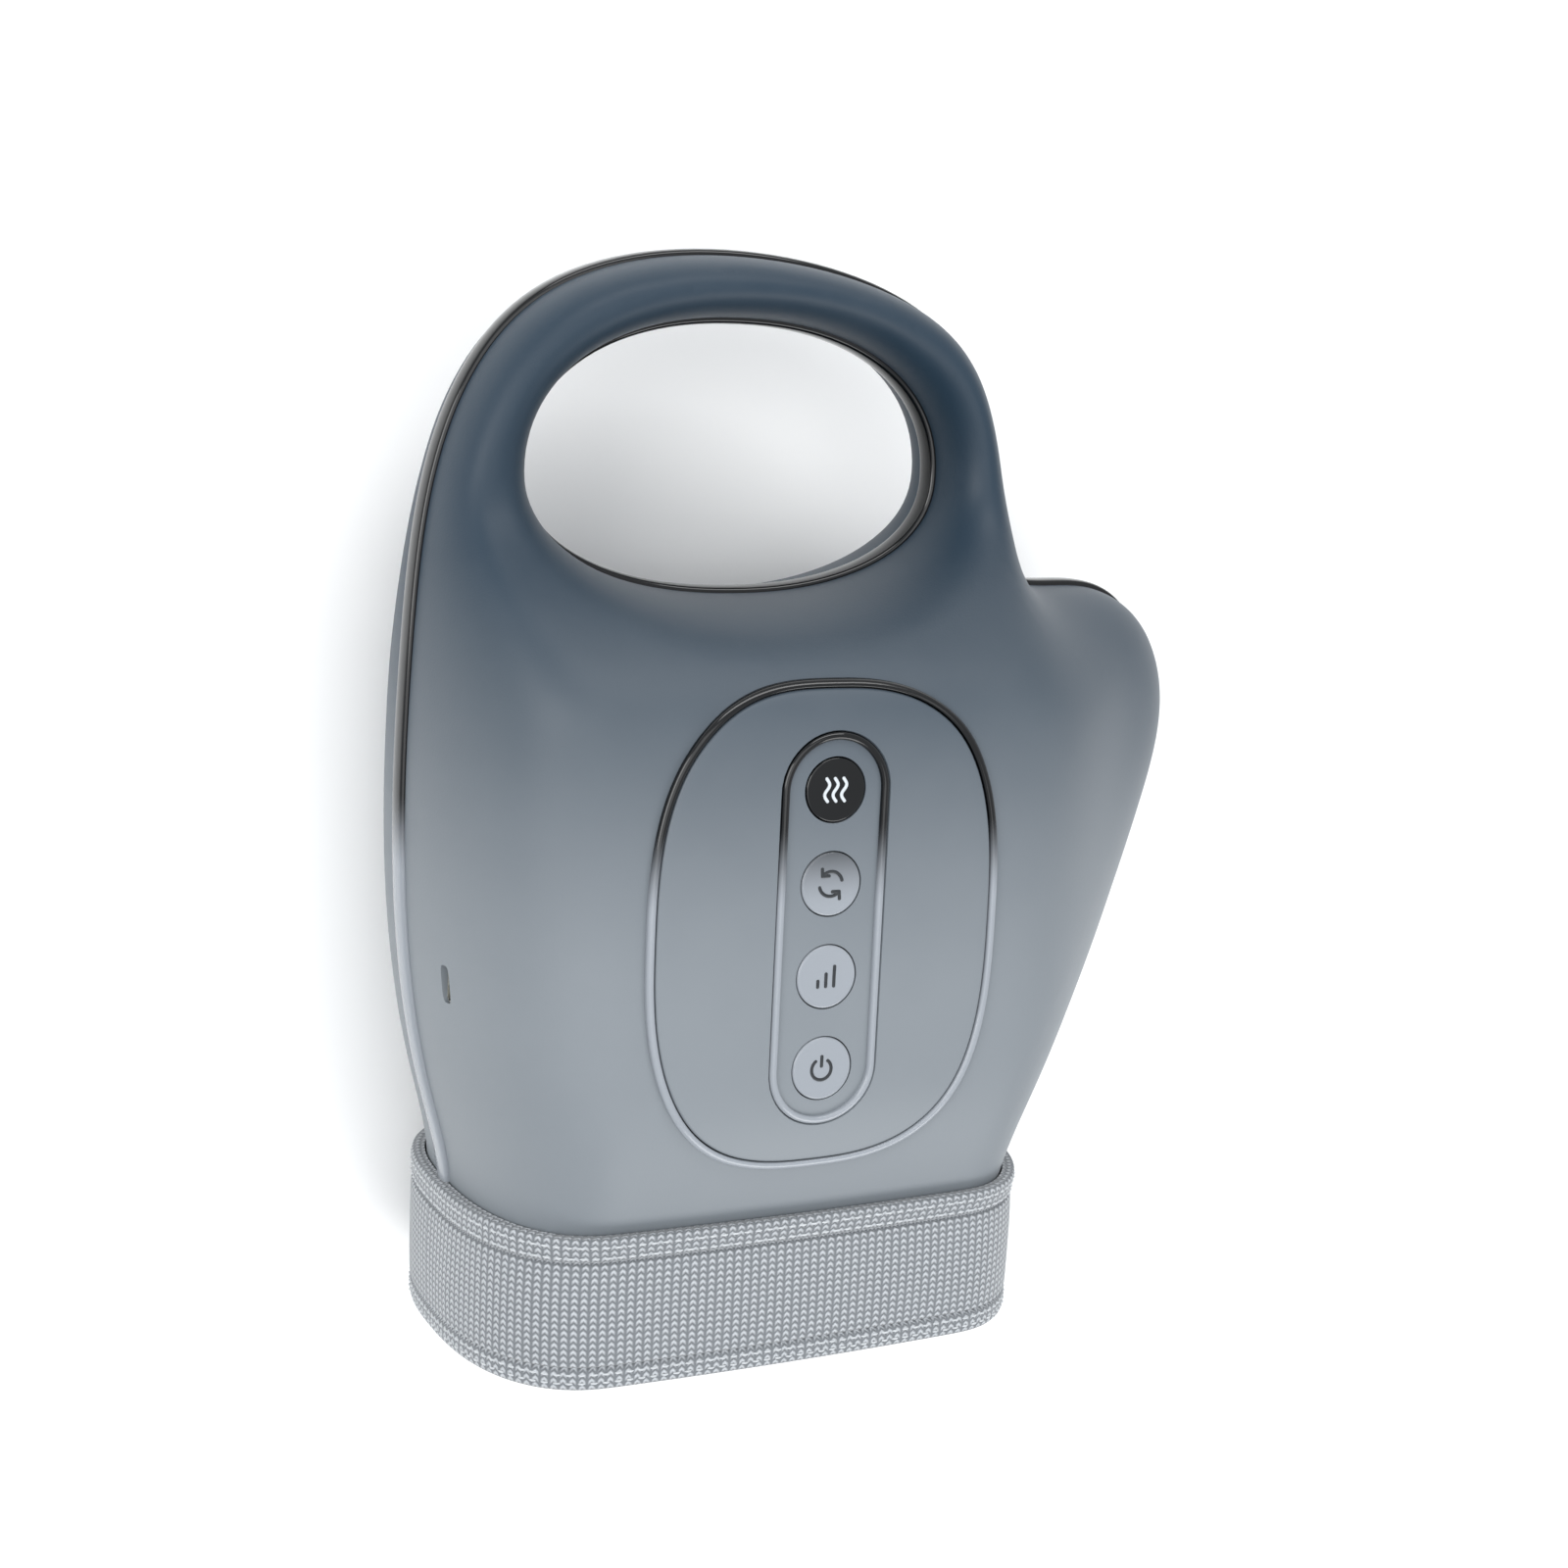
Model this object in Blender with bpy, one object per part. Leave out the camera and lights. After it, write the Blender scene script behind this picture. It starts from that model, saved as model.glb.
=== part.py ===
"""Hand massager: a casing that takes the whole hand, with a carrying handle and a wrist cuff.

It lies flat with its keys up. +Z is up, +Y runs from the wrist to the handle and +X is the thumb's side. The
origin is on the surface that it rests on, under the middle of its outline. All lengths are in metres.
"""

import math

import bmesh
import bpy
import numpy as np
from mathutils import Matrix, Vector
from mathutils.geometry import delaunay_2d_cdt

# Overall size and common fits
BODY_LENGTH = 0.280
BODY_WIDTH = 0.220
CLEARANCE = 0.0003
OVERRUN = 0.004

# Outline of the casing, counter-clockwise, as shares of half the width and half the length. The points past
# the wrist only guide the curve: the mouth cuts them off.
OUTLINE_SHARES = (
    (0.541, -0.764), (0.564, -0.636), (0.768, -0.364), (0.948, -0.046), (0.999, 0.157), (0.936, 0.329),
    (0.800, 0.397), (0.627, 0.402), (0.552, 0.425), (0.529, 0.500), (0.464, 0.729), (0.291, 0.904),
    (-0.200, 1.000), (-0.700, 0.911), (-0.918, 0.664), (-0.986, 0.321), (-0.996, -0.143), (-0.936, -0.500),
    (-0.877, -0.693), (-0.873, -0.821), (-0.745, -1.043), (-0.182, -1.114), (0.400, -1.043), (0.541, -0.871),
)
OUTLINE_STEPS = 3

# Casing shells
WALL = 0.003
PARTING_HEIGHT = 0.050
FLOOR_HEIGHT = 0.003
HANDLE_RISE = 0.020
WRIST_DROP = 0.018
WRIST_LIFT = 0.008
CROWN_SHARE = 0.12
THUMB_DROP_SHARE = 0.42
ROLL_POWER = 2.5
PALM_ROLL = 0.036
HANDLE_ROLL = 0.0093
NECK_ROLL = 0.028
THUMB_ROLL = 0.020
OPENING_ROLL = 0.0125
HANDLE_START_SHARE = 0.143
HANDLE_END_SHARE = 0.643
WRIST_START_SHARE = 0.393
WRIST_END_SHARE = 1.000
LIFT_START_SHARE = 0.536
THUMB_START_SHARE = 0.273
NECK_START_SHARE = 0.29
ROLL_SPAN_SHARE = 0.464
SKIN_PITCH = 0.015
SKIN_ANGLES = (12.0, 27.0, 46.0, 68.0, 90.0)
LINING_ANGLES = (20.0, 50.0, 71.0, 90.0)
CONSTRAINED_ANGLE = 68.0
FENCE_SHARE = 0.93
RING_PITCH = 0.0026
LINING_PITCH_SHARE = 1.6
SAME_POINT = 1e-7

# Handle opening, set by the bars round it and by its distance from the control island
HANDLE_BAR = 0.0185
HANDLE_LEFT_BAR = 0.0240
HANDLE_RIGHT_BAR = 0.0202
ISLAND_TO_OPENING = 0.0169
OPENING_WIDEST_SHARE = 0.44
OPENING_POWER = 2.2
OPENING_POINTS = 40

# Mouth, cuff and wrist frame
MOUTH_SHARE = -0.768
CUFF_OVERLAP = 0.008
CUFF_LENGTH = 0.0405
NECK_TOP_POINTS = 5
CUFF_FIT = 0.0005
CUFF_THICKNESS = 0.0036
CUFF_EDGE = 0.0006
CUFF_WAIST = 0.0006
CUFF_SEAM = 0.0008
TOP_HEM = 0.007
BOTTOM_HEM = 0.006
MOUTH_FRAME_THICKNESS = 0.003
MOUTH_FRAME_GAP = 0.0008
MOUTH_CORNER = 0.012

# Gloss trim along the parting line and round the handle opening
TRIM_PROUD = 0.0016
TRIM_HEIGHT = 0.007
TRIM_CROWN = 0.0004
TONGUE_DEPTH = 0.0022
TONGUE_THICKNESS = 0.0012

# Control island
ISLAND_SHARES = (-0.173, -0.166)
ISLAND_HALF_WIDTH = 0.0468
ISLAND_HALF_LENGTH = 0.0608
ISLAND_POWER = 2.75
ISLAND_POINTS = 40
ISLAND_LIFT = 0.0010
ISLAND_THICKNESS = 0.0026
ISLAND_EDGE = 0.0004
ISLAND_SKIRT = 0.0027
ISLAND_FLANGE = 0.0042
ISLAND_FLANGE_THICKNESS = 0.0016
ISLAND_LINE = 0.0020
ISLAND_LINE_LIFT = 0.0015
ISLAND_LINE_EDGE = 0.0005
ISLAND_CUT_DEPTH = 0.009
ISLAND_RING_SHARES = (0.3, 0.6, 0.85)

# Key strip and keys
STRIP_HALF_WIDTH = 0.0145
STRIP_HALF_LENGTH = 0.0495
STRIP_LINE = 0.0020
STRIP_LINE_LIFT = 0.0015
STRIP_FACE_LIFT = 0.0002
STRIP_DEPTH = 0.0050
STRIP_FLANGE = 0.0020
STRIP_ARC_POINTS = 13
KEY_NAMES = ("heat", "mode", "intensity", "power")
KEY_PITCH = 0.0234
KEY_RADIUS = 0.0080
KEY_LIFT = 0.0004
KEY_DISH = 0.0003
KEY_DISH_SHARE = 0.6
KEY_FLANGE = 0.0013
KEY_FLANGE_THICKNESS = 0.0010
KEY_EDGE = 0.0005
KEY_STEM_RADIUS = 0.00175
KEY_TRAVEL = 0.0005
KEY_SIDES = 20

# Key board and switches
BOARD_DEPTH = 0.0130
BOARD_GAP = 0.0013
BOARD_THICKNESS = 0.0016
BOARD_WIDTH = 0.050
BOARD_LENGTH = 0.100
SWITCH_SIDE = 0.006
SWITCH_HEIGHT = 0.0035
STEM_IN_SWITCH = 0.0008
BOARD_BOSS_RADIUS = 0.003
BOARD_BOSS_INSET = (0.0035, 0.0080)
BOARD_SCREW_RADIUS = 0.0011
BOARD_SCREW_HEAD = 0.0026
BOARD_SCREW_HEAD_HEIGHT = 0.0014
BOARD_SCREW_LENGTH = 0.0055

# Hand pocket, counter-clockwise from the palm's heel, as shares like the outline's. Its last points guide it
# past the mouth.
POCKET_SHARES = (
    (0.382, -0.743), (0.400, -0.607), (0.545, -0.414), (0.700, -0.200), (0.764, 0.000), (0.745, 0.150),
    (0.627, 0.225), (0.409, 0.257), (0.000, 0.271), (-0.455, 0.268), (-0.664, 0.225), (-0.750, 0.121),
    (-0.768, 0.000), (-0.768, -0.286), (-0.736, -0.536), (-0.709, -0.743), (-0.700, -0.964), (-0.182, -1.036),
    (0.373, -0.964),
)
POCKET_STEPS = 2
POCKET_BACK_SHARE = -0.686
FRAME_THICKNESS = 0.002
FRAME_STAND_OFF = 0.003
UPPER_FRAME_MARGIN = 0.002
LOWER_FRAME_INSET = 0.009
BAG_THICKNESS = 0.007
BAG_INSET = 0.007
BAG_EDGE = 0.003
BAG_SPLIT_SHARE = -0.020
BAG_GAP = 0.003
HEAT_PAD_THICKNESS = 0.001
HEAT_PAD_INSET = 0.012
HEAT_PAD_BACK_SHARE = -0.500
LINER_WALL = 0.0012
LINER_CORNER = 0.006
CAVITY_HEIGHT = 0.041
POST_RADIUS = 0.0035
PEG_RADIUS = 0.0015
POST_SHARES = ((-0.655, 0.125), (0.560, 0.120), (-0.600, -0.610), (0.290, -0.610))

# Pump
PUMP_SHARE = -0.536
PUMP_TO_MANIFOLD = 0.03696
PUMP_SIDE = 0.0236
PUMP_CORNER = 0.003
CAN_RADIUS = 0.0115
CAN_LENGTH = 0.032
CAN_WALL = 0.0012
ENDCAP_LENGTH = 0.0028
SHAFT_RADIUS = 0.0010
ARMATURE_RADIUS = 0.0085
ARMATURE_LENGTH = 0.018
COMMUTATOR_RADIUS = 0.0035
COMMUTATOR_LENGTH = 0.004
BUSH_RADIUS = 0.0030
BUSH_LENGTH = 0.0040
CRANK_RADIUS = 0.0070
CRANK_LENGTH = 0.0050
CRANK_THROW = 0.0020
CRANK_PIN_RADIUS = 0.0010
CRANK_FACE = 0.0013
SHAFT_END_GAP = 0.0006
PUMP_BODY_LENGTH = 0.0165
PUMP_BODY_WALL = 0.0015
PUMP_BORE = 0.0103
ROCKER_RADIUS = 0.0095
ROCKER_THICKNESS = 0.0015
ROCKER_PLAY = 0.0004
DIAPHRAGM_THICKNESS = 0.0020
DIAPHRAGM_CUPS = 3
DIAPHRAGM_CUP_RADIUS = 0.0034
DIAPHRAGM_CUP_PLACE = 0.0060
DIAPHRAGM_CUP_DEPTH = 0.0030
PUMP_COVER_LENGTH = 0.0070
CRADLE_LENGTH = 0.020
CRADLE_FLOOR = 0.0012
CRADLE_WALL = 0.0015
CRADLE_HEIGHT = 0.009

# Valves and hoses
MANIFOLD_SHARES = (-0.173, 0.050)
MANIFOLD_WIDTH = 0.038
MANIFOLD_DEPTH = 0.014
MANIFOLD_HEIGHT = 0.010
VALVE_NAMES = ("finger", "palm")
VALVE_PITCH = 0.020
VALVE_SIDE = 0.012
VALVE_HEIGHT = 0.0085
VALVE_STROKE = 0.001
PLUNGER_RADIUS = 0.0019
PLUNGER_HEAD_RADIUS = 0.0033
PLUNGER_HEAD_HEIGHT = 0.0008
SPRING_LENGTH = 0.0032
SPRING_RADIUS = 0.0027
SPRING_WIRE = 0.0003
SPRING_TURNS = 3
SPRING_POINTS = 9
HOSE_RADIUS = 0.0020
HOSE_BORE = 0.0013
HOSE_BEND = 0.0048
NIPPLE_RADIUS = 0.0010
NIPPLE_LENGTH = 0.0040
NIPPLE_HEIGHT = 0.0065
BAG_NIPPLE_LENGTH = 0.0041
HOSE_SIDES = 8
WIRE_SIDES = 5
BEND_STEPS = 4
SWEEP_START = (0.3, 0.5, 0.8)
LOWER_HOSE_SHARES = (-0.805, 0.171)

# Battery and charging socket
BATTERY_SHARES = (0.245, -0.214)
CELL_RADIUS = 0.0092
CELL_LENGTH = 0.065
CELL_COUNT = 2
TRAY_WALL = 0.0015
TRAY_FLOOR = 0.0012
TRAY_HEIGHT = 0.009
SOCKET_SHARE = -0.286
SOCKET_WIDTH = 0.009
SOCKET_HEIGHT = 0.0032
SOCKET_DEPTH = 0.0075
SOCKET_WALL = 0.0004
SOCKET_CORNER = 0.0012
SOCKET_SETBACK = 0.0010
FLANK_STEPS = 400
SOCKET_BOARD_WIDTH = 0.013
SOCKET_BOARD_LENGTH = 0.010
SOCKET_BOARD_THICKNESS = 0.0010
SOCKET_TONGUE_THICKNESS = 0.0007
SOCKET_TAB_GAP = 0.0010

# Feet and casing screws
FOOT_RADIUS = 0.008
FOOT_EDGE = 0.0008
FOOT_SHARES = ((-0.620, 0.150), (0.420, 0.120), (-0.540, -0.500), (0.260, -0.500))
SCREW_SHARES = ((-0.200, 0.929), (-0.873, 0.329), (0.850, 0.171), (-0.800, -0.607), (0.468, -0.607))
BOSS_OUTER = 0.004
WELL_RADIUS = 0.0031
WELL_ROOF = 0.010
SCREW_RADIUS = 0.0014
SCREW_HEAD_RADIUS = 0.0027
SCREW_HEAD_HEIGHT = 0.0020
SCREW_ENGAGEMENT = 0.010
SCREW_TIP_GAP = 0.0010
SCREW_SIDES = 12
ROUND_SIDES = 20

# Heights and places that follow from the sizes above
SEAM_GAP = TONGUE_THICKNESS / 2 + CLEARANCE
LOWER_FRAME_BASE = FLOOR_HEIGHT + WALL + FRAME_STAND_OFF
LOWER_FRAME_TOP = LOWER_FRAME_BASE + FRAME_THICKNESS
LOWER_BAG_BASE = LOWER_FRAME_TOP + CLEARANCE
HEAT_PAD_BASE = LOWER_BAG_BASE + BAG_THICKNESS + CLEARANCE
LINER_BASE = HEAT_PAD_BASE + HEAT_PAD_THICKNESS + CLEARANCE
CAVITY_BASE = LINER_BASE + LINER_WALL
CAVITY_TOP = CAVITY_BASE + CAVITY_HEIGHT
LINER_TOP = CAVITY_TOP + LINER_WALL
UPPER_BAG_BASE = LINER_TOP + CLEARANCE
UPPER_FRAME_BASE = UPPER_BAG_BASE + BAG_THICKNESS + CLEARANCE
UPPER_FRAME_TOP = UPPER_FRAME_BASE + FRAME_THICKNESS
BAY_FLOOR = UPPER_FRAME_TOP + CLEARANCE
OPENING_TOP = BODY_LENGTH / 2 - HANDLE_BAR
OPENING_BOTTOM = ISLAND_SHARES[1] * BODY_LENGTH / 2 + ISLAND_HALF_LENGTH + ISLAND_TO_OPENING
OPENING_WIDEST = OPENING_BOTTOM + OPENING_WIDEST_SHARE * (OPENING_TOP - OPENING_BOTTOM)
MOUTH_Y = MOUTH_SHARE * BODY_LENGTH / 2
POCKET_BACK_Y = POCKET_BACK_SHARE * BODY_LENGTH / 2
CUFF_TOP_Y = MOUTH_Y + CUFF_OVERLAP
LEDGE = WALL + CLEARANCE
CAN_AXIS_Z = BAY_FLOOR + CRADLE_FLOOR + CLEARANCE + CAN_RADIUS
HOSE_Z = BAY_FLOOR + NIPPLE_HEIGHT
MANIFOLD_TOP = BAY_FLOOR + MANIFOLD_HEIGHT
VALVE_BASE = MANIFOLD_TOP + CLEARANCE
VALVE_TOP = VALVE_BASE + VALVE_HEIGHT
PLUNGER_HEAD_BASE = VALVE_TOP + CLEARANCE + SPRING_LENGTH + CLEARANCE
PLUNGER_TOP = PLUNGER_HEAD_BASE + PLUNGER_HEAD_HEIGHT
BOARD_TOP = PLUNGER_TOP + BOARD_GAP + BOARD_THICKNESS
CREST = BOARD_TOP + BOARD_DEPTH
STRIP_BASE = CREST - STRIP_DEPTH
PALM_RISE = CREST - PARTING_HEIGHT
CELL_Z = BAY_FLOOR + TRAY_FLOOR + CLEARANCE + CELL_RADIUS

# Colour, roughness and metallic value of each material
FINISHES = {
    "soft_touch_plastic": ((0.115, 0.130, 0.145), 0.55, 0.0),
    "satin_plastic": ((0.075, 0.085, 0.098), 0.38, 0.0),
    "gloss_black": ((0.006, 0.006, 0.007), 0.08, 0.0),
    "knit_fabric": ((0.070, 0.075, 0.082), 0.95, 0.0),
    "lining_fabric": ((0.030, 0.032, 0.036), 0.90, 0.0),
    "black_rubber": ((0.020, 0.020, 0.021), 0.80, 0.0),
    "steel": ((0.560, 0.570, 0.580), 0.30, 1.0),
    "brass": ((0.640, 0.480, 0.210), 0.32, 1.0),
    "copper": ((0.610, 0.290, 0.150), 0.40, 1.0),
    "board_green": ((0.020, 0.120, 0.060), 0.45, 0.0),
    "natural_nylon": ((0.600, 0.590, 0.540), 0.50, 0.0),
    "inner_black": ((0.035, 0.036, 0.040), 0.60, 0.0),
    "bag_film": ((0.170, 0.180, 0.200), 0.35, 0.0),
    "silicone": ((0.620, 0.640, 0.640), 0.40, 0.0),
    "cell_wrap": ((0.030, 0.130, 0.330), 0.35, 0.0),
    "heater_amber": ((0.500, 0.220, 0.050), 0.40, 0.0),
}


def place(shares):
    """The point whose coordinates are these shares of half the width and half the length."""
    return np.array([shares[0] * BODY_WIDTH / 2, shares[1] * BODY_LENGTH / 2])


def material(name):
    """The named finish, made once."""
    made = bpy.data.materials.get(name)
    if made:
        return made
    colour, roughness, metallic = FINISHES[name]
    made = bpy.data.materials.new(name)
    made.use_nodes = True
    shader = made.node_tree.nodes["Principled BSDF"]
    shader.inputs["Base Color"].default_value = (*colour, 1.0)
    shader.inputs["Roughness"].default_value = roughness
    shader.inputs["Metallic"].default_value = metallic
    made.diffuse_color = (*colour, 1.0)
    return made


def clear_scene():
    for found in list(bpy.data.objects):
        bpy.data.objects.remove(found, do_unlink=True)


def add_object(name, mesh, finish=None, smooth_angle=35.0):
    """Link a mesh as a named piece, shaded smooth up to the given angle in degrees."""
    made = bpy.data.objects.new(name, mesh)
    bpy.context.scene.collection.objects.link(made)
    if finish:
        mesh.materials.append(material(finish))
    mesh.shade_smooth()
    mesh.set_sharp_from_angle(angle=math.radians(smooth_angle))
    return made


def mesh_from_faces(name, points, faces):
    """A closed mesh whose faces are turned outwards."""
    form = bmesh.new()
    corners = [form.verts.new(tuple(map(float, point))) for point in points]
    for face in faces:
        form.faces.new([corners[i] for i in face])
    bmesh.ops.recalc_face_normals(form, faces=form.faces)
    if form.calc_volume(signed=True) < 0:
        bmesh.ops.reverse_faces(form, faces=form.faces)
    mesh = bpy.data.meshes.new(name)
    form.to_mesh(mesh)
    form.free()
    return mesh


def loft(name, rings, wrap=False, finish=None):
    """A skin through equal loops of points. A loop of one point closes an end, wrap joins the last loop to
    the first, and any other end is capped flat."""
    rings = [np.atleast_2d(np.asarray(ring, float)) for ring in rings]
    starts = np.cumsum([0] + [len(ring) for ring in rings])
    faces = []
    pairs = list(zip(range(len(rings)), range(1, len(rings))))
    if wrap:
        pairs.append((len(rings) - 1, 0))
    for a, b in pairs:
        count = max(len(rings[a]), len(rings[b]))
        for i in range(count):
            j = (i + 1) % count
            quad = [starts[a] + i % len(rings[a]), starts[a] + j % len(rings[a])]
            quad += [starts[b] + j % len(rings[b]), starts[b] + i % len(rings[b])]
            faces.append(list(dict.fromkeys(quad)))
    for end in () if wrap else (0, len(rings) - 1):
        if len(rings[end]) > 1:
            faces.append(list(range(starts[end], starts[end + 1])))
    return add_object(name, mesh_from_faces(name, np.concatenate(rings), faces), finish)


def combine(target, tool, operation):
    """Cut a helper from a piece, or join it on, and hide the helper."""
    modifier = target.modifiers.new(tool.name, "BOOLEAN")
    modifier.solver = "EXACT"
    modifier.operation = operation
    modifier.object = tool
    tool.hide_render = True
    tool.display_type = "WIRE"


def cut(target, *tools):
    for tool in tools:
        combine(target, tool, "DIFFERENCE")


def join(target, *tools):
    for tool in tools:
        combine(target, tool, "UNION")


def box(name, low, high, finish=None):
    """A block between two corners."""
    x0, y0, z0 = low
    x1, y1, z1 = high
    base = [(x0, y0), (x1, y0), (x1, y1), (x0, y1)]
    return prism(name, base, z0, z1, finish)


def raised(loop, height):
    """A flat outline as points at one height, or at a height for each point."""
    loop = np.asarray(loop, float)
    return np.column_stack([loop, np.broadcast_to(height, len(loop))])


def prism(name, loop, low, high, finish=None):
    """An upright solid of one flat outline."""
    return loft(name, [raised(loop, low), raised(loop, high)], finish=finish)


def bar(name, loop, start, end, axis="y", finish=None):
    """A solid of one outline, of x and z along y or of y and z along x, between two places on its axis."""
    order = [0, 2, 1] if axis == "y" else [2, 0, 1]
    return loft(name, [raised(loop, along)[:, order] for along in (start, end)], finish=finish)


def merged(name, pieces, finish=None):
    """Separate solids as one helper, for a single cut or join."""
    form = bmesh.new()
    for piece in pieces:
        form.from_mesh(piece.data)
        bpy.data.objects.remove(piece, do_unlink=True)
    mesh = bpy.data.meshes.new(name)
    form.to_mesh(mesh)
    form.free()
    return add_object(name, mesh, finish)


def turned(name, profile, centre, axis="z", sides=ROUND_SIDES, wrap=False, finish=None):
    """A solid of revolution. The profile is pairs of radius and distance along the axis from the centre."""
    angles = np.arange(sides) * 2 * math.pi / sides
    rings = []
    for radius, along in profile:
        turns = angles if radius > 0 else angles[:1]
        ring = np.column_stack([radius * np.cos(turns), radius * np.sin(turns), np.full(len(turns), along)])
        if axis == "y":
            ring = ring[:, [0, 2, 1]]
        if axis == "x":
            ring = ring[:, [2, 0, 1]]
        rings.append(ring + np.asarray(centre, float))
    return loft(name, rings, wrap=wrap, finish=finish)


def rod(name, centre, radius, start, end, axis="z", sides=ROUND_SIDES, finish=None):
    """A plain cylinder between two distances along its axis."""
    return turned(name, ((radius, start), (radius, end)), centre, axis, sides, finish=finish)


def with_pivot(piece, pivot):
    """Move a piece's origin to its joint's axis and leave its shape where it is."""
    pivot = Vector(tuple(map(float, pivot)))
    piece.data.transform(Matrix.Translation(-pivot))
    piece.location = pivot
    return piece


# Curves and outlines


def closed_curve(points, steps):
    """A smooth closed curve through the points: a periodic cubic spline, in equal steps between points."""
    points = np.array(points, float)
    count = len(points)
    chords = np.linalg.norm(np.roll(points, -1, 0) - points, axis=1) ** 0.5
    system = np.zeros((count, count))
    right = np.zeros((count, 2))
    for i in range(count):
        before, after = chords[i - 1], chords[i]
        system[i, i - 1] += before
        system[i, i] += 2 * (before + after)
        system[i, (i + 1) % count] += after
        rise = (points[(i + 1) % count] - points[i]) / after
        right[i] = 6 * (rise - (points[i] - points[i - 1]) / before)
    bends = np.linalg.solve(system, right)
    curve = []
    for i in range(count):
        j = (i + 1) % count
        chord = chords[i]
        for step in range(steps):
            done = step / steps * chord
            left = chord - done
            point = (bends[i] * left**3 + bends[j] * done**3) / (6 * chord)
            point = point + (points[i] / chord - bends[i] * chord / 6) * left
            curve.append(point + (points[j] / chord - bends[j] * chord / 6) * done)
    return np.array(curve)


def superellipse(centre, half_width, half_up, half_down, power, count):
    """A rounded outline, counter-clockwise, whose upper and lower halves may differ in height."""
    turn = np.arange(count) * 2 * math.pi / count
    across, along = np.cos(turn), np.sin(turn)
    x = np.sign(across) * np.abs(across) ** (2 / power) * half_width
    y = np.sign(along) * np.abs(along) ** (2 / power) * np.where(along > 0, half_up, half_down)
    return np.column_stack([x, y]) + centre


def stadium(centre, half_width, half_length, arc_points=STRIP_ARC_POINTS):
    """A slot's outline, counter-clockwise, with round ends up and down."""
    arc = np.linspace(0, math.pi, arc_points)
    top = np.column_stack([np.cos(arc), np.sin(arc)]) * half_width + (0, half_length - half_width)
    return np.concatenate([top, -top]) + centre


def rounded_rectangle(centre, half_width, half_height, radius, corner_points=5):
    """A rectangle's outline with round corners, counter-clockwise."""
    quarter = np.linspace(0, math.pi / 2, corner_points)
    loop = []
    for quadrant, (side, end) in enumerate(((1, 1), (-1, 1), (-1, -1), (1, -1))):
        turn = quarter + quadrant * math.pi / 2
        middle = np.array([side * (half_width - radius), end * (half_height - radius)])
        loop.append(np.column_stack([np.cos(turn), np.sin(turn)]) * radius + middle)
    return np.concatenate(loop) + centre


def outward_normals(loop):
    """The normal at each point of a counter-clockwise outline."""
    run = np.roll(loop, -1, 0) - np.roll(loop, 1, 0)
    run = run / np.linalg.norm(run, axis=1)[:, None]
    return np.column_stack([run[:, 1], -run[:, 0]])


def offset(loop, distance):
    """The outline moved outwards by a distance, or by one for each point."""
    return loop + outward_normals(loop) * np.broadcast_to(distance, len(loop))[:, None]


def distance_to(loop, points):
    """How far each point lies from the nearest side of an outline."""
    start, run = loop, np.roll(loop, -1, 0) - loop
    across = points[:, None, :] - start[None]
    share = (across * run[None]).sum(2) / (run**2).sum(1)[None]
    nearest = across - np.clip(share, 0, 1)[:, :, None] * run[None]
    return np.sqrt((nearest**2).sum(2)).min(1)


def inside(loop, points):
    """Whether each point lies within an outline."""
    x, y = points[:, :1], points[:, 1:]
    x0, y0 = loop[None, :, 0], loop[None, :, 1]
    x1, y1 = np.roll(loop, -1, 0)[None, :, 0], np.roll(loop, -1, 0)[None, :, 1]
    spans = (y0 > y) != (y1 > y)
    height = np.where(spans, y1 - y0, 1)
    crossed = spans & (x < x0 + (y - y0) / height * (x1 - x0))
    return crossed.sum(1) % 2 == 1


def width_at(line, y):
    """Where an outline crosses one value of y, as its least and greatest x."""
    ahead = np.roll(line, -1, 0)
    crossed = (line[:, 1] - y) * (ahead[:, 1] - y) < 0
    start, end = line[crossed], ahead[crossed]
    x = start[:, 0] + (end[:, 0] - start[:, 0]) * (y - start[:, 1]) / (end[:, 1] - start[:, 1])
    return x.min(), x.max()


def opening_line():
    """The handle opening's outline, between the bars that are left of the casing's."""
    left, right = width_at(BODY_LINE, OPENING_WIDEST)
    left, right = left + HANDLE_LEFT_BAR, right - HANDLE_RIGHT_BAR
    reach_up, reach_down = OPENING_TOP - OPENING_WIDEST, OPENING_WIDEST - OPENING_BOTTOM
    centre = ((left + right) / 2, OPENING_WIDEST)
    return superellipse(centre, (right - left) / 2, reach_up, reach_down, OPENING_POWER, OPENING_POINTS)


BODY_LINE = closed_curve([place(shares) for shares in OUTLINE_SHARES], OUTLINE_STEPS)
SHELL_LINE = offset(BODY_LINE, -TRIM_PROUD)
OPENING_LINE = opening_line()
SHELL_OPENING_LINE = offset(OPENING_LINE, TRIM_PROUD)
ISLAND_CENTRE = place(ISLAND_SHARES)
POCKET_LINE = closed_curve([place(shares) for shares in POCKET_SHARES], POCKET_STEPS)


def island_line(distance):
    """The control island's outline, moved outwards by a distance."""
    line = superellipse(
        ISLAND_CENTRE, ISLAND_HALF_WIDTH, ISLAND_HALF_LENGTH, ISLAND_HALF_LENGTH, ISLAND_POWER, ISLAND_POINTS
    )
    return offset(line, distance)


def strip_line(distance):
    """The key strip's outline, moved outwards by a distance."""
    return stadium(ISLAND_CENTRE, STRIP_HALF_WIDTH + distance, STRIP_HALF_LENGTH + distance)


# The casing's skin


def ease(share):
    """A smooth step from 0 to 1."""
    share = np.clip(share, 0, 1)
    return share**3 * (6 * share**2 - 15 * share + 10)


def between(value, start_share, end_share, side):
    """How far a coordinate has gone from one share of a side to another, eased."""
    start, end = start_share * side, end_share * side
    return ease((value - start) / (end - start))


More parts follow.
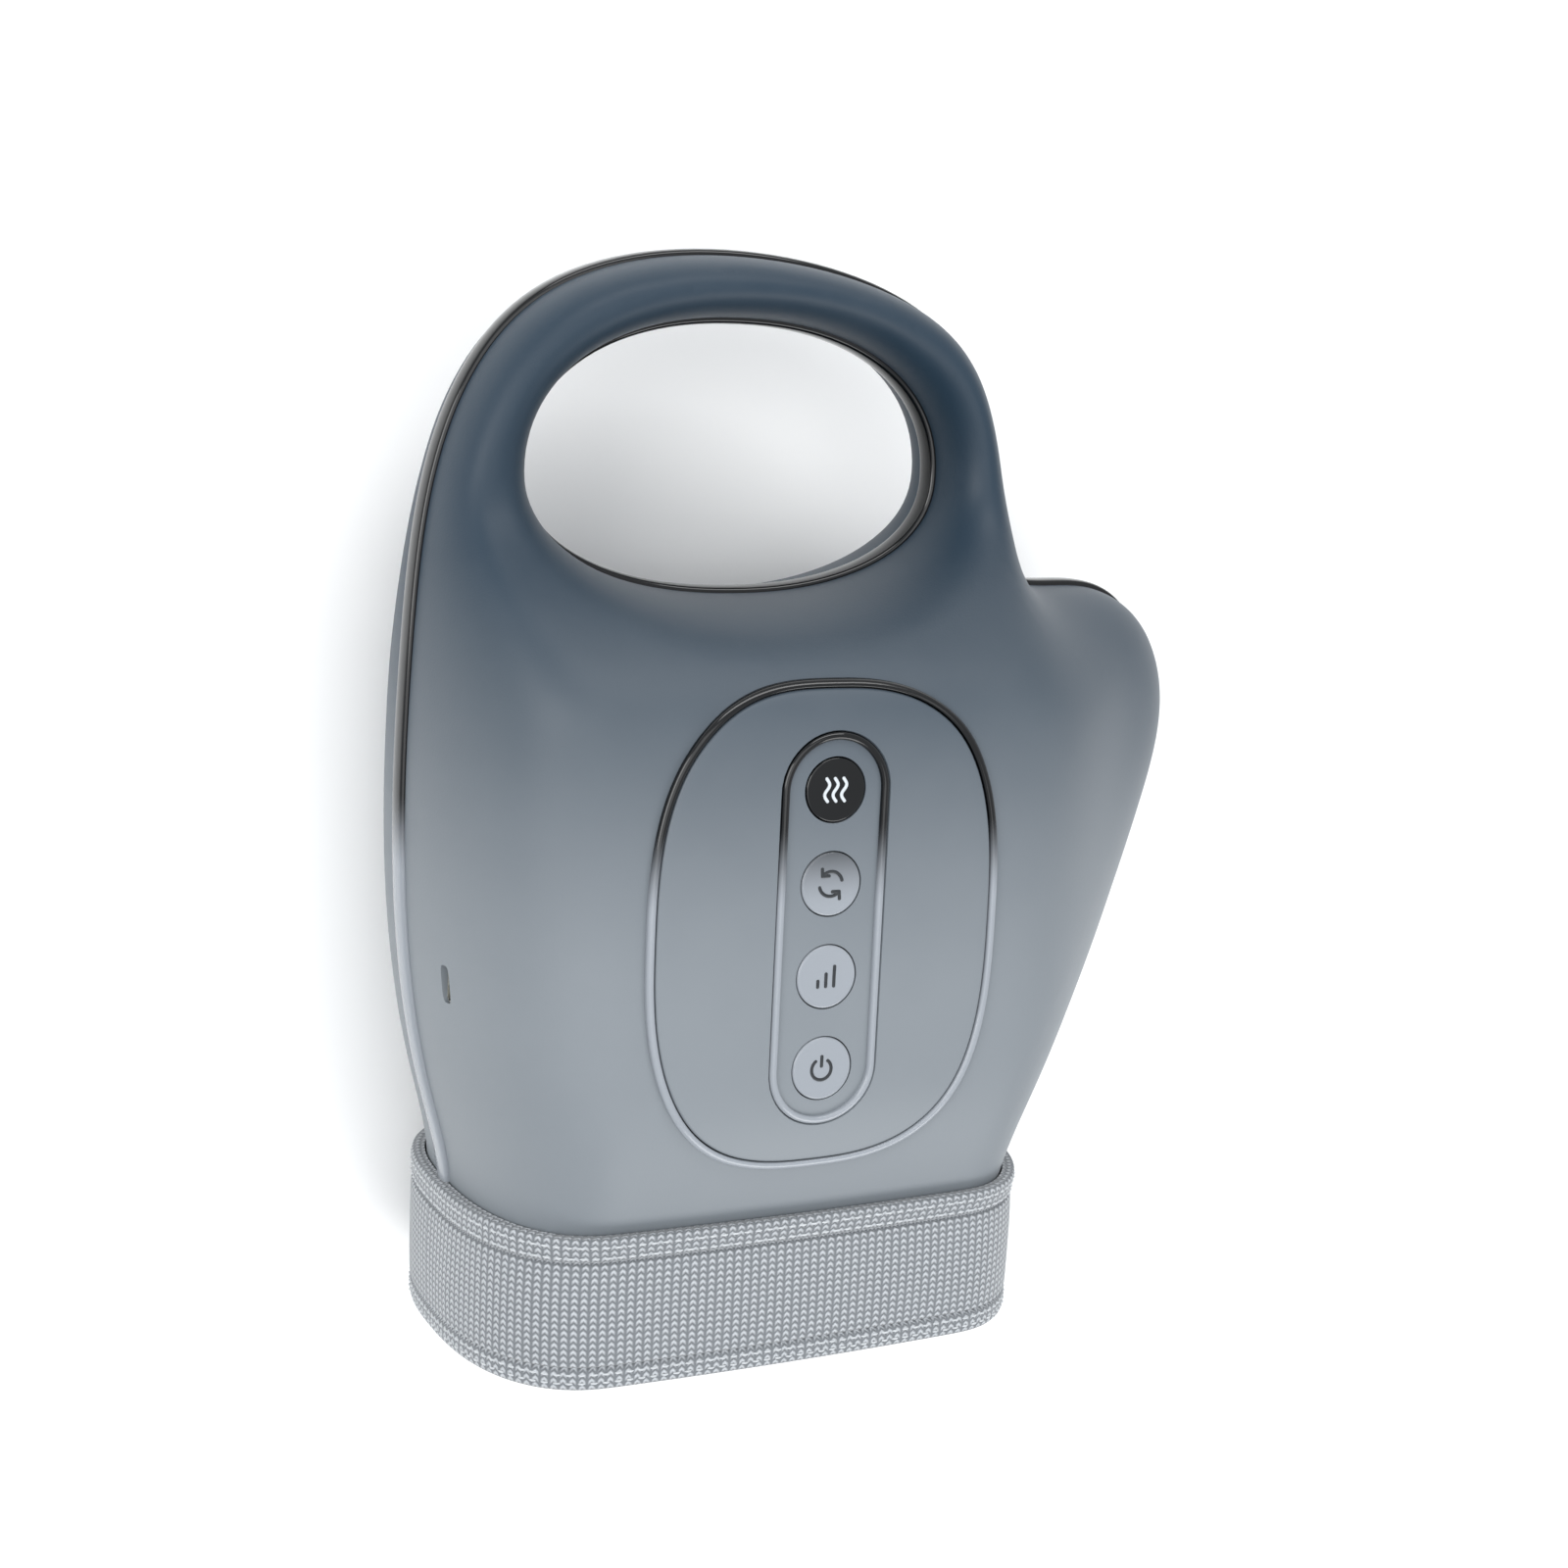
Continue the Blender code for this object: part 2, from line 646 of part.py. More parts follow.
def roll_over(share):
    """How a flank turns into the top: 0 at the edge and 1 from the roll's radius inwards."""
    share = np.clip(share, 0, 1)
    return (1 - (1 - share) ** ROLL_POWER) ** (1 / ROLL_POWER)


def roll_radius(points):
    """The outer edge's roll: large on the palm, smaller on the neck, the thumb's side and the handle."""
    x, y = points[:, 0], points[:, 1]
    half_length, half_width = BODY_LENGTH / 2, BODY_WIDTH / 2
    radius = PALM_ROLL + (NECK_ROLL - PALM_ROLL) * between(-y, NECK_START_SHARE, -MOUTH_SHARE, half_length)
    radius = radius + (THUMB_ROLL - radius) * between(x, THUMB_START_SHARE, 1, half_width)
    start = HANDLE_START_SHARE
    return radius + (HANDLE_ROLL - radius) * between(y, start, start + ROLL_SPAN_SHARE, half_length)


def opening_roll_radius(points):
    """The roll of the handle opening's edge, which tightens on the handle's bar."""
    start = (OPENING_BOTTOM + OPENING_WIDEST) / 2
    share = ease((points[:, 1] - start) / (BODY_LENGTH / 2 - start))
    return OPENING_ROLL + (HANDLE_ROLL - OPENING_ROLL) * share


def skin_height(points, upper, inset=0.0):
    """The height of the upper or lower shell's skin at flat points, or of its lining, inset by the wall."""
    x, y = points[:, 0], points[:, 1]
    half_length, half_width = BODY_LENGTH / 2, BODY_WIDTH / 2
    handle = between(y, HANDLE_START_SHARE, HANDLE_END_SHARE, half_length)
    if upper:
        rise = PALM_RISE + (HANDLE_RISE - PALM_RISE) * handle
        rise = rise - WRIST_DROP * between(-y, WRIST_START_SHARE, WRIST_END_SHARE, half_length)
        crown = CROWN_SHARE * ((x - ISLAND_CENTRE[0]) / half_width) ** 2
        rise = rise * (1 - THUMB_DROP_SHARE * between(x, THUMB_START_SHARE, 1, half_width) - crown)
    else:
        rise = PARTING_HEIGHT - FLOOR_HEIGHT
        rise = rise + (HANDLE_RISE - rise) * handle
        rise = rise - WRIST_LIFT * between(-y, LIFT_START_SHARE, WRIST_END_SHARE, half_length)
    outer = np.clip(distance_to(SHELL_LINE, points) - inset, 0, None)
    opening = np.clip(distance_to(SHELL_OPENING_LINE, points) - inset, 0, None)
    rolled = roll_over(outer / roll_radius(points)) * roll_over(opening / opening_roll_radius(points))
    return PARTING_HEIGHT + (1 if upper else -1) * np.maximum((rise - inset) * rolled, SEAM_GAP)


def top_height(points):
    """The height of the upper shell's skin at flat points."""
    return skin_height(np.atleast_2d(points), upper=True)


def roll_rings(edge, radii, inwards, angles, fence, taken):
    """Loops of points beside an edge, where its roll has turned through each angle, and the runs between
    neighbours on a loop. None goes past the middle of a bar, and one that crowds another point is dropped."""
    points, runs = [], []
    middle = np.maximum.reduce([distance_to(line, edge) for line in fence]) / 2
    for angle in angles:
        share = 1 - math.cos(math.radians(angle)) ** (2 / ROLL_POWER)
        depths = np.minimum(share * radii, middle)
        ring = offset(edge, -inwards * depths)
        near = np.minimum.reduce([distance_to(line, ring) for line in fence])
        kept = {}
        for i, point in enumerate(ring):
            others = [ring[j] for j in kept] + (list(taken) if angle > CONSTRAINED_ANGLE else [])
            crowded = any(math.dist(point, other) < RING_PITCH for other in others)
            if near[i] > FENCE_SHARE * depths[i] and not crowded:
                kept[i] = len(points)
                points.append(point)
        if angle <= CONSTRAINED_ANGLE:
            count = len(ring)
            runs += [(kept[i], kept[(i + 1) % count]) for i in kept if (i + 1) % count in kept]
    return points, runs


def turns_left(start, end, points):
    """On which side of a line from start to end each point lies: above zero on the left."""
    run = end - start
    return run[0] * (points[:, 1] - start[1]) - run[1] * (points[:, 0] - start[0])


def uncrossed(points, runs, edges):
    """The runs that cross no edge and no earlier run, so that all of them can be sides of triangles."""
    kept = list(edges)
    for run in runs:
        apart = [other for other in kept if not set(run) & set(other)]
        starts, ends = points[[a for a, _ in apart]], points[[b for _, b in apart]]
        start, end = points[run[0]], points[run[1]]
        astride = turns_left(start, end, starts) * turns_left(start, end, ends) < 0
        crossed = [
            np.prod(turns_left(a, b, np.array([start, end]))) < 0
            for a, b in zip(starts[astride], ends[astride])
        ]
        if not any(crossed):
            kept.append(run)
    return kept


def skin_points(outer, opening, angles, pitch):
    """The points of one skin, and the runs that its triangles keep: its two edges, the loops where they roll
    over, and a grid between them."""
    fence = (outer, opening)
    rings, runs = roll_rings(outer, roll_radius(outer), 1, angles, fence, ())
    more, more_runs = roll_rings(opening, opening_roll_radius(opening), -1, angles, fence, rings)
    runs += [(len(rings) + a, len(rings) + b) for a, b in more_runs]
    rings += more
    columns = np.arange(-BODY_WIDTH / 2, BODY_WIDTH / 2, pitch)
    rows = np.arange(-BODY_LENGTH, BODY_LENGTH / 2, pitch)
    grid = np.array([(x, y) for y in rows for x in columns])
    grid = grid[inside(outer, grid) & ~inside(opening, grid)]
    grid = grid[np.minimum(distance_to(outer, grid), distance_to(opening, grid)) > pitch / 2]
    taken = np.array(rings)
    grid = [point for point in grid if np.linalg.norm(taken - point, axis=1).min() > pitch / 2]
    base = len(outer) + len(opening)
    edges = []
    for start, count in ((0, len(outer)), (len(outer), len(opening))):
        edges += [(start + i, start + (i + 1) % count) for i in range(count)]
    points = np.concatenate([outer, opening, rings, grid])
    return points, uncrossed(points, [(base + a, base + b) for a, b in runs], edges)


def skin_faces(points, runs, outer, opening):
    """Triangles over the points, between the outer edge and the opening's edge."""
    made = delaunay_2d_cdt([Vector(point) for point in points], runs, [], 0, SAME_POINT, True)
    corners, faces, origins = made[0], made[2], made[3]
    middles = np.array([np.mean([corners[i][:2] for i in face], axis=0) for face in faces])
    keep = inside(outer, middles) & ~inside(opening, middles)
    return [[origins[i][0] for i in face] for face, kept in zip(faces, keep) if kept]


def casing_shell(name, upper):
    """A shell half: outer skin, lining and the flat rim that joins them at the parting line."""
    lining_edge = offset(SHELL_LINE, -WALL)
    lining_opening = offset(SHELL_OPENING_LINE, WALL)
    skin, skin_runs = skin_points(SHELL_LINE, SHELL_OPENING_LINE, SKIN_ANGLES, SKIN_PITCH)
    pitch = SKIN_PITCH * LINING_PITCH_SHARE
    lining, lining_runs = skin_points(lining_edge, lining_opening, LINING_ANGLES, pitch)
    skin_z = skin_height(skin, upper)
    lining_z = skin_height(lining, upper, WALL)
    rims = len(SHELL_LINE) + len(SHELL_OPENING_LINE)
    rim_height = PARTING_HEIGHT + (SEAM_GAP if upper else -SEAM_GAP)
    skin_z[:rims] = rim_height
    lining_z[:rims] = rim_height
    faces = skin_faces(skin, skin_runs, SHELL_LINE, SHELL_OPENING_LINE)
    under = skin_faces(lining, lining_runs, lining_edge, lining_opening)
    base = len(skin)
    faces += [[base + i for i in reversed(face)] for face in under]
    for start, count in ((0, len(SHELL_LINE)), (len(SHELL_LINE), len(SHELL_OPENING_LINE))):
        for i in range(count):
            a, b = start + i, start + (i + 1) % count
            faces.append([a, b, base + b, base + a])
    points = np.concatenate([np.column_stack([skin, skin_z]), np.column_stack([lining, lining_z])])
    return add_object(name, mesh_from_faces(name, points, faces), "soft_touch_plastic")


def clipped(loop, low, high):
    """The part of an outline between two values of y."""
    for limit, side in ((low, 1), (high, -1)):
        kept = []
        for here, there in zip(loop, np.roll(loop, -1, 0)):
            if side * (here[1] - limit) >= 0:
                kept.append(here)
            if (here[1] - limit) * (there[1] - limit) < 0:
                kept.append(here + (there - here) * (limit - here[1]) / (there[1] - here[1]))
        loop = np.array(kept)
    return loop


def footprint(centre, radius):
    """Points round a circle, for the highest or lowest skin over it."""
    turn = np.arange(ROUND_SIDES) * 2 * math.pi / ROUND_SIDES
    return np.column_stack([np.cos(turn), np.sin(turn)]) * radius + centre


def root_in_shell(centre, radius, upper):
    """Where a post that stands on a shell's inside ends: half way into the wall."""
    heights = skin_height(footprint(centre, radius), upper)
    return heights.min() - WALL / 2 if upper else heights.max() + WALL / 2


# The casing's own pieces


def mouth_cutter(name, limit):
    """A block over everything on the wrist's side of one value of y."""
    reach = 2 * BODY_LENGTH
    return box(name, (-reach, -reach, -reach), (reach, limit, reach))


def screw_bosses(upper):
    """The posts that the casing's screws pass through or bite into, and the holes in them."""
    seam = CLEARANCE / 2
    posts, holes = [], []
    for k, shares in enumerate(SCREW_SHARES):
        x, y = place(shares)
        root = root_in_shell((x, y), BOSS_OUTER, upper)
        start = PARTING_HEIGHT + (seam if upper else -seam)
        posts.append(rod(f"boss_{k}", (x, y, 0), BOSS_OUTER, min(start, root), max(start, root)))
        hole = SCREW_RADIUS + CLEARANCE
        roof = PARTING_HEIGHT - WELL_ROOF
        if upper:
            profile = ((hole, start - OVERRUN), (hole, PARTING_HEIGHT + SCREW_ENGAGEMENT + SCREW_TIP_GAP))
        else:
            profile = ((WELL_RADIUS, -OVERRUN), (WELL_RADIUS, roof), (hole, roof), (hole, start + OVERRUN))
        holes.append(turned(f"hole_{k}", profile, (x, y, 0), sides=SCREW_SIDES))
    side = "upper" if upper else "lower"
    return merged(f"{side}_bosses", posts), merged(f"{side}_holes", holes)


def frame_posts(upper):
    """The posts that carry a frame, each with a peg through it."""
    posts = []
    for k, shares in enumerate(POST_SHARES):
        centre = place(shares)
        root = root_in_shell(centre, POST_RADIUS, upper)
        seat = UPPER_FRAME_TOP + CLEARANCE if upper else LOWER_FRAME_BASE - CLEARANCE
        tip = UPPER_FRAME_BASE + CLEARANCE if upper else LOWER_FRAME_TOP - CLEARANCE
        profile = ((POST_RADIUS, root), (POST_RADIUS, seat), (PEG_RADIUS, seat), (PEG_RADIUS, tip))
        posts.append(turned(f"post_{k}", profile, (*centre, 0), sides=SCREW_SIDES))
    return merged("upper_posts" if upper else "lower_posts", posts)


def socket_flank():
    """Where the casing's flank away from the thumb reaches the charging socket's height."""
    y = SOCKET_SHARE * BODY_LENGTH / 2
    z = BAY_FLOOR + SOCKET_BOARD_THICKNESS + SOCKET_HEIGHT / 2
    left, right = width_at(SHELL_LINE, y)
    x = np.linspace(left, (left + right) / 2, FLANK_STEPS)
    heights = top_height(np.column_stack([x, np.full(FLANK_STEPS, y)]))
    return np.interp(z, np.maximum.accumulate(heights), x), y, z


def socket_place():
    """The front centre of the charging socket, set back in the flank."""
    x, y, z = socket_flank()
    return x + SOCKET_SETBACK, y, z


def socket_line(distance):
    """The socket's outline across its mouth, moved outwards by a distance."""
    _, y, z = socket_place()
    half_width, half_height = SOCKET_WIDTH / 2 + distance, SOCKET_HEIGHT / 2 + distance
    return rounded_rectangle((y, z), half_width, half_height, SOCKET_CORNER + distance, 4)


def island_cut_floor():
    """A height that lies under the lining everywhere below the island."""
    return over_skin(island_line(ISLAND_FLANGE + CLEARANCE), -WALL)[:, 2].min() - ISLAND_CUT_DEPTH


def island_ledge():
    """The space under the shell's edge that the island's flange seats in, round the island's window."""
    rim, middle = island_line(ISLAND_FLANGE + CLEARANCE), island_line(0)
    low = island_cut_floor()
    rings = [raised(rim, low), over_skin(rim, -WALL), over_skin(middle, -WALL), raised(middle, low)]
    return loft("island_ledge", rings, wrap=True)


def upper_shell():
    shell = casing_shell("upper_shell", upper=True)
    bosses, holes = screw_bosses(upper=True)
    join(shell, bosses, frame_posts(upper=True))
    edge = island_line(ISLAND_LINE / 2 + CLEARANCE)
    window = prism("island_window", edge, island_cut_floor(), CREST + OVERRUN)
    x = socket_place()[0]
    slot = bar("socket_slot", socket_line(CLEARANCE), x - 2 * OVERRUN, x + 2 * OVERRUN, "x")
    cut(shell, island_ledge(), window, holes, slot, mouth_cutter("upper_mouth", MOUTH_Y))


def lower_shell():
    shell = casing_shell("lower_shell", upper=False)
    bosses, holes = screw_bosses(upper=False)
    join(shell, bosses, frame_posts(upper=False))
    cut(shell, holes, mouth_cutter("lower_mouth", MOUTH_Y))


def trim(name, line, outwards):
    """A gloss strip on the parting line, proud of the shells, with a tongue that they clamp."""
    back = TRIM_PROUD - CLEARANCE
    root = TRIM_PROUD + TONGUE_DEPTH
    half, tongue = TRIM_HEIGHT / 2, TONGUE_THICKNESS / 2
    profile = (
        (back, -half), (TRIM_CROWN, -half), (0, 0), (TRIM_CROWN, half), (back, half),
        (back, tongue), (root, tongue), (root, -tongue), (back, -tongue),
    )
    rings = [raised(offset(line, -outwards * depth), PARTING_HEIGHT + height) for depth, height in profile]
    return loft(name, rings, wrap=True, finish="gloss_black")


def neck_section(y, distance, inset=0.0):
    """The neck's outline across the hand, as x and z, moved outwards. An inset gives its lining."""
    left, right = width_at(SHELL_LINE, y)
    radius = roll_radius(np.array([[left, y]]))[0]
    angles = np.radians((0, *(LINING_ANGLES if inset else SKIN_ANGLES)))
    reach = radius * (1 - np.cos(angles) ** (2 / ROLL_POWER))
    left, right = left + inset + reach, right - inset - reach
    x = np.concatenate([left, np.linspace(left[-1], right[-1], NECK_TOP_POINTS)[1:-1], right[::-1]])
    points = np.column_stack([x, np.full(len(x), y)])
    below = np.column_stack([x, skin_height(points, False, inset)])
    above = np.column_stack([x, skin_height(points, True, inset)])[::-1]
    return offset(np.concatenate([below, above]), distance)


def mouth_frame():
    """The frame that fills the casing's mouth round the hand's way in."""
    middle = MOUTH_Y + MOUTH_FRAME_THICKNESS / 2
    start, end = MOUTH_Y, MOUTH_Y + MOUTH_FRAME_THICKNESS
    rim = neck_section(start, -MOUTH_FRAME_GAP, WALL)
    plate = bar("mouth_frame", rim, start, end, finish="inner_black")
    left, right = width_at(POCKET_LINE, middle)
    centre = ((left + right) / 2, (CAVITY_BASE + CAVITY_TOP) / 2)
    half_width = (right - left) / 2 - LINER_WALL
    way_in = rounded_rectangle(centre, half_width, CAVITY_HEIGHT / 2, MOUTH_CORNER)
    cut(plate, bar("way_in", way_in, start - OVERRUN, end + OVERRUN))


def cuff():
    """The knitted wrist cuff: a sleeve over the neck, with a hem at each end."""
    inner, outer = CUFF_FIT, CUFF_FIT + CUFF_THICKNESS
    top, end = CUFF_TOP_Y, CUFF_TOP_Y - CUFF_LENGTH
    seam = outer - CUFF_SEAM
    profile = (
        (top, inner), (top, outer - CUFF_EDGE), (top - CUFF_EDGE, outer),
        (top - TOP_HEM + CUFF_EDGE, outer), (top - TOP_HEM, seam), (top - TOP_HEM - CUFF_EDGE, outer),
        ((top + end) / 2, outer - CUFF_WAIST), (end + BOTTOM_HEM + CUFF_EDGE, outer),
        (end + BOTTOM_HEM, seam), (end + BOTTOM_HEM - CUFF_EDGE, outer), (end + CUFF_EDGE, outer),
        (end, outer - CUFF_EDGE), (end, inner + CUFF_EDGE), (MOUTH_Y, inner),
    )
    rings = []
    for y, distance in profile:
        section = neck_section(max(y, MOUTH_Y), distance)
        rings.append(np.column_stack([section[:, 0], np.full(len(section), y), section[:, 1]]))
    loft("cuff", rings, wrap=True, finish="knit_fabric")


def feet():
    for name, shares in zip(("front_left", "front_right", "back_left", "back_right"), FOOT_SHARES):
        top = FLOOR_HEIGHT - CLEARANCE
        profile = (
            (0, 0), (FOOT_RADIUS - FOOT_EDGE, 0), (FOOT_RADIUS, FOOT_EDGE), (FOOT_RADIUS, top), (0, top),
        )
        turned(f"{name}_foot", profile, (*place(shares), 0), finish="black_rubber")


def casing_screws():
    under_head = PARTING_HEIGHT - WELL_ROOF - CLEARANCE
    start, tip = under_head - SCREW_HEAD_HEIGHT, PARTING_HEIGHT + SCREW_ENGAGEMENT
    profile = (
        (0, start), (SCREW_HEAD_RADIUS, start), (SCREW_HEAD_RADIUS, under_head),
        (SCREW_RADIUS, under_head), (SCREW_RADIUS, tip), (0, tip),
    )
    for name, shares in zip(("handle", "finger", "thumb", "heel", "wrist"), SCREW_SHARES):
        turned(f"{name}_screw", profile, (*place(shares), 0), sides=SCREW_SIDES, finish="steel")


# The control island


def board_boss_places():
    """Where the key board is screwed down, at two corners that face each other."""
    corner = np.array([BOARD_WIDTH, BOARD_LENGTH]) / 2 - BOARD_BOSS_INSET
    return ISLAND_CENTRE + corner, ISLAND_CENTRE - corner


def over_skin(loop, lift):
    """A loop that follows the palm's skin, lifted by a distance."""
    return np.column_stack([loop, top_height(loop) + lift])


def island_panel():
    """The raised panel that carries the keys. A flange under the shell's edge holds it."""
    gap = ISLAND_LINE / 2 + CLEARANCE
    wall = gap + ISLAND_SKIRT
    edge = island_line(-gap - ISLAND_EDGE)
    steps = [ISLAND_CENTRE + (edge - ISLAND_CENTRE) * share for share in ISLAND_RING_SHARES]
    middle = ISLAND_CENTRE[None]
    under = ISLAND_LIFT - ISLAND_THICKNESS
    floor = -LEDGE - ISLAND_FLANGE_THICKNESS
    rings = [over_skin(loop, ISLAND_LIFT) for loop in (middle, *steps, edge)]
    rings += [over_skin(island_line(-gap), ISLAND_LIFT - ISLAND_EDGE), over_skin(island_line(-gap), -LEDGE)]
    rings += [over_skin(island_line(ISLAND_FLANGE), lift) for lift in (-LEDGE, floor)]
    rings += [over_skin(island_line(-wall), lift) for lift in (floor, under)]
    rings += [over_skin(loop, under) for loop in (*reversed(steps), middle)]
    panel = loft("island_panel", rings, finish="satin_plastic")
    posts, pilots = [], []
    for k, centre in enumerate(board_boss_places()):
        root = top_height(footprint(centre, BOARD_BOSS_RADIUS)).min() + ISLAND_LIFT - ISLAND_THICKNESS / 2
        base = BOARD_TOP + CLEARANCE
        posts.append(rod(f"board_boss_{k}", (*centre, 0), BOARD_BOSS_RADIUS, base, root, sides=SCREW_SIDES))
        hole = BOARD_SCREW_RADIUS + CLEARANCE
        tip = BOARD_TOP - BOARD_THICKNESS + BOARD_SCREW_LENGTH + CLEARANCE
        pilots.append(rod(f"board_pilot_{k}", (*centre, 0), hole, base - OVERRUN, tip, sides=SCREW_SIDES))
    join(panel, merged("board_bosses", posts))
    window = prism("strip_window", strip_line(CLEARANCE), STRIP_BASE - OVERRUN, CREST + OVERRUN)
    cut(panel, merged("board_pilots", pilots), window)


def island_ring():
    """The gloss line round the island, seated on the panel's flange."""
    half, edge = ISLAND_LINE / 2, ISLAND_LINE_EDGE
    base, top = CLEARANCE - LEDGE, ISLAND_LINE_LIFT
    profile = (
        (-half, base), (-half, top - edge), (edge - half, top),
        (half - edge, top), (half, top - edge), (half, base),
    )
    rings = [over_skin(island_line(distance), lift) for distance, lift in profile]
    loft("island_ring", rings, wrap=True, finish="gloss_black")


def key_places():
    """The name and the centre of each key, from the handle's end to the wrist's."""
    middle = (len(KEY_NAMES) - 1) / 2
    return [(name, ISLAND_CENTRE + (0, (middle - k) * KEY_PITCH)) for k, name in enumerate(KEY_NAMES)]


def key_bezel():
    """The gloss strip that the keys move in, with a raised line round it and a flange under the panel."""
    seat = ISLAND_LIFT - ISLAND_THICKNESS - 2 * CLEARANCE
    rings = [over_skin(strip_line(-STRIP_LINE), lift) for lift in (STRIP_FACE_LIFT, STRIP_LINE_LIFT)]
    rings += [over_skin(strip_line(0), lift) for lift in (STRIP_LINE_LIFT, seat)]
    rings += [over_skin(strip_line(STRIP_FLANGE), seat), raised(strip_line(STRIP_FLANGE), STRIP_BASE)]
    bezel = loft("key_bezel", rings, finish="gloss_black")
    holes = []
    radius = KEY_RADIUS + CLEARANCE
    low, high = STRIP_BASE - OVERRUN, CREST + OVERRUN
    for name, centre in key_places():
        holes.append(rod(f"{name}_hole", (*centre, 0), radius, low, high, sides=KEY_SIDES))
    cut(bezel, merged("key_holes", holes))


def keys():
    """The four keys: a dished cap, a flange that stops it under the strip, and a stem into its switch."""
    for name, centre in key_places():
        top = top_height(centre)[0] + KEY_LIFT
        flange = STRIP_BASE - CLEARANCE
        under = flange - KEY_FLANGE_THICKNESS
        tip = BOARD_TOP + CLEARANCE + SWITCH_HEIGHT - STEM_IN_SWITCH
        wide = KEY_RADIUS + KEY_FLANGE
        bowl = top - KEY_DISH * (1 - KEY_DISH_SHARE**2)
        profile = (
            (0, top - KEY_DISH), (KEY_RADIUS * KEY_DISH_SHARE, bowl), (KEY_RADIUS - KEY_EDGE, top),
            (KEY_RADIUS, top - KEY_EDGE), (KEY_RADIUS, flange), (wide, flange), (wide, under),
            (KEY_STEM_RADIUS, under), (KEY_STEM_RADIUS, tip), (0, tip),
        )
        piece = turned(f"{name}_key", profile, (*centre, 0), sides=KEY_SIDES, finish="gloss_black")
        with_pivot(piece, (*centre, top))


def key_board():
    """The circuit board under the island, its two screws and a switch under each key."""
    base = BOARD_TOP - BOARD_THICKNESS
    half = np.array([BOARD_WIDTH, BOARD_LENGTH]) / 2
    low, high = ISLAND_CENTRE - half, ISLAND_CENTRE + half
    board = box("key_board", (*low, base), (*high, BOARD_TOP), "board_green")
    holes = []
    under = base - CLEARANCE
    start = under - BOARD_SCREW_HEAD_HEIGHT
    tip = base + BOARD_SCREW_LENGTH
    profile = (
        (0, start), (BOARD_SCREW_HEAD, start), (BOARD_SCREW_HEAD, under),
        (BOARD_SCREW_RADIUS, under), (BOARD_SCREW_RADIUS, tip), (0, tip),
    )
    hole = BOARD_SCREW_RADIUS + CLEARANCE
    ends = (base - OVERRUN, BOARD_TOP + OVERRUN)
    for k, place_of_boss in enumerate(board_boss_places()):
        centre = (*place_of_boss, 0)
        holes.append(rod(f"board_hole_{k}", centre, hole, *ends, sides=SCREW_SIDES))
        turned(f"board_screw_{k + 1}", profile, centre, sides=SCREW_SIDES, finish="steel")
    cut(board, merged("board_holes", holes))
    for name, centre in key_places():
        low = BOARD_TOP + CLEARANCE
        top = low + SWITCH_HEIGHT
        side = SWITCH_SIDE / 2
        x, y = centre
        switch = box(f"{name}_switch", (x - side, y - side, low), (x + side, y + side, top), "inner_black")
        bore = KEY_STEM_RADIUS + CLEARANCE
        depth = top - STEM_IN_SWITCH - KEY_TRAVEL - CLEARANCE
        cut(switch, rod(f"{name}_bore", (x, y, 0), bore, depth, top + OVERRUN, sides=SCREW_SIDES))


# The hand pocket


def pocket_plate(name, distance, back, base, top, finish, front=BODY_LENGTH):
    """A flat piece of the pocket's outline, moved outwards by a distance, from one value of y forwards."""
    return prism(name, clipped(offset(POCKET_LINE, distance), back, front), base, top, finish)


def peg_holes(name, low, high):
    holes = []
    for k, shares in enumerate(POST_SHARES):
        radius = PEG_RADIUS + CLEARANCE
        holes.append(rod(f"peg_{k}", (*place(shares), 0), radius, low, high, sides=SCREW_SIDES))
    return merged(name, holes)


def lower_frame():
    base, top = LOWER_FRAME_BASE, LOWER_FRAME_TOP
    frame = pocket_plate("lower_frame", -LOWER_FRAME_INSET, POCKET_BACK_Y, base, top, "inner_black")
    cut(frame, peg_holes("lower_pegs", base - OVERRUN, top + OVERRUN))


def pillow(name, loop, base, top, edge, finish=None):
    """A flat-topped cushion of one outline, with its edge rolled."""
    slope = edge / 3
    profile = ((edge, base), (slope, base + slope), (0, base + edge), (0, top - edge), (slope, top - slope))
    rings = [raised(offset(loop, -inset), height) for inset, height in (*profile, (edge, top))]
    return loft(name, rings, finish=finish)


def airbag(name, back, front, base, nipple_place=None):
    """A flat air bladder of part of the pocket's outline, with a nipple up into its hose."""
    loop = clipped(offset(POCKET_LINE, -BAG_INSET), back, front)
    top = base + BAG_THICKNESS
    bag = pillow(name, loop, base, top, BAG_EDGE, "bag_film")
    if nipple_place is not None:
        ends = (top - BAG_EDGE, top + BAG_NIPPLE_LENGTH)
        join(bag, rod(f"{name}_nipple", (*nipple_place, 0), NIPPLE_RADIUS, *ends, sides=HOSE_SIDES))
    return bag


def manifold_place():
    return place(MANIFOLD_SHARES)


def bag_nipple_places():
    """Where the upper bladders' nipples stand: one hose bend away from the manifold, before and behind it."""
    x, y = manifold_place()
    reach = MANIFOLD_DEPTH / 2 + NIPPLE_LENGTH + HOSE_BEND + 2 * CLEARANCE
    x += VALVE_PITCH / 2
    return {"finger": np.array([x, y + reach]), "palm": np.array([x, y - reach])}


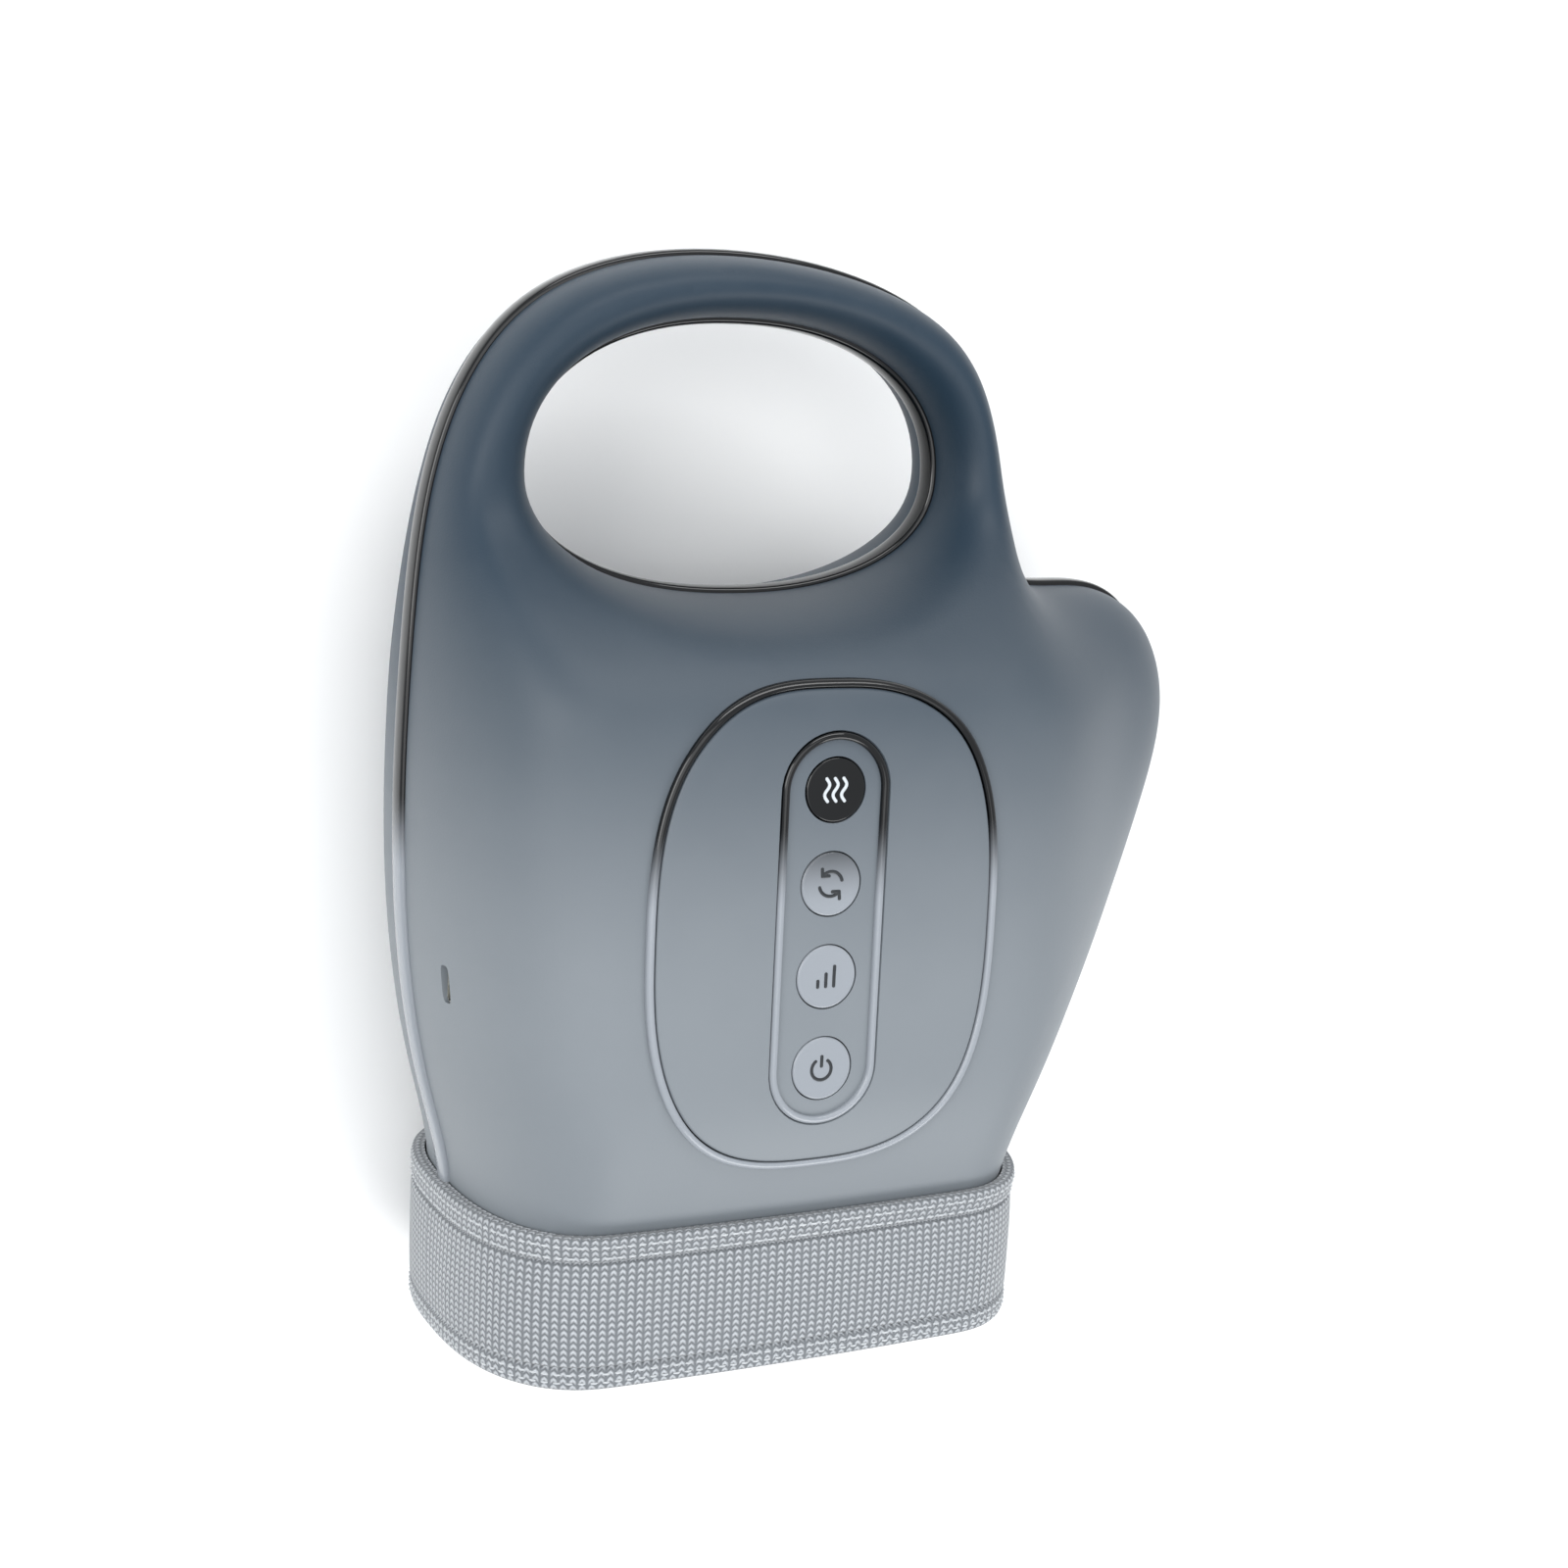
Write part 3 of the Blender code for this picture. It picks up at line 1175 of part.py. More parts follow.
def bladders():
    places = bag_nipple_places()
    split = BAG_SPLIT_SHARE * BODY_LENGTH / 2
    front, back = split + BAG_GAP / 2, split - BAG_GAP / 2
    airbag("upper_finger_airbag", front, BODY_LENGTH, UPPER_BAG_BASE, places["finger"])
    airbag("upper_palm_airbag", POCKET_BACK_Y, back, UPPER_BAG_BASE, places["palm"])
    bag = airbag("lower_palm_airbag", POCKET_BACK_Y, BODY_LENGTH, LOWER_BAG_BASE)
    x, y = place(LOWER_HOSE_SHARES)
    z = LOWER_BAG_BASE + BAG_THICKNESS / 2
    side = width_at(offset(POCKET_LINE, -BAG_INSET), y)[0]
    reach = NIPPLE_LENGTH + HOSE_RADIUS
    join(bag, rod("side_nipple", (side, y, z), NIPPLE_RADIUS, -reach, BAG_EDGE, "x", HOSE_SIDES))


def heating_pad():
    """The thin heater under the palm, between the lower bladder and the liner."""
    back = HEAT_PAD_BACK_SHARE * BODY_LENGTH / 2
    top = HEAT_PAD_BASE + HEAT_PAD_THICKNESS
    pocket_plate("heating_pad", -HEAT_PAD_INSET, back, HEAT_PAD_BASE, top, "heater_amber")


def hand_liner():
    """The fabric glove-bag that the hand goes into, open at the wrist."""
    bag = pillow("hand_liner", POCKET_LINE, LINER_BASE, LINER_TOP, LINER_CORNER, "lining_fabric")
    space = offset(POCKET_LINE, -LINER_WALL)
    hollow = pillow("liner_hollow", space, CAVITY_BASE, CAVITY_TOP, LINER_CORNER - LINER_WALL)
    start = MOUTH_Y + MOUTH_FRAME_THICKNESS + CLEARANCE
    cut(bag, hollow, mouth_cutter("liner_mouth", start))


# The bay over the hand: frame, pump, valves, battery and socket


def pump_place():
    """A point on the pump's axis, at the front of its motor's can."""
    return PUMP_SHARE * BODY_WIDTH / 2, manifold_place()[1] - PUMP_TO_MANIFOLD, CAN_AXIS_Z


def cell_places():
    x, y = place(BATTERY_SHARES)
    pitch = 2 * CELL_RADIUS + CLEARANCE
    first = x - pitch * (CELL_COUNT - 1) / 2
    return [(first + k * pitch, y, CELL_Z) for k in range(CELL_COUNT)]


def cradle_block(base):
    """The block that the motor's can lies in."""
    x, y, _ = pump_place()
    half = CAN_RADIUS + CRADLE_WALL
    end = y - (CAN_LENGTH - CRADLE_LENGTH) / 2
    return box("cradle", (x - half, end - CRADLE_LENGTH, base), (x + half, end, BAY_FLOOR + CRADLE_HEIGHT))


def tray_block(base):
    """The block that the battery's cells lie in."""
    x, y = place(BATTERY_SHARES)
    half_width = CELL_COUNT * (CELL_RADIUS + CLEARANCE) + TRAY_WALL
    half_length = CELL_LENGTH / 2 + CLEARANCE + TRAY_WALL
    top = BAY_FLOOR + TRAY_HEIGHT
    return box("tray", (x - half_width, y - half_length, base), (x + half_width, y + half_length, top))


def socket_tab(base, top):
    """The tongue of the frame that reaches out to the charging socket."""
    flank, y, _ = socket_flank()
    half = SOCKET_BOARD_WIDTH / 2
    edge = flank + WALL + SOCKET_TAB_GAP
    inner = width_at(offset(POCKET_LINE, UPPER_FRAME_MARGIN), y)[0] + OVERRUN
    return box("tab", (edge, y - half, base), (inner, y + half, top))


def upper_frame():
    """The bulkhead between the bladders and the works, with the motor's cradle, the battery's tray and the
    tab under the charging socket moulded on."""
    base, top = UPPER_FRAME_BASE, UPPER_FRAME_TOP
    frame = pocket_plate("upper_frame", UPPER_FRAME_MARGIN, POCKET_BACK_Y, base, top, "inner_black")
    middle = (base + top) / 2
    join(frame, merged("frame_blocks", [cradle_block(middle), tray_block(middle)]), socket_tab(base, top))
    hollows = [rod("can_hollow", pump_place(), CAN_RADIUS + CLEARANCE, -CAN_LENGTH, OVERRUN, "y")]
    for k, cell in enumerate(cell_places()):
        reach = CELL_LENGTH / 2 + CLEARANCE
        hollows.append(rod(f"cell_hollow_{k}", cell, CELL_RADIUS + CLEARANCE, -reach, reach, "y"))
    hole = NIPPLE_RADIUS + CLEARANCE
    for name, spot in bag_nipple_places().items():
        hollows.append(rod(f"{name}_way", (*spot, 0), hole, base - OVERRUN, top + OVERRUN, sides=HOSE_SIDES))
    cut(frame, *hollows, peg_holes("upper_pegs", base - OVERRUN, top + OVERRUN))


def motor():
    """The pump's motor: can, end cap, bush and rotor, on one axis along y."""
    axis = pump_place()
    bore = BUSH_RADIUS + CLEARANCE
    inner = CAN_RADIUS - CAN_WALL
    length = CAN_LENGTH
    can = (
        (CAN_RADIUS, -length), (CAN_RADIUS, 0), (bore, 0),
        (bore, -CAN_WALL), (inner, -CAN_WALL), (inner, -length),
    )
    turned("motor_can", can, axis, "y", wrap=True, finish="steel")
    rim = inner - CLEARANCE
    hole = SHAFT_RADIUS + CLEARANCE
    front = ENDCAP_LENGTH - length
    endcap = ((rim, -length), (rim, front), (hole, front), (hole, -length))
    turned("motor_endcap", endcap, axis, "y", wrap=True, finish="inner_black")
    bush = ((BUSH_RADIUS, -BUSH_LENGTH), (BUSH_RADIUS, 0), (hole, 0), (hole, -BUSH_LENGTH))
    turned("motor_bush", bush, axis, "y", SCREW_SIDES, wrap=True, finish="brass")
    back = -BUSH_LENGTH - CRANK_FACE
    ring = back - ARMATURE_LENGTH
    brushes = ring - COMMUTATOR_LENGTH
    tip = crank_start() + CRANK_LENGTH - CRANK_FACE - SHAFT_END_GAP
    rotor = (
        (0, -length + SHAFT_END_GAP), (SHAFT_RADIUS, -length + SHAFT_END_GAP), (SHAFT_RADIUS, brushes),
        (COMMUTATOR_RADIUS, brushes), (COMMUTATOR_RADIUS, ring), (ARMATURE_RADIUS, ring),
        (ARMATURE_RADIUS, back), (SHAFT_RADIUS, back), (SHAFT_RADIUS, tip), (0, tip),
    )
    with_pivot(turned("motor_rotor", rotor, axis, "y", finish="copper"), axis)


def crank_start():
    """How far in front of the motor's can the crank lies, behind the pump body's rear wall."""
    return PUMP_BODY_WALL + 2 * CLEARANCE


def crank():
    """The disc on the motor's shaft, with the off-centre pin that rocks the diaphragm."""
    axis = pump_place()
    start = crank_start()
    end = start + CRANK_LENGTH
    blind = end - CRANK_FACE
    bore = SHAFT_RADIUS + CLEARANCE
    profile = ((0, end), (CRANK_RADIUS, end), (CRANK_RADIUS, start), (bore, start), (bore, blind), (0, blind))
    piece = turned("pump_crank", profile, axis, "y", finish="natural_nylon")
    x, y, z = axis
    tip = rocker_start() + ROCKER_THICKNESS
    join(piece, rod("crank_pin", (x, y, z + CRANK_THROW), CRANK_PIN_RADIUS, blind, tip, "y", HOSE_SIDES))
    with_pivot(piece, axis)


def rocker_start():
    """How far in front of the motor's can the rocker lies."""
    return CLEARANCE + PUMP_BODY_LENGTH - DIAPHRAGM_CUP_DEPTH - ROCKER_THICKNESS


def pump_head():
    """The pump's body, rocker, diaphragm and cover, stacked in front of the motor."""
    axis = pump_place()
    x, y, z = axis
    line = rounded_rectangle((x, z), PUMP_SIDE / 2, PUMP_SIDE / 2, PUMP_CORNER, 3)
    start = y + CLEARANCE
    end = start + PUMP_BODY_LENGTH
    body = bar("pump_body", line, start, end, finish="inner_black")
    back = CLEARANCE + PUMP_BODY_WALL
    neck = BUSH_RADIUS + CLEARANCE
    front = PUMP_BODY_LENGTH + OVERRUN
    bore = ((neck, -OVERRUN), (neck, back), (PUMP_BORE, back), (PUMP_BORE, front))
    cut(body, turned("pump_bore", bore, axis, "y"))
    gap = CRANK_THROW + CRANK_PIN_RADIUS + ROCKER_PLAY
    low = rocker_start()
    high = low + ROCKER_THICKNESS - CLEARANCE
    rocker = ((ROCKER_RADIUS, low), (ROCKER_RADIUS, high), (gap, high), (gap, low))
    turned("pump_rocker", rocker, axis, "y", wrap=True, finish="natural_nylon")
    face = end + CLEARANCE
    sheet = bar("pump_diaphragm", line, face, face + DIAPHRAGM_THICKNESS, finish="silicone")
    cups = []
    ends = (-DIAPHRAGM_CUP_DEPTH, DIAPHRAGM_THICKNESS / 2)
    for k in range(DIAPHRAGM_CUPS):
        turn = math.pi / 2 + k * 2 * math.pi / DIAPHRAGM_CUPS
        across, up = DIAPHRAGM_CUP_PLACE * math.cos(turn), DIAPHRAGM_CUP_PLACE * math.sin(turn)
        centre = (x + across, face, z + up)
        cups.append(rod(f"cup_{k}", centre, DIAPHRAGM_CUP_RADIUS, *ends, "y", SCREW_SIDES))
    join(sheet, merged("cups", cups))
    start = face + DIAPHRAGM_THICKNESS + CLEARANCE
    end = start + PUMP_COVER_LENGTH
    cover = bar("pump_cover", line, start, end, finish="inner_black")
    join(cover, rod("pump_nipple", (x, end, HOSE_Z), NIPPLE_RADIUS, -OVERRUN, NIPPLE_LENGTH, "y", HOSE_SIDES))


def valve_places():
    x, y = manifold_place()
    return [(name, (x + side * VALVE_PITCH / 2, y, 0)) for name, side in zip(VALVE_NAMES, (-1, 1))]


def manifold():
    """The block that shares the pump's air out, with a port under each valve and a nipple for each hose."""
    x, y = manifold_place()
    half_width, half_depth = MANIFOLD_WIDTH / 2, MANIFOLD_DEPTH / 2
    low = (x - half_width, y - half_depth, BAY_FLOOR)
    high = (x + half_width, y + half_depth, MANIFOLD_TOP)
    block = box("air_manifold", low, high, "natural_nylon")
    inlet = rod("inlet", (low[0], y, HOSE_Z), NIPPLE_RADIUS, -NIPPLE_LENGTH, OVERRUN, "x", HOSE_SIDES)
    nipples = [inlet]
    for name, side, shift in (("finger", 1, 1), ("palm", -1, 1), ("lower", 1, -1)):
        centre = (x + shift * VALVE_PITCH / 2, y + side * half_depth, HOSE_Z)
        ends = sorted((side * NIPPLE_LENGTH, -side * OVERRUN))
        nipples.append(rod(f"{name}_nipple", centre, NIPPLE_RADIUS, *ends, "y", HOSE_SIDES))
    join(block, merged("manifold_nipples", nipples))
    ports = []
    radius = PLUNGER_RADIUS + CLEARANCE
    ends = (MANIFOLD_TOP - VALVE_STROKE - CLEARANCE, MANIFOLD_TOP + OVERRUN)
    for name, centre in valve_places():
        ports.append(rod(f"{name}_port", centre, radius, *ends, sides=SCREW_SIDES))
    cut(block, merged("manifold_ports", ports))


def swept(name, path, radius, sides, bore=0.0, finish=None):
    """A round tube or wire along a path of points, hollow if it has a bore."""
    path = np.asarray(path, float)
    run = np.gradient(path, axis=0)
    run /= np.linalg.norm(run, axis=1)[:, None]
    side = np.cross(run[0], SWEEP_START)
    turn = np.arange(sides) * 2 * math.pi / sides
    frames = []
    for direction in run:
        side = side - direction * side.dot(direction)
        side /= np.linalg.norm(side)
        frames.append(np.outer(np.cos(turn), side) + np.outer(np.sin(turn), np.cross(direction, side)))
    rings = [point + frame * radius for point, frame in zip(path, frames)]
    if bore:
        rings += [point + frame * bore for point, frame in reversed(list(zip(path, frames)))]
    return loft(name, rings, wrap=bool(bore), finish=finish)


def bent_path(corners, radius):
    """Straight runs between corners, with an arc at each."""
    corners = np.array(corners, float)
    path = [corners[0]]
    for before, corner, after in zip(corners, corners[1:], corners[2:]):
        back = (before - corner) / np.linalg.norm(before - corner)
        ahead = (after - corner) / np.linalg.norm(after - corner)
        centre = corner + (back + ahead) * radius
        for step in range(BEND_STEPS + 1):
            turn = step / BEND_STEPS * math.pi / 2
            path.append(centre - (ahead * math.cos(turn) + back * math.sin(turn)) * radius)
    path.append(corners[-1])
    return path


def hoses():
    """Silicone hoses from the pump to the manifold and from there to the bladders. Every corner is square."""
    def hose(name, corners):
        swept(name, bent_path(corners, HOSE_BEND), HOSE_RADIUS, HOSE_SIDES, HOSE_BORE, "silicone")

    x, y = manifold_place()
    half_depth = MANIFOLD_DEPTH / 2 + CLEARANCE
    left = x - MANIFOLD_WIDTH / 2 - CLEARANCE
    px, py, _ = pump_place()
    cover = py + 3 * CLEARANCE + PUMP_BODY_LENGTH + DIAPHRAGM_THICKNESS + PUMP_COVER_LENGTH + CLEARANCE
    hose("pump_hose", [(px, cover, HOSE_Z), (px, y, HOSE_Z), (left, y, HOSE_Z)])
    for name, side in (("finger", 1), ("palm", -1)):
        nx, ny = bag_nipple_places()[name]
        hose(f"{name}_hose", [(nx, y + side * half_depth, HOSE_Z), (nx, ny, HOSE_Z), (nx, ny, BAY_FLOOR)])
    lx, ly = place(LOWER_HOSE_SHARES)
    nx = x - VALVE_PITCH / 2
    z = LOWER_BAG_BASE + BAG_THICKNESS / 2
    side = width_at(offset(POCKET_LINE, -BAG_INSET), ly)[0] - HOSE_RADIUS
    corners = [(nx, y + half_depth, HOSE_Z), (nx, ly, HOSE_Z), (lx, ly, HOSE_Z), (lx, ly, z), (side, ly, z)]
    hose("lower_hose", corners)


def valves():
    """A solenoid valve over each of the manifold's ports: body, sprung plunger and spring."""
    half = VALVE_SIDE / 2
    bore = PLUNGER_RADIUS + CLEARANCE
    ends = (VALVE_BASE - OVERRUN, VALVE_TOP + OVERRUN)
    for name, centre in valve_places():
        x, y, _ = centre
        low, high = (x - half, y - half, VALVE_BASE), (x + half, y + half, VALVE_TOP)
        body = box(f"{name}_valve", low, high, "steel")
        cut(body, rod(f"{name}_valve_bore", centre, bore, *ends, sides=SCREW_SIDES))
        profile = (
            (0, MANIFOLD_TOP), (PLUNGER_RADIUS, MANIFOLD_TOP), (PLUNGER_RADIUS, PLUNGER_HEAD_BASE),
            (PLUNGER_HEAD_RADIUS, PLUNGER_HEAD_BASE), (PLUNGER_HEAD_RADIUS, PLUNGER_TOP), (0, PLUNGER_TOP),
        )
        plunger = turned(f"{name}_plunger", profile, centre, sides=SCREW_SIDES, finish="steel")
        with_pivot(plunger, (x, y, PLUNGER_TOP))
        steps = SPRING_TURNS * SPRING_POINTS
        turn = np.arange(steps + 1) * 2 * math.pi / SPRING_POINTS
        rise = (SPRING_LENGTH - 2 * SPRING_WIRE) * np.arange(steps + 1) / steps
        ring = np.column_stack([np.cos(turn), np.sin(turn)]) * SPRING_RADIUS + (x, y)
        helix = raised(ring, VALVE_TOP + CLEARANCE + SPRING_WIRE + rise)
        swept(f"{name}_valve_spring", helix, SPRING_WIRE, WIRE_SIDES, finish="steel")


def battery():
    for name, cell in zip(("inner", "outer"), cell_places()):
        reach = CELL_LENGTH / 2
        rod(f"{name}_battery_cell", cell, CELL_RADIUS, -reach, reach, "y", finish="cell_wrap")


def charge_socket():
    """The charging socket: a hollow shell with a tongue, soldered to its small board."""
    x, y, z = socket_place()
    end = x + SOCKET_DEPTH
    shell = bar("charge_socket", socket_line(0), x, end, "x", "steel")
    cut(shell, bar("socket_mouth", socket_line(-SOCKET_WALL), x - OVERRUN, end - SOCKET_WALL, "x"))
    half, thin = SOCKET_WIDTH / 4, SOCKET_TONGUE_THICKNESS / 2
    low, high = (x + 2 * SOCKET_WALL, y - half, z - thin), (end - SOCKET_WALL / 2, y + half, z + thin)
    tongue = box("socket_tongue", low, high)
    start = x + WALL + SOCKET_TAB_GAP - SOCKET_SETBACK + CLEARANCE
    half = SOCKET_BOARD_WIDTH / 2
    solder = BAY_FLOOR + SOCKET_BOARD_THICKNESS + CLEARANCE
    board = box("socket_board", (start, y - half, BAY_FLOOR), (start + SOCKET_BOARD_LENGTH, y + half, solder))
    join(shell, tongue, board)


def main():
    clear_scene()
    upper_shell()
    lower_shell()
    band = trim("seam_band", BODY_LINE, 1)
    cut(band, mouth_cutter("band_end", CUFF_TOP_Y + CLEARANCE))
    trim("handle_trim", OPENING_LINE, -1)
    mouth_frame()
    cuff()
    feet()
    casing_screws()
    island_panel()
    island_ring()
    key_bezel()
    keys()
    key_board()
    lower_frame()
    bladders()
    heating_pad()
    hand_liner()
    upper_frame()
    motor()
    crank()
    pump_head()
    manifold()
    valves()
    hoses()
    battery()
    charge_socket()


main()
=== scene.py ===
"""The hand massager's looks: a slate soft-touch casing with gloss lines, round keys and a knitted cuff.

Every length is in metres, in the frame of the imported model. +Z is up and +Y runs from the wrist to the handle.
"""

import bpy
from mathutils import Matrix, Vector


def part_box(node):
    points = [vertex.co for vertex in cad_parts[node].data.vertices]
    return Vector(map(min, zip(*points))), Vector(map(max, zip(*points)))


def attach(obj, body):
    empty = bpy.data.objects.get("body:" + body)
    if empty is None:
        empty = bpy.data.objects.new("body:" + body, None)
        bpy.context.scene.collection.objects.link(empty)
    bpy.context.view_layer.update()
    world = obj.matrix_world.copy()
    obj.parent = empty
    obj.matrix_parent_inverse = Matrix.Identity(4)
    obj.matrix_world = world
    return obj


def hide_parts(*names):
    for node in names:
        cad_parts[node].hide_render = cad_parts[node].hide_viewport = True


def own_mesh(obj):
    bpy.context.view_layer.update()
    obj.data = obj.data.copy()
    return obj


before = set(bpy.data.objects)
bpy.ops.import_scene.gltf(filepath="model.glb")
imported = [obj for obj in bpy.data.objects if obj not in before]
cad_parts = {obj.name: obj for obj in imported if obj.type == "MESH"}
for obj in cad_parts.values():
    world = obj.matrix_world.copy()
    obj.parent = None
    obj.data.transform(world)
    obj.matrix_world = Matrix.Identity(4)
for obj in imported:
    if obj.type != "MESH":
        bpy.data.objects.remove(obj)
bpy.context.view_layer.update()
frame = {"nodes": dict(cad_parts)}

import logging
from collections.abc import Callable
from dataclasses import dataclass, field
from enum import Enum
from functools import cached_property
from math import cos, dist, exp, pi, radians, sin

import bmesh
import bpy
import numpy as np
from mathutils import Matrix, Vector
from mathutils.geometry import delaunay_2d_cdt
from mathutils.kdtree import KDTree

Outputs = bpy.types.NodeOutputs
Socket = bpy.types.NodeSocket
Piece = bpy.types.Object
Pair = tuple[float, float]
Triple = tuple[float, float, float]
Array = np.ndarray
Points = Array  # one point to a row, in the plane or in space
Part = tuple[Points, list, list]  # points, faces, and each face corner's run on the surface

log = logging.getLogger("hand_massager")
MM = 0.001
EASED = {"interpolation_type": "SMOOTHSTEP"}
CUT_PITCH = 0.003  # how far apart the points are along a straight cut
CORNER_STEPS = 6  # points round a small rounded corner
END_STEPS = 5  # points round a panel's edge or a stroke's end


class Key(Enum):
    """The four keys, from the handle's end to the wrist's."""

    HEAT = "heat"
    MODE = "mode"
    INTENSITY = "intensity"
    POWER = "power"


class Half(Enum):
    """The two shells, with the direction that each one's skin faces."""

    UPPER = 1
    LOWER = -1


# Finishes


def srgb(code: str) -> tuple[float, float, float, float]:
    """Turn six hex digits of sRGB into linear red, green and blue, with an alpha of 1."""
    shares = [int(code[i : i + 2], 16) / 255 for i in (0, 2, 4)]
    return (*[s / 12.92 if s <= 0.04045 else ((s + 0.055) / 1.055) ** 2.4 for s in shares], 1.0)


def scale_of(size_mm: float) -> float:
    """The texture scale at which a pattern repeats at a real size in millimetres."""
    return 1 / (size_mm * MM)


@dataclass
class Graph:
    """The nodes of one material, which run from the piece's own coordinates to the surface shader."""

    tree: bpy.types.NodeTree

    @cached_property
    def shader(self) -> bpy.types.Node:
        """The surface shader."""
        return self.tree.nodes["Principled BSDF"]

    @cached_property
    def where(self) -> Outputs:
        """The piece's coordinates."""
        return self.add_node("TexCoord")

    def add_node(self, kind: str, inputs: dict[str | int, object] | None = None, **settings: object) -> Outputs:
        """Add a node with its settings, values and links.

        Args:
            kind: the node's type name, without what all shader nodes' names begin with.
            inputs: a value or a socket to link, by the input's name or number.
            settings: the node's own properties.

        Returns:
            The node's outputs.
        """
        node = self.tree.nodes.new(f"ShaderNode{kind}")
        for name, value in settings.items():
            setattr(node, name, value)
        for name, value in (inputs or {}).items():
            if isinstance(value, Socket):
                self.tree.links.new(value, node.inputs[name])
            else:
                node.inputs[name].default_value = value
        return node.outputs

    def drive(self, name: str, output: Socket) -> None:
        """Let an output set one of the shader's inputs all over the surface."""
        self.tree.links.new(output, self.shader.inputs[name])

    def run(self, start: float, end: float) -> Socket:
        """Ease from 0 to 1 between two places along the hand, as the casing's colour runs."""
        along = {"Value": self.add_node("SeparateXYZ", {0: self.where["Object"]})["Y"]}
        return self.add_node("MapRange", along | {"From Min": start, "From Max": end}, **EASED)[0]

    def relief(self, pattern: Socket, depth_mm: float) -> None:
        """Turn a pattern, from 0 to 1, into bumps of a real depth."""
        bump = self.add_node("Bump", {"Height": pattern, "Strength": 1.0, "Distance": depth_mm * MM})
        self.drive("Normal", bump[0])

    def tint(self, pattern: Socket, start: str, end: str) -> None:
        """Let a pattern, from 0 to 1, take the base colour from one hex value to another."""
        tone = self.add_node("Mix", {0: pattern, 6: srgb(start), 7: srgb(end)}, data_type="RGBA")
        self.drive("Base Color", tone[2])

    def roughen(self, pattern: Socket, low: float, high: float, span: Pair = (0.0, 1.0)) -> None:
        """Let a pattern move the roughness from low to high, as it crosses a span of values."""
        reach = {"Value": pattern, "From Min": span[0], "From Max": span[1], "To Min": low, "To Max": high}
        self.drive("Roughness", self.add_node("MapRange", reach)[0])


@dataclass(frozen=True)
class Finish:
    """A material: what it is, how it was made, and the values that it starts from."""

    name: str
    colour: str
    roughness: float
    metallic: float = 0.0
    ior: float = 1.5
    coat: float = 0.0
    sheen: float = 0.0

    def build(self) -> bpy.types.Material:
        """Make the material the first time, and find it again after that.

        Returns:
            The material.
        """
        made = bpy.data.materials.get(self.name)
        if made:
            return made
        made = bpy.data.materials.new(self.name)
        made.use_nodes = True
        made.diffuse_color = srgb(self.colour)
        graph = Graph(made.node_tree)
        values = {
            "Base Color": srgb(self.colour),
            "Roughness": self.roughness,
            "Metallic": self.metallic,
            "Coat Weight": self.coat,
            "Sheen Weight": self.sheen,
        }
        if not self.metallic:
            values["IOR"] = self.ior
        for name, value in values.items():
            graph.shader.inputs[name].default_value = value
        self.dress(graph)
        return made

    def dress(self, graph: Graph) -> None:
        """Add the pattern, colour variation and relief. Each finish has its own."""
        raise NotImplementedError

    def vary(self, graph: Graph, pattern: Socket, other: str, spread: float) -> None:
        """Let a pattern move the colour towards another one, and the roughness up and down by half a spread."""
        graph.tint(pattern, self.colour, other)
        graph.roughen(pattern, self.roughness - spread / 2, self.roughness + spread / 2)


@dataclass(frozen=True)
class Speckled(Finish):
    """Any moulded, printed or dipped part: a fine random grain with a slow change of tone."""

    other: str = "202020"
    spread: float = 0.12
    grain_mm: float = 0.4
    grain_detail: float = 2.0
    depth_mm: float = 0.02
    cloud_mm: float = 14.0
    cloud_detail: float = 5.0

    def patterns(self, graph: Graph) -> list[Socket]:
        """Draw the clouds and the grain, each from 0 to 1."""
        sizes = ((self.cloud_mm, self.cloud_detail), (self.grain_mm, self.grain_detail))
        noises = [(graph.where["Object"], scale_of(size), detail) for size, detail in sizes]
        return [graph.add_node("TexNoise", dict(zip(("Vector", "Scale", "Detail"), n)))[0] for n in noises]

    def dress(self, graph: Graph) -> None:
        """Add the slow change of tone and the grain.

        Args:
            graph: the material's nodes.
        """
        cloud, grain = self.patterns(graph)
        self.vary(graph, cloud, self.other, self.spread)
        graph.relief(grain, self.depth_mm)


@dataclass(frozen=True)
class SoftTouch(Speckled):
    """ABS, moulded and sprayed with a soft-touch coat.

    The coat scatters light like fine velvet, so edges look soft, and the tool's spark-eroded grain shows
    through it. The colour runs from a dark slate blue at the handle to a mid grey at the wrist; the paler
    wrist end is painted sheen.
    """

    # The wrist end's mid grey: painted sheen
    other: str = "747a7f"
    dark_from: float = 0.075
    pale_from: float = -0.050
    cloud_mm: float = 38.0
    cloud_detail: float = 4.0
    cloud_share: float = 0.16
    grain_mm: float = 0.55
    grain_detail: float = 3.0
    depth_mm: float = 0.035

    def dress(self, graph: Graph) -> None:
        """Add the run of colour, paler towards the wrist as painted sheen, faint clouds from spraying, and the
        grain.

        Args:
            graph: the material's nodes.
        """
        (cloud, grain), half = self.patterns(graph), self.spread / 2
        clouded = {0: cloud, 1: self.cloud_share, 2: graph.run(self.dark_from, self.pale_from)}
        evened = {0: graph.add_node("Math", clouded, operation="MULTIPLY_ADD")[0], 1: self.cloud_share / 2}
        tone = graph.add_node("Math", evened, operation="SUBTRACT", use_clamp=True)[0]
        # Painted sheen: paler towards the wrist
        graph.tint(tone, self.colour, self.other)
        graph.roughen(cloud, self.roughness - half, self.roughness + half)
        graph.relief(grain, self.depth_mm)


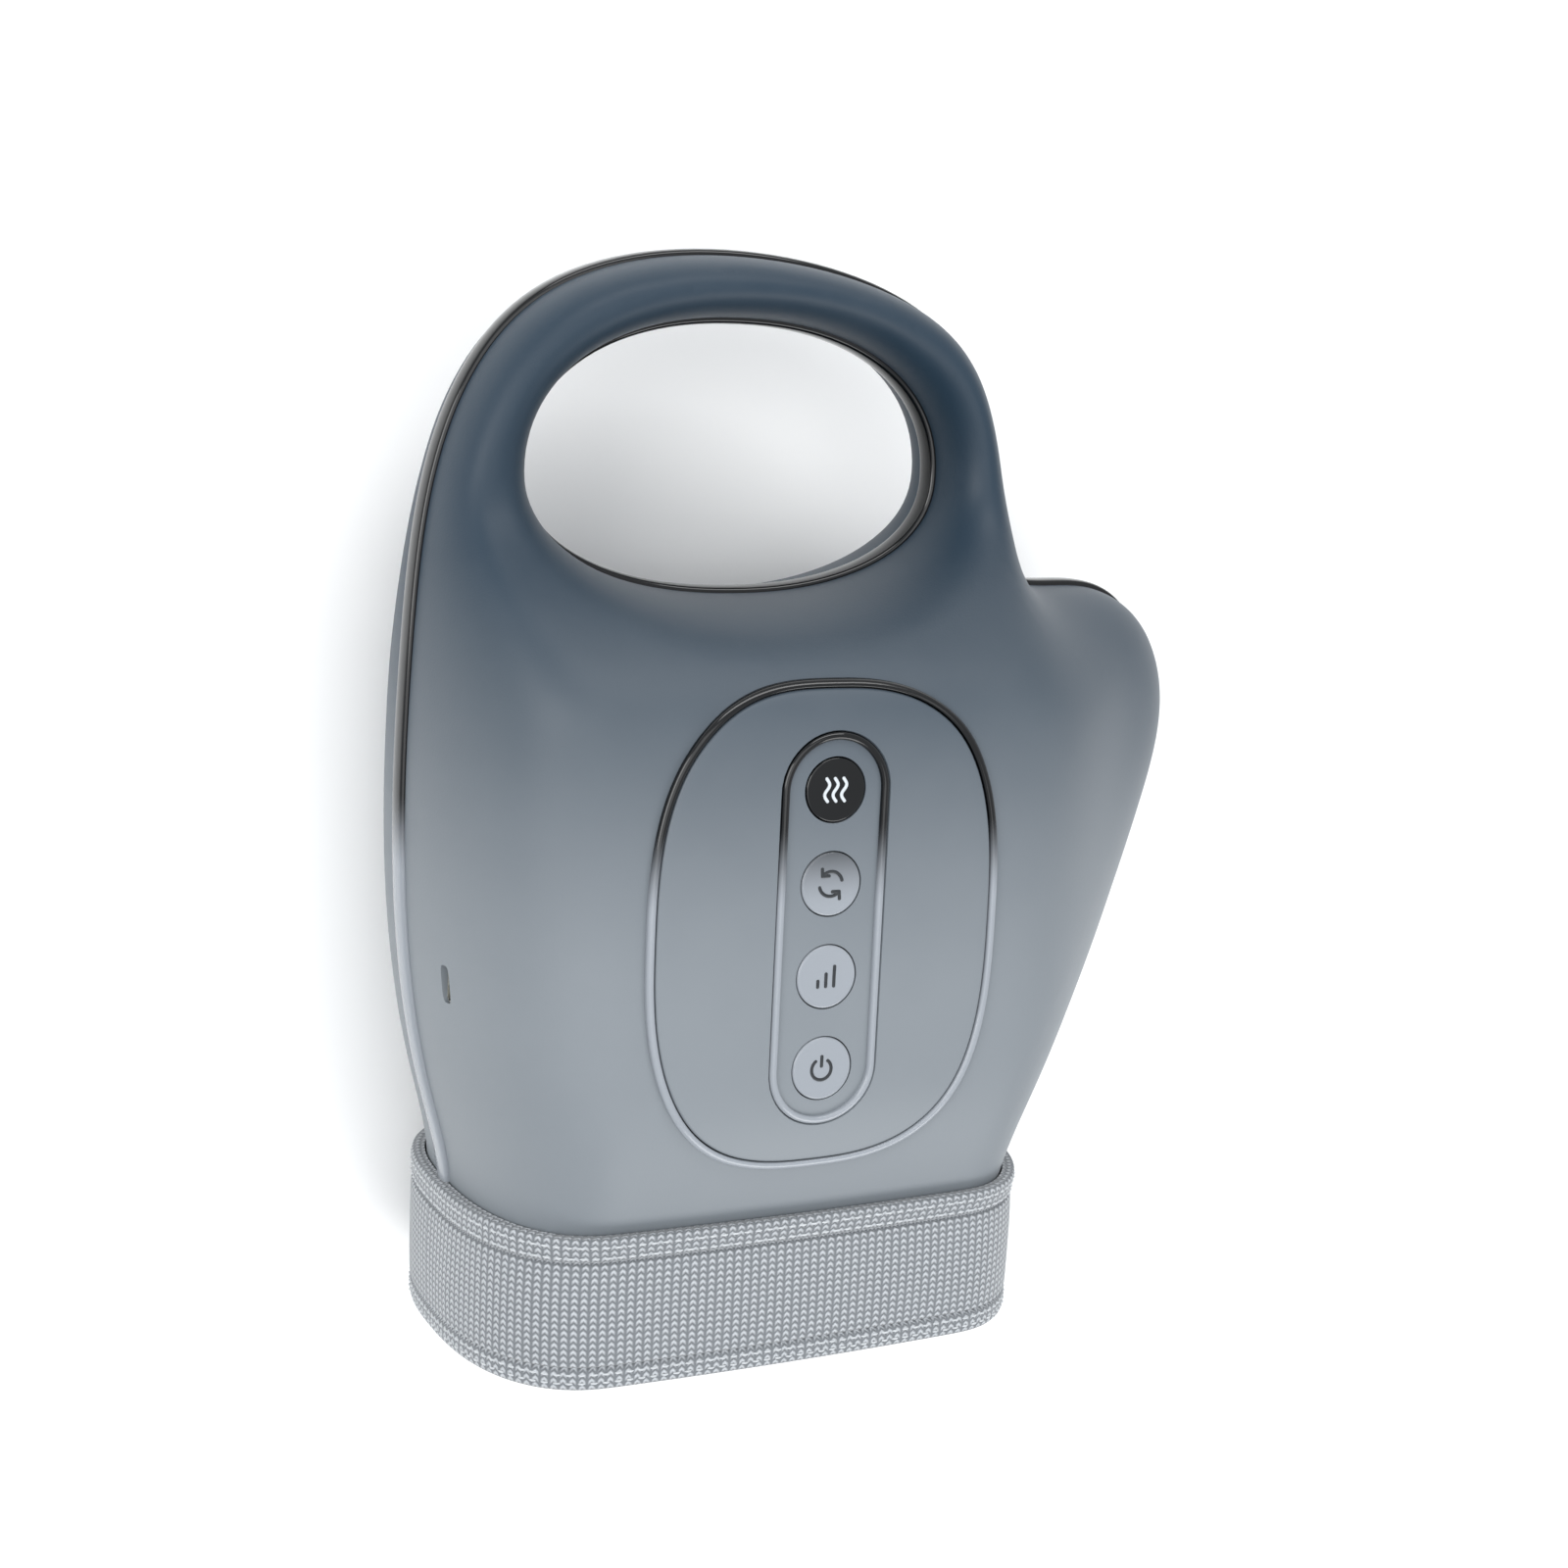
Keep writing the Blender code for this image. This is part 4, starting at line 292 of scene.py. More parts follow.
@dataclass(frozen=True)
class GlossAbs(Finish):
    """Black ABS, moulded in a polished tool and lacquered.

    It mirrors the lights and shows wiping marks. Its colour runs from black at the handle to silver grey
    at the wrist: the silver is painted glare.
    """

    # The silver grey towards the wrist: painted glare
    painted_glare_colour: str = "8b9096"
    dark_from: float = 0.004
    pale_from: float = -0.018
    coat_roughness: float = 0.03
    wiping_mm: float = 9.0
    wiping_stretch: Triple = (0.25, 1.0, 1.0)
    wiping_turn: float = 0.6
    wiping_window: Pair = (0.3, 0.8)
    wiped_roughness: float = 0.2
    wave_depth_mm: float = 0.01

    def dress(self, graph: Graph) -> None:
        """Add the painted glare, silver grey towards the wrist, wiping marks in the gloss, and a lacquer's
        slight waves.

        Args:
            graph: the material's nodes.
        """
        graph.shader.inputs["Coat Roughness"].default_value = self.coat_roughness
        # Painted glare: from black at the handle to silver grey towards the wrist
        graph.tint(graph.run(self.dark_from, self.pale_from), self.colour, self.painted_glare_colour)
        place, turn = graph.where["Object"], (0, 0, self.wiping_turn)
        wiped = graph.add_node("Mapping", {"Vector": place, "Scale": self.wiping_stretch, "Rotation": turn})[0]
        smear = {"Vector": wiped, "Scale": scale_of(self.wiping_mm), "Detail": 9.0, "Roughness": 0.7}
        marks = graph.add_node("TexNoise", smear)[0]
        graph.roughen(marks, self.roughness, self.wiped_roughness, self.wiping_window)
        graph.relief(marks, self.wave_depth_mm)


@dataclass(frozen=True)
class Worked(Finish):
    """A metal part with the marks of drawing, turning or rolling: lines that stretch the highlights."""

    other: str = "808080"
    spread: float = 0.16
    line_mm: Triple = (0.3, 6.0, 0.3)
    depth_mm: float = 0.006

    def dress(self, graph: Graph) -> None:
        """Stretch a noise along the way that the metal was worked.

        Args:
            graph: the material's nodes.
        """
        scale = tuple(map(scale_of, self.line_mm))
        drawn = graph.add_node("Mapping", {"Vector": graph.where["Object"], "Scale": scale})[0]
        lines = graph.add_node("TexNoise", {"Vector": drawn, "Scale": 1.0, "Detail": 4.0})[0]
        self.vary(graph, lines, self.other, self.spread)
        graph.relief(lines, self.depth_mm)


@dataclass(frozen=True)
class Knit(Finish):
    """Polyester yarn, knitted: columns of slanted loops, with painted shade in the gaps between them.

    Its real columns are about 0.9 mm wide. They are drawn coarser so that they show in the render.
    """

    wale_mm: float = 2.3
    course_mm: float = 1.7
    slant: float = 1.1
    wale_gap: Pair = (0.03, 0.3)
    course_gap: Pair = (0.04, 0.4)
    # The gaps' darker colour is painted shade
    gap_shade_colour: str = "1c1e20"
    gap_shade: float = 0.15
    depth_mm: float = 0.35
    fuzz_mm: float = 0.25
    fuzz_share: float = 0.35

    def dress(self, graph: Graph) -> None:
        """Work out the loops from the surface's own run, and add the yarn's fuzz, its colour and painted shade
        in the gaps.

        Args:
            graph: the material's nodes.
        """
        flat = graph.add_node("SeparateXYZ", {0: graph.where["UV"]})
        across = graph.add_node("Math", {0: flat["X"], 1: scale_of(self.wale_mm)}, operation="MULTIPLY")[0]
        within = graph.add_node("Math", {0: across, 1: 0.5}, operation="PINGPONG")[0]
        slant = graph.add_node("Math", {0: within, 1: self.slant}, operation="MULTIPLY")[0]
        rows = {0: flat["Y"], 1: scale_of(self.course_mm), 2: slant}
        along = graph.add_node("Math", rows, operation="MULTIPLY_ADD")[0]
        course = graph.add_node("Math", {0: along, 1: 0.5}, operation="PINGPONG")[0]
        leg, strand = (
            graph.add_node("MapRange", {"Value": yarn, "From Min": low, "From Max": high}, **EASED)[0]
            for yarn, (low, high) in ((within, self.wale_gap), (course, self.course_gap))
        )
        loop = graph.add_node("Math", {0: leg, 1: strand}, operation="MULTIPLY")[0]
        fluff = {"Vector": graph.where["Object"], "Scale": scale_of(self.fuzz_mm), "Detail": 3.0}
        fuzz = graph.add_node("TexNoise", fluff)[0]
        uneven = graph.add_node("Math", {0: fuzz, 1: self.fuzz_share, 2: loop}, operation="MULTIPLY_ADD")[0]
        shade = graph.add_node("Math", {0: uneven, 1: self.gap_shade}, operation="SUBTRACT", use_clamp=True)[0]
        # Painted shade: the gaps between the loops take the darker colour
        graph.tint(shade, self.gap_shade_colour, self.colour)
        graph.relief(uneven, self.depth_mm)


@dataclass(frozen=True)
class PrintedFilm(Finish):
    """Polyimide film with an etched copper track that runs to and fro: amber with bright lines."""

    track_mm: float = 5.0
    track_colour: str = "b06a3c"
    track_window: Pair = (0.62, 0.7)
    track_depth_mm: float = 0.05
    track_shine: float = 0.15
    wave_period: float = 0.314  # of Blender's bands at a scale of 1

    def dress(self, graph: Graph) -> None:
        """Draw the track's runs across the film.

        Args:
            graph: the material's nodes.
        """
        scale, (low, high) = self.wave_period * scale_of(self.track_mm), self.track_window
        bands = {"Vector": graph.where["Object"], "Scale": scale, "Distortion": 0.0}
        runs = graph.add_node("TexWave", bands, bands_direction="Y")["Fac"]
        track = graph.add_node("MapRange", {"Value": runs, "From Min": low, "From Max": high})[0]
        self.vary(graph, track, self.track_colour, -self.track_shine)
        graph.relief(track, self.track_depth_mm)


@dataclass(frozen=True)
class CircuitBoard(Finish):
    """Glass-epoxy board under a green solder mask: the copper's tracks show through as lighter lines."""

    track_mm: float = 1.6
    track_colour: str = "145236"
    track_share: float = 0.12
    track_depth_mm: float = 0.03
    spread: float = 0.1

    def dress(self, graph: Graph) -> None:
        """Draw the tracks as steps along the board.

        Args:
            graph: the material's nodes.
        """
        scale = (scale_of(self.track_mm),) * 3
        place = graph.add_node("Mapping", {"Vector": graph.where["Object"], "Scale": scale})[0]
        steps = {"Vector": place, "Scale": 1.0, "Mortar Size": self.track_share, "Row Height": 1.0}
        tracks = graph.add_node("TexBrick", steps)["Fac"]
        self.vary(graph, tracks, self.track_colour, self.spread)
        graph.relief(tracks, self.track_depth_mm)


# Wide soft highlights and no hard edge of light anywhere
CASING_COAT = SoftTouch("soft_touch_abs", "182c3b", 0.52, ior=1.45, sheen=0.05)
# A shade tighter in its highlights than the casing, with a grain too fine to see
ISLAND_COAT = SoftTouch("satin_abs", "182c3b", 0.46, ior=1.45, sheen=0.03, grain_mm=0.3, depth_mm=0.01)
# Thin bright reflections that run along the lines and round the keys, with painted glare that turns them silver
# grey towards the wrist
LACQUER = GlossAbs("lacquered_abs_painted_glare", "020304", 0.07, ior=1.42, coat=0.2)
# Pale marks, duller than the lacquer, that read on black
PALE_PRINT = Speckled("pad_printed_pale_ink", "c9ced2", 0.45, other="b4babf", grain_mm=0.2, depth_mm=0.005)
# Dark marks, duller than the lacquer: painted shade of the raised strokes, which reads on the painted silver
# glare
MARK_PAINTED_SHADE = Speckled("dark_marks_painted_shade", "14181c", 0.4, other="1d2226", grain_mm=0.2, depth_mm=0.005)
# Light grey ribs with shadow between them and a soft rim of light on the yarn
CUFF_KNIT = Knit("knitted_polyester", "aeb2b6", 0.9, sheen=0.3, gap_shade_colour="65696d")
# A dark nap that hides its loops, with painted shade in its gaps, so the pocket looks deep and soft
LINER_KNIT = Knit(
    "brushed_tricot", "2a2c2f", 0.95, sheen=0.5, wale_mm=1.6, course_mm=1.2, gap_shade_colour="0e0f10", depth_mm=0.15
)
# Twisted yarn, paler than the knit, so each stitch stands out
THREAD = Speckled(
    "spun_polyester_thread", "c6c9cb", 0.8, sheen=0.3, other="a8acaf", grain_mm=0.3, depth_mm=0.05
)
# Near black and dull, with a faint dusty grain
FOOT_RUBBER = Speckled("moulded_silicone_rubber", "141516", 0.7, other="1e2021", grain_mm=0.5)
# Matt black, mottled where the glass fibres reach the skin
FILLED_NYLON = Speckled("glass_filled_nylon_black", "17181a", 0.55, other="222427", grain_mm=0.6, depth_mm=0.03)
# Grey-white metal with an even, slightly cloudy shine
SCREW_STEEL = Worked("zinc_plated_steel", "a9adb2", 0.32, metallic=1.0, other="8f9398", line_mm=(0.4, 0.4, 0.4))
# Bright metal with fine lines along the way that it was drawn
CAN_STEEL = Worked("drawn_steel", "b4b7bb", 0.3, metallic=1.0, other="989ca1")
# Warm yellow metal with turning rings
BRASS = Worked("turned_brass", "c79a4b", 0.28, metallic=1.0, other="a97f3a", line_mm=(4.0, 0.2, 4.0))
# Orange strands side by side under a thin varnish
COPPER = Worked(
    "wound_copper_wire", "b8703f", 0.35, metallic=1.0, other="7d4525", line_mm=(0.35, 8.0, 0.35), depth_mm=0.08
)
# Warm, bright metal
NICKEL = Worked("nickel_plated_steel", "c4c3bd", 0.25, metallic=1.0, other="a9a8a2", line_mm=(3.0, 0.2, 3.0))
# Bluish drawn wire with a hard glint
SPRING = Worked("music_wire", "8e9196", 0.3, metallic=1.0, other="6c6f74", line_mm=(0.2, 0.2, 1.0))
# Deep green, glossy, with lighter tracks
BOARD = CircuitBoard("solder_mask_on_epoxy", "0b3524", 0.35)
# Dull black with a fine grain
EPOXY = Speckled("moulded_epoxy", "16171a", 0.5, other="222326", grain_mm=0.3)
# Bright silver beads
SOLDER = Worked("tinned_copper", "c9ccce", 0.3, metallic=1.0, other="a5a8ab", line_mm=(0.5, 0.5, 0.5))
# Milky off-white with a low shine
NYLON = Speckled("natural_nylon", "cfccbf", 0.5, other="bfbbac")
# Pale and slightly wet-looking, with slow waves from the die
SILICONE = Speckled("extruded_silicone", "c6cccc", 0.38, ior=1.42, other="b4bbbb", grain_mm=1.5)
# Smooth grey film that shines where it is taut
FILM = Speckled(
    "welded_tpu_film", "5c626b", 0.33, other="6e757f", spread=0.1, grain_mm=1.2, depth_mm=0.04, coat=0.2
)
# Amber film with brighter copper runs
HEATER = PrintedFilm("etched_polyimide", "a8641c", 0.4)
# Saturated blue skin with shallow wrinkles from shrinking
WRAP = Speckled("heat_shrink_pvc", "1a3f7a", 0.3, other="20477f", grain_mm=3.0, depth_mm=0.06)
# An even pale ground that shows only soft shadows
PAINTED_BOARD = Speckled(
    "matt_painted_board", "f4f4f3", 0.7, other="efefee", grain_mm=2.0, depth_mm=0.01, cloud_mm=400.0
)

# The finish of each solid that keeps its own shape
CARRIED = {
    FILLED_NYLON: (
        "upper_frame", "lower_frame", "pump_body", "pump_cover", "motor_endcap",
        "heat_switch", "mode_switch", "intensity_switch", "power_switch",
    ),
    SCREW_STEEL: (
        "handle_screw", "finger_screw", "thumb_screw", "heel_screw", "wrist_screw",
        "board_screw_1", "board_screw_2", "finger_plunger", "palm_plunger",
    ),
    CAN_STEEL: ("motor_can", "finger_valve", "palm_valve"),
    BRASS: ("motor_bush",),
    COPPER: ("motor_rotor",),
    NICKEL: ("charge_socket",),
    BOARD: ("key_board",),
    NYLON: ("pump_crank", "pump_rocker", "air_manifold"),
    SILICONE: ("pump_diaphragm", "pump_hose", "finger_hose", "palm_hose", "lower_hose"),
    WRAP: ("inner_battery_cell", "outer_battery_cell"),
}
# The finishes of solids whose edges the mould or the press leaves rounded
ROUNDED = (FILLED_NYLON, NYLON, WRAP, NICKEL, CAN_STEEL)


# Outlines and meshes


def steps_round(count: int) -> Array:
    """Equal steps round a circle, in radians."""
    return np.arange(count) * 2 * pi / count


def straight(run: Points) -> Points:
    """Scale the rows to a length of 1."""
    return run / np.linalg.norm(run, axis=1)[:, None]


def unit(turn: Array) -> Points:
    """Points on a circle of radius 1, at angles in radians."""
    return np.column_stack([np.cos(turn), np.sin(turn)])


def closed_curve(points: Points, steps: int) -> Points:
    """Draw a smooth closed curve, a periodic cubic spline, through points.

    Args:
        points: the corners that it passes through.
        steps: how many equal steps there are between two of them.

    Returns:
        The curve's points.
    """
    count = len(points)
    chords = np.linalg.norm(np.roll(points, -1, 0) - points, axis=1) ** 0.5
    system, right = np.zeros((count, count)), np.zeros((count, 2))
    for i in range(count):
        j, before, after = (i + 1) % count, chords[i - 1], chords[i]
        system[i, i - 1] += before
        system[i, i] += 2 * (before + after)
        system[i, j] += after
        right[i] = 6 * ((points[j] - points[i]) / after - (points[i] - points[i - 1]) / before)
    bends = np.linalg.solve(system, right)
    curve = []
    for i in range(count):
        j, chord = (i + 1) % count, chords[i]
        for step in range(steps):
            done = step / steps * chord
            left = chord - done
            point = (bends[i] * left**3 + bends[j] * done**3) / (6 * chord)
            point = point + (points[i] / chord - bends[i] * chord / 6) * left
            curve.append(point + (points[j] / chord - bends[j] * chord / 6) * done)
    return np.array(curve)


def superellipse(
    centre: Pair, half_width: float, half_up: float, half_down: float, power: float, count: int
) -> Points:
    """Draw a rounded outline, counter-clockwise, whose two halves may differ in height.

    Args:
        centre: its middle.
        half_width: how far it reaches to each side.
        half_up: how far it reaches up.
        half_down: how far it reaches down.
        power: 2 for an ellipse, and more for fuller corners.
        count: how many points it has.

    Returns:
        The outline.
    """
    turn = steps_round(count)
    across, along = np.cos(turn), np.sin(turn)
    x = np.sign(across) * np.abs(across) ** (2 / power) * half_width
    y = np.sign(along) * np.abs(along) ** (2 / power) * np.where(along > 0, half_up, half_down)
    return np.column_stack([x, y]) + centre


def rounded_rectangle(centre: Array, half: Array, radius: float, steps: int = 12) -> Points:
    """Draw a rectangle, counter-clockwise, with a number of points round each corner."""
    corners = enumerate(((1, 1), (-1, 1), (-1, -1), (1, -1)))
    turns = [(side, unit(np.linspace(0, pi / 2, steps) + k * pi / 2)) for k, side in corners]
    return np.concatenate([centre + (half - radius) * side + turn * radius for side, turn in turns])


def circle(centre: Pair | Array, radius: float, count: int) -> Points:
    """Draw a circle, counter-clockwise."""
    return unit(steps_round(count)) * radius + centre


def offset(loop: Points, distance: float | Array) -> Points:
    """Move a counter-clockwise outline outwards, as a whole or each point by its own distance."""
    run = straight(np.roll(loop, -1, 0) - np.roll(loop, 1, 0))
    return loop + np.column_stack([run[:, 1], -run[:, 0]]) * np.broadcast_to(distance, len(loop))[:, None]


def distance_to(loop: Points, points: Points, batch: int = 4000) -> Array:
    """Measure how far each point lies from the nearest side of an outline.

    Args:
        loop: the outline.
        points: the points.
        batch: how many points are measured at a time, to spare memory.

    Returns:
        A distance for each point.
    """
    run = np.roll(loop, -1, 0) - loop
    found = np.empty(len(points))
    for start in range(0, len(points), batch):
        across = points[start : start + batch, None, :] - loop[None]
        share = np.clip((across * run[None]).sum(2) / (run**2).sum(1)[None], 0, 1)
        found[start : start + batch] = np.sqrt(((across - share[:, :, None] * run[None]) ** 2).sum(2).min(1))
    return found


def distance_to_any(loops: list[Points], points: Points) -> Array:
    """Measure how far each point lies from the nearest of several outlines."""
    return np.minimum.reduce([distance_to(loop, points) for loop in loops])


def inside(loop: Points, points: Points) -> Array:
    """Tell whether each point lies within an outline.

    Args:
        loop: the outline.
        points: the points.

    Returns:
        True or False for each point.
    """
    x, y = points[:, :1], points[:, 1:]
    ahead = np.roll(loop, -1, 0)
    x0, y0, x1, y1 = loop[None, :, 0], loop[None, :, 1], ahead[None, :, 0], ahead[None, :, 1]
    spans = (y0 > y) != (y1 > y)
    crossed = spans & (x < x0 + (y - y0) / np.where(spans, y1 - y0, 1) * (x1 - x0))
    return crossed.sum(1) % 2 == 1


def in_plan(outer: Points, holes: list[Points], points: Points) -> Array:
    """Tell whether each point lies within an outline and outside the holes in it."""
    return inside(outer, points) & ~np.any([inside(hole, points) for hole in holes], axis=0)


def plan_grid(loop: Points, pitch: float) -> Points:
    """Spread even points over the box round an outline, row by row."""
    (x0, y0), (x1, y1) = loop.min(0), loop.max(0)
    return np.array([(x, y) for y in np.arange(y0, y1, pitch) for x in np.arange(x0, x1, pitch)])


def width_at(loop: Points, y: float) -> Pair:
    """Find the outermost places where an outline crosses one value of y.

    Args:
        loop: the outline.
        y: where it is crossed.

    Returns:
        The lowest and the highest x.
    """
    ahead = np.roll(loop, -1, 0)
    crossed = (loop[:, 1] - y) * (ahead[:, 1] - y) < 0
    start, end = loop[crossed], ahead[crossed]
    x = start[:, 0] + (end[:, 0] - start[:, 0]) * (y - start[:, 1]) / (end[:, 1] - start[:, 1])
    return x.min(), x.max()


def resampled(loop: Points, count: int) -> Points:
    """Space points evenly along a closed loop, from its first point.

    Args:
        loop: the loop, in the plane or in space.
        count: how many points it gets.

    Returns:
        The new loop.
    """
    closed = np.vstack([loop, loop[:1]])
    gone = np.concatenate([[0], np.cumsum(np.linalg.norm(np.diff(closed, axis=0), axis=1))])
    at = np.arange(count) / count * gone[-1]
    return np.column_stack([np.interp(at, gone, closed[:, k]) for k in range(loop.shape[1])])


def clipped(loop: Points, low: float) -> Points:
    """Cut an outline along one value of y and keep what is above it.

    Args:
        loop: the outline, counter-clockwise.
        low: where it is cut.

    Returns:
        The outline that is left, with points along the cut.
    """
    kept = []
    for here, there in zip(loop, np.roll(loop, -1, 0)):
        if here[1] >= low:
            kept.append(here)
        if (here[1] - low) * (there[1] - low) < 0:
            kept.append(here + (there - here) * (low - here[1]) / (there[1] - here[1]))
    filled = []
    for here, there in zip(kept, kept[1:] + kept[:1]):
        filled.append(here)
        if here[1] <= low and there[1] <= low:
            steps = max(1, round(dist(here, there) / CUT_PITCH))
            filled += [here + (there - here) * step / steps for step in range(1, steps)]
    return np.array(filled)


def polar(loop: Points, centre: Array, count: int, between: int = 12) -> Points:
    """Redraw a loop with points at equal angles round a centre, to be joined to another.

    Args:
        loop: the loop.
        centre: what the angles are measured from.
        count: how many points it gets.
        between: how finely each side is divided first.

    Returns:
        The new loop.
    """
    arms = np.vstack([loop, loop[:1]]) - centre
    fine = np.concatenate([np.linspace(a, b, between, endpoint=False) for a, b in zip(arms, arms[1:])])
    angle, reach = np.arctan2(fine[:, 1], fine[:, 0]), np.linalg.norm(fine, axis=1)
    order = np.argsort(angle)
    turn = steps_round(count)
    wanted = (turn + pi) % (2 * pi) - pi
    radius = np.interp(wanted, angle[order], reach[order], period=2 * pi)
    return unit(turn) * radius[:, None] + centre


def raised(loop: Points, height: float | Array) -> Points:
    """Give a flat outline a height, or a height for each point."""
    return np.column_stack([loop, np.broadcast_to(height, len(loop))])


def upright(loop: Points, y: float) -> Points:
    """Stand a flat outline of x and z across the hand, at one place along it."""
    return np.column_stack([loop[:, 0], np.full(len(loop), y), loop[:, 1]])


def add_mesh(
    name: str, points: Points, faces: list, uvs: list | None = None, sharp: float = 40.0, outward: bool = True
) -> Piece:
    """Link a mesh as a piece.

    Args:
        name: the piece's name.
        points: its corners.
        faces: its faces, as numbers of corners.
        uvs: a place on the cloth for each corner of each face, in metres.
        sharp: the least angle of a sharp edge, in degrees.
        outward: whether to turn the faces outwards, for a closed piece.

    Returns:
        The object.
    """
    mesh = bpy.data.meshes.new(name)
    mesh.from_pydata([tuple(map(float, p)) for p in points], [], [tuple(map(int, f)) for f in faces])
    if uvs is not None:
        mesh.uv_layers.new(name="run").data.foreach_set("uv", np.asarray(uvs, np.float32).ravel())
    if outward:
        form = bmesh.new()
        form.from_mesh(mesh)
        bmesh.ops.recalc_face_normals(form, faces=form.faces)
        form.to_mesh(mesh)
        form.free()
    mesh.shade_smooth()
    mesh.set_sharp_from_angle(angle=radians(sharp))
    made = bpy.data.objects.new(name, mesh)
    bpy.context.scene.collection.objects.link(made)
    return made


def skin_over(rings: list[Points], wrap: bool = False) -> Part:
    """Join equal loops of points with faces.

    Args:
        rings: the loops; one of a single point closes an end.
        wrap: whether the last loop joins the first.

    Returns:
        The points, the faces, and each face corner's run across and along, in metres.
    """
    rings = [np.atleast_2d(np.asarray(ring, float)) for ring in rings]
    starts = np.cumsum([0] + [len(ring) for ring in rings])
    middle = max(rings, key=len)
    round_run = np.concatenate([[0], np.cumsum(np.linalg.norm(np.roll(middle, -1, 0) - middle, axis=1))])
    steps = []
    for a, b in zip(rings, rings[1:] + rings[:1]):
        steps.append(np.linalg.norm(b - a, axis=1).mean() if len(a) == len(b) else 0.0)
    long_run = np.concatenate([[0], np.cumsum(steps)])
    faces, uvs = [], []
    for k in range(len(rings) if wrap else len(rings) - 1):
        a, b = k, (k + 1) % len(rings)
        count = max(len(rings[a]), len(rings[b]))
        for i in range(count):
            j = (i + 1) % count
            quad = {}
            for ring, row, at, run in ((a, k, i, i), (a, k, j, i + 1), (b, k + 1, j, i + 1), (b, k + 1, i, i)):
                quad.setdefault(starts[ring] + at % len(rings[ring]), (round_run[run], long_run[row]))
            faces.append(list(quad))
            uvs += list(quad.values())
    return np.concatenate(rings), faces, uvs


def loft(name: str, rings: list[Points], wrap: bool = False, sharp: float = 40.0) -> Piece:
    """Make a piece from equal loops of points, and cap an end that isn't closed by a point.

    Args:
        name: the piece's name.
        rings: the loops.
        wrap: whether the last loop joins the first, which leaves no ends.
        sharp: the least angle of a sharp edge, in degrees.

    Returns:
        The object.
    """
    points, faces, uvs = skin_over(rings, wrap)
    if not wrap:
        sizes = [len(np.atleast_2d(ring)) for ring in rings]
        for start, size in ((0, sizes[0]), (sum(sizes[:-1]), sizes[-1])):
            if size > 1:
                faces.append(list(range(start, start + size)))
                uvs += [(0.0, 0.0)] * size
    return add_mesh(name, points, faces, uvs, sharp)


def turned(name: str, profile: list[tuple], centre: Pair | Array, sides: int = 72) -> Piece:
    """Turn a profile, which is pairs of a radius and a height, round an upright axis."""
    rings = [(circle(centre, radius, sides) if radius else np.array([centre]), up) for radius, up in profile]
    return loft(name, [raised(ring, up) for ring, up in rings])


def joined(name: str, parts: list[Part], sharp: float = 40.0, outward: bool = True) -> Piece:
    """Make one piece of several parts.

    Args:
        name: the piece's name.
        parts: each part's points, faces and runs.
        sharp: the least angle of a sharp edge, in degrees.
        outward: whether to turn the faces outwards, for closed parts.

    Returns:
        The object.
    """
    points, faces, uvs, start = [], [], [], 0
    for part_points, part_faces, part_uvs in parts:
        points.append(part_points)
        faces += [[start + i for i in face] for face in part_faces]
        uvs += list(part_uvs)
        start += len(part_points)
    return add_mesh(name, np.concatenate(points), faces, uvs, sharp, outward)


def welded(piece: Piece, reach: float) -> Piece:
    """Join the points of a piece that lie together.

    Args:
        piece: the object.
        reach: how near two points are to become one.

    Returns:
        The same object.
    """
    form = bmesh.new()
    form.from_mesh(piece.data)
    bmesh.ops.remove_doubles(form, verts=form.verts, dist=reach)
    form.to_mesh(piece.data)
    form.free()
    return piece


def settle(piece: Piece, finish: Finish, slot: str, *stands_for: str, body: str = "casing") -> Piece:
    """Give a piece its finish and body, and hide what it stands for.

    Args:
        piece: the object.
        finish: its material.
        slot: the name of a material slot; not used.
        stands_for: the solids that it replaces.
        body: the body that it moves with.

    Returns:
        The same object.
    """
    piece.data.materials.clear()
    piece.data.materials.append(finish.build())
    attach(piece, body)
    if stands_for:
        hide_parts(*stands_for)
    log.info("%s rides on %s, %d points", piece.name, body, len(piece.data.vertices))
    return piece


def ease(share: float | Array) -> float | Array:
    """Step smoothly from 0 to 1."""
    share = np.clip(share, 0, 1)
    return share**3 * (6 * share**2 - 15 * share + 10)


# The form that every outer piece follows

# Corners of the casing's and the pocket's outlines, as shares of half the width and half the length
OUTLINE_SHARES = (
    (0.541, -0.764), (0.564, -0.636), (0.768, -0.364), (0.948, -0.046), (0.999, 0.157), (0.936, 0.329),
    (0.800, 0.397), (0.627, 0.402), (0.552, 0.425), (0.529, 0.500), (0.464, 0.729), (0.291, 0.904),
    (-0.200, 1.000), (-0.700, 0.911), (-0.918, 0.664), (-0.986, 0.321), (-0.996, -0.143), (-0.936, -0.500),
    (-0.877, -0.693), (-0.873, -0.821), (-0.745, -1.043), (-0.182, -1.114), (0.400, -1.043), (0.541, -0.871),
)
POCKET_SHARES = (
    (0.382, -0.743), (0.400, -0.607), (0.545, -0.414), (0.700, -0.200), (0.764, 0.000), (0.745, 0.150),
    (0.627, 0.225), (0.409, 0.257), (0.000, 0.271), (-0.455, 0.268), (-0.664, 0.225), (-0.750, 0.121),
    (-0.768, 0.000), (-0.768, -0.286), (-0.736, -0.536), (-0.709, -0.743), (-0.700, -0.964), (-0.182, -1.036),
    (0.373, -0.964),
)


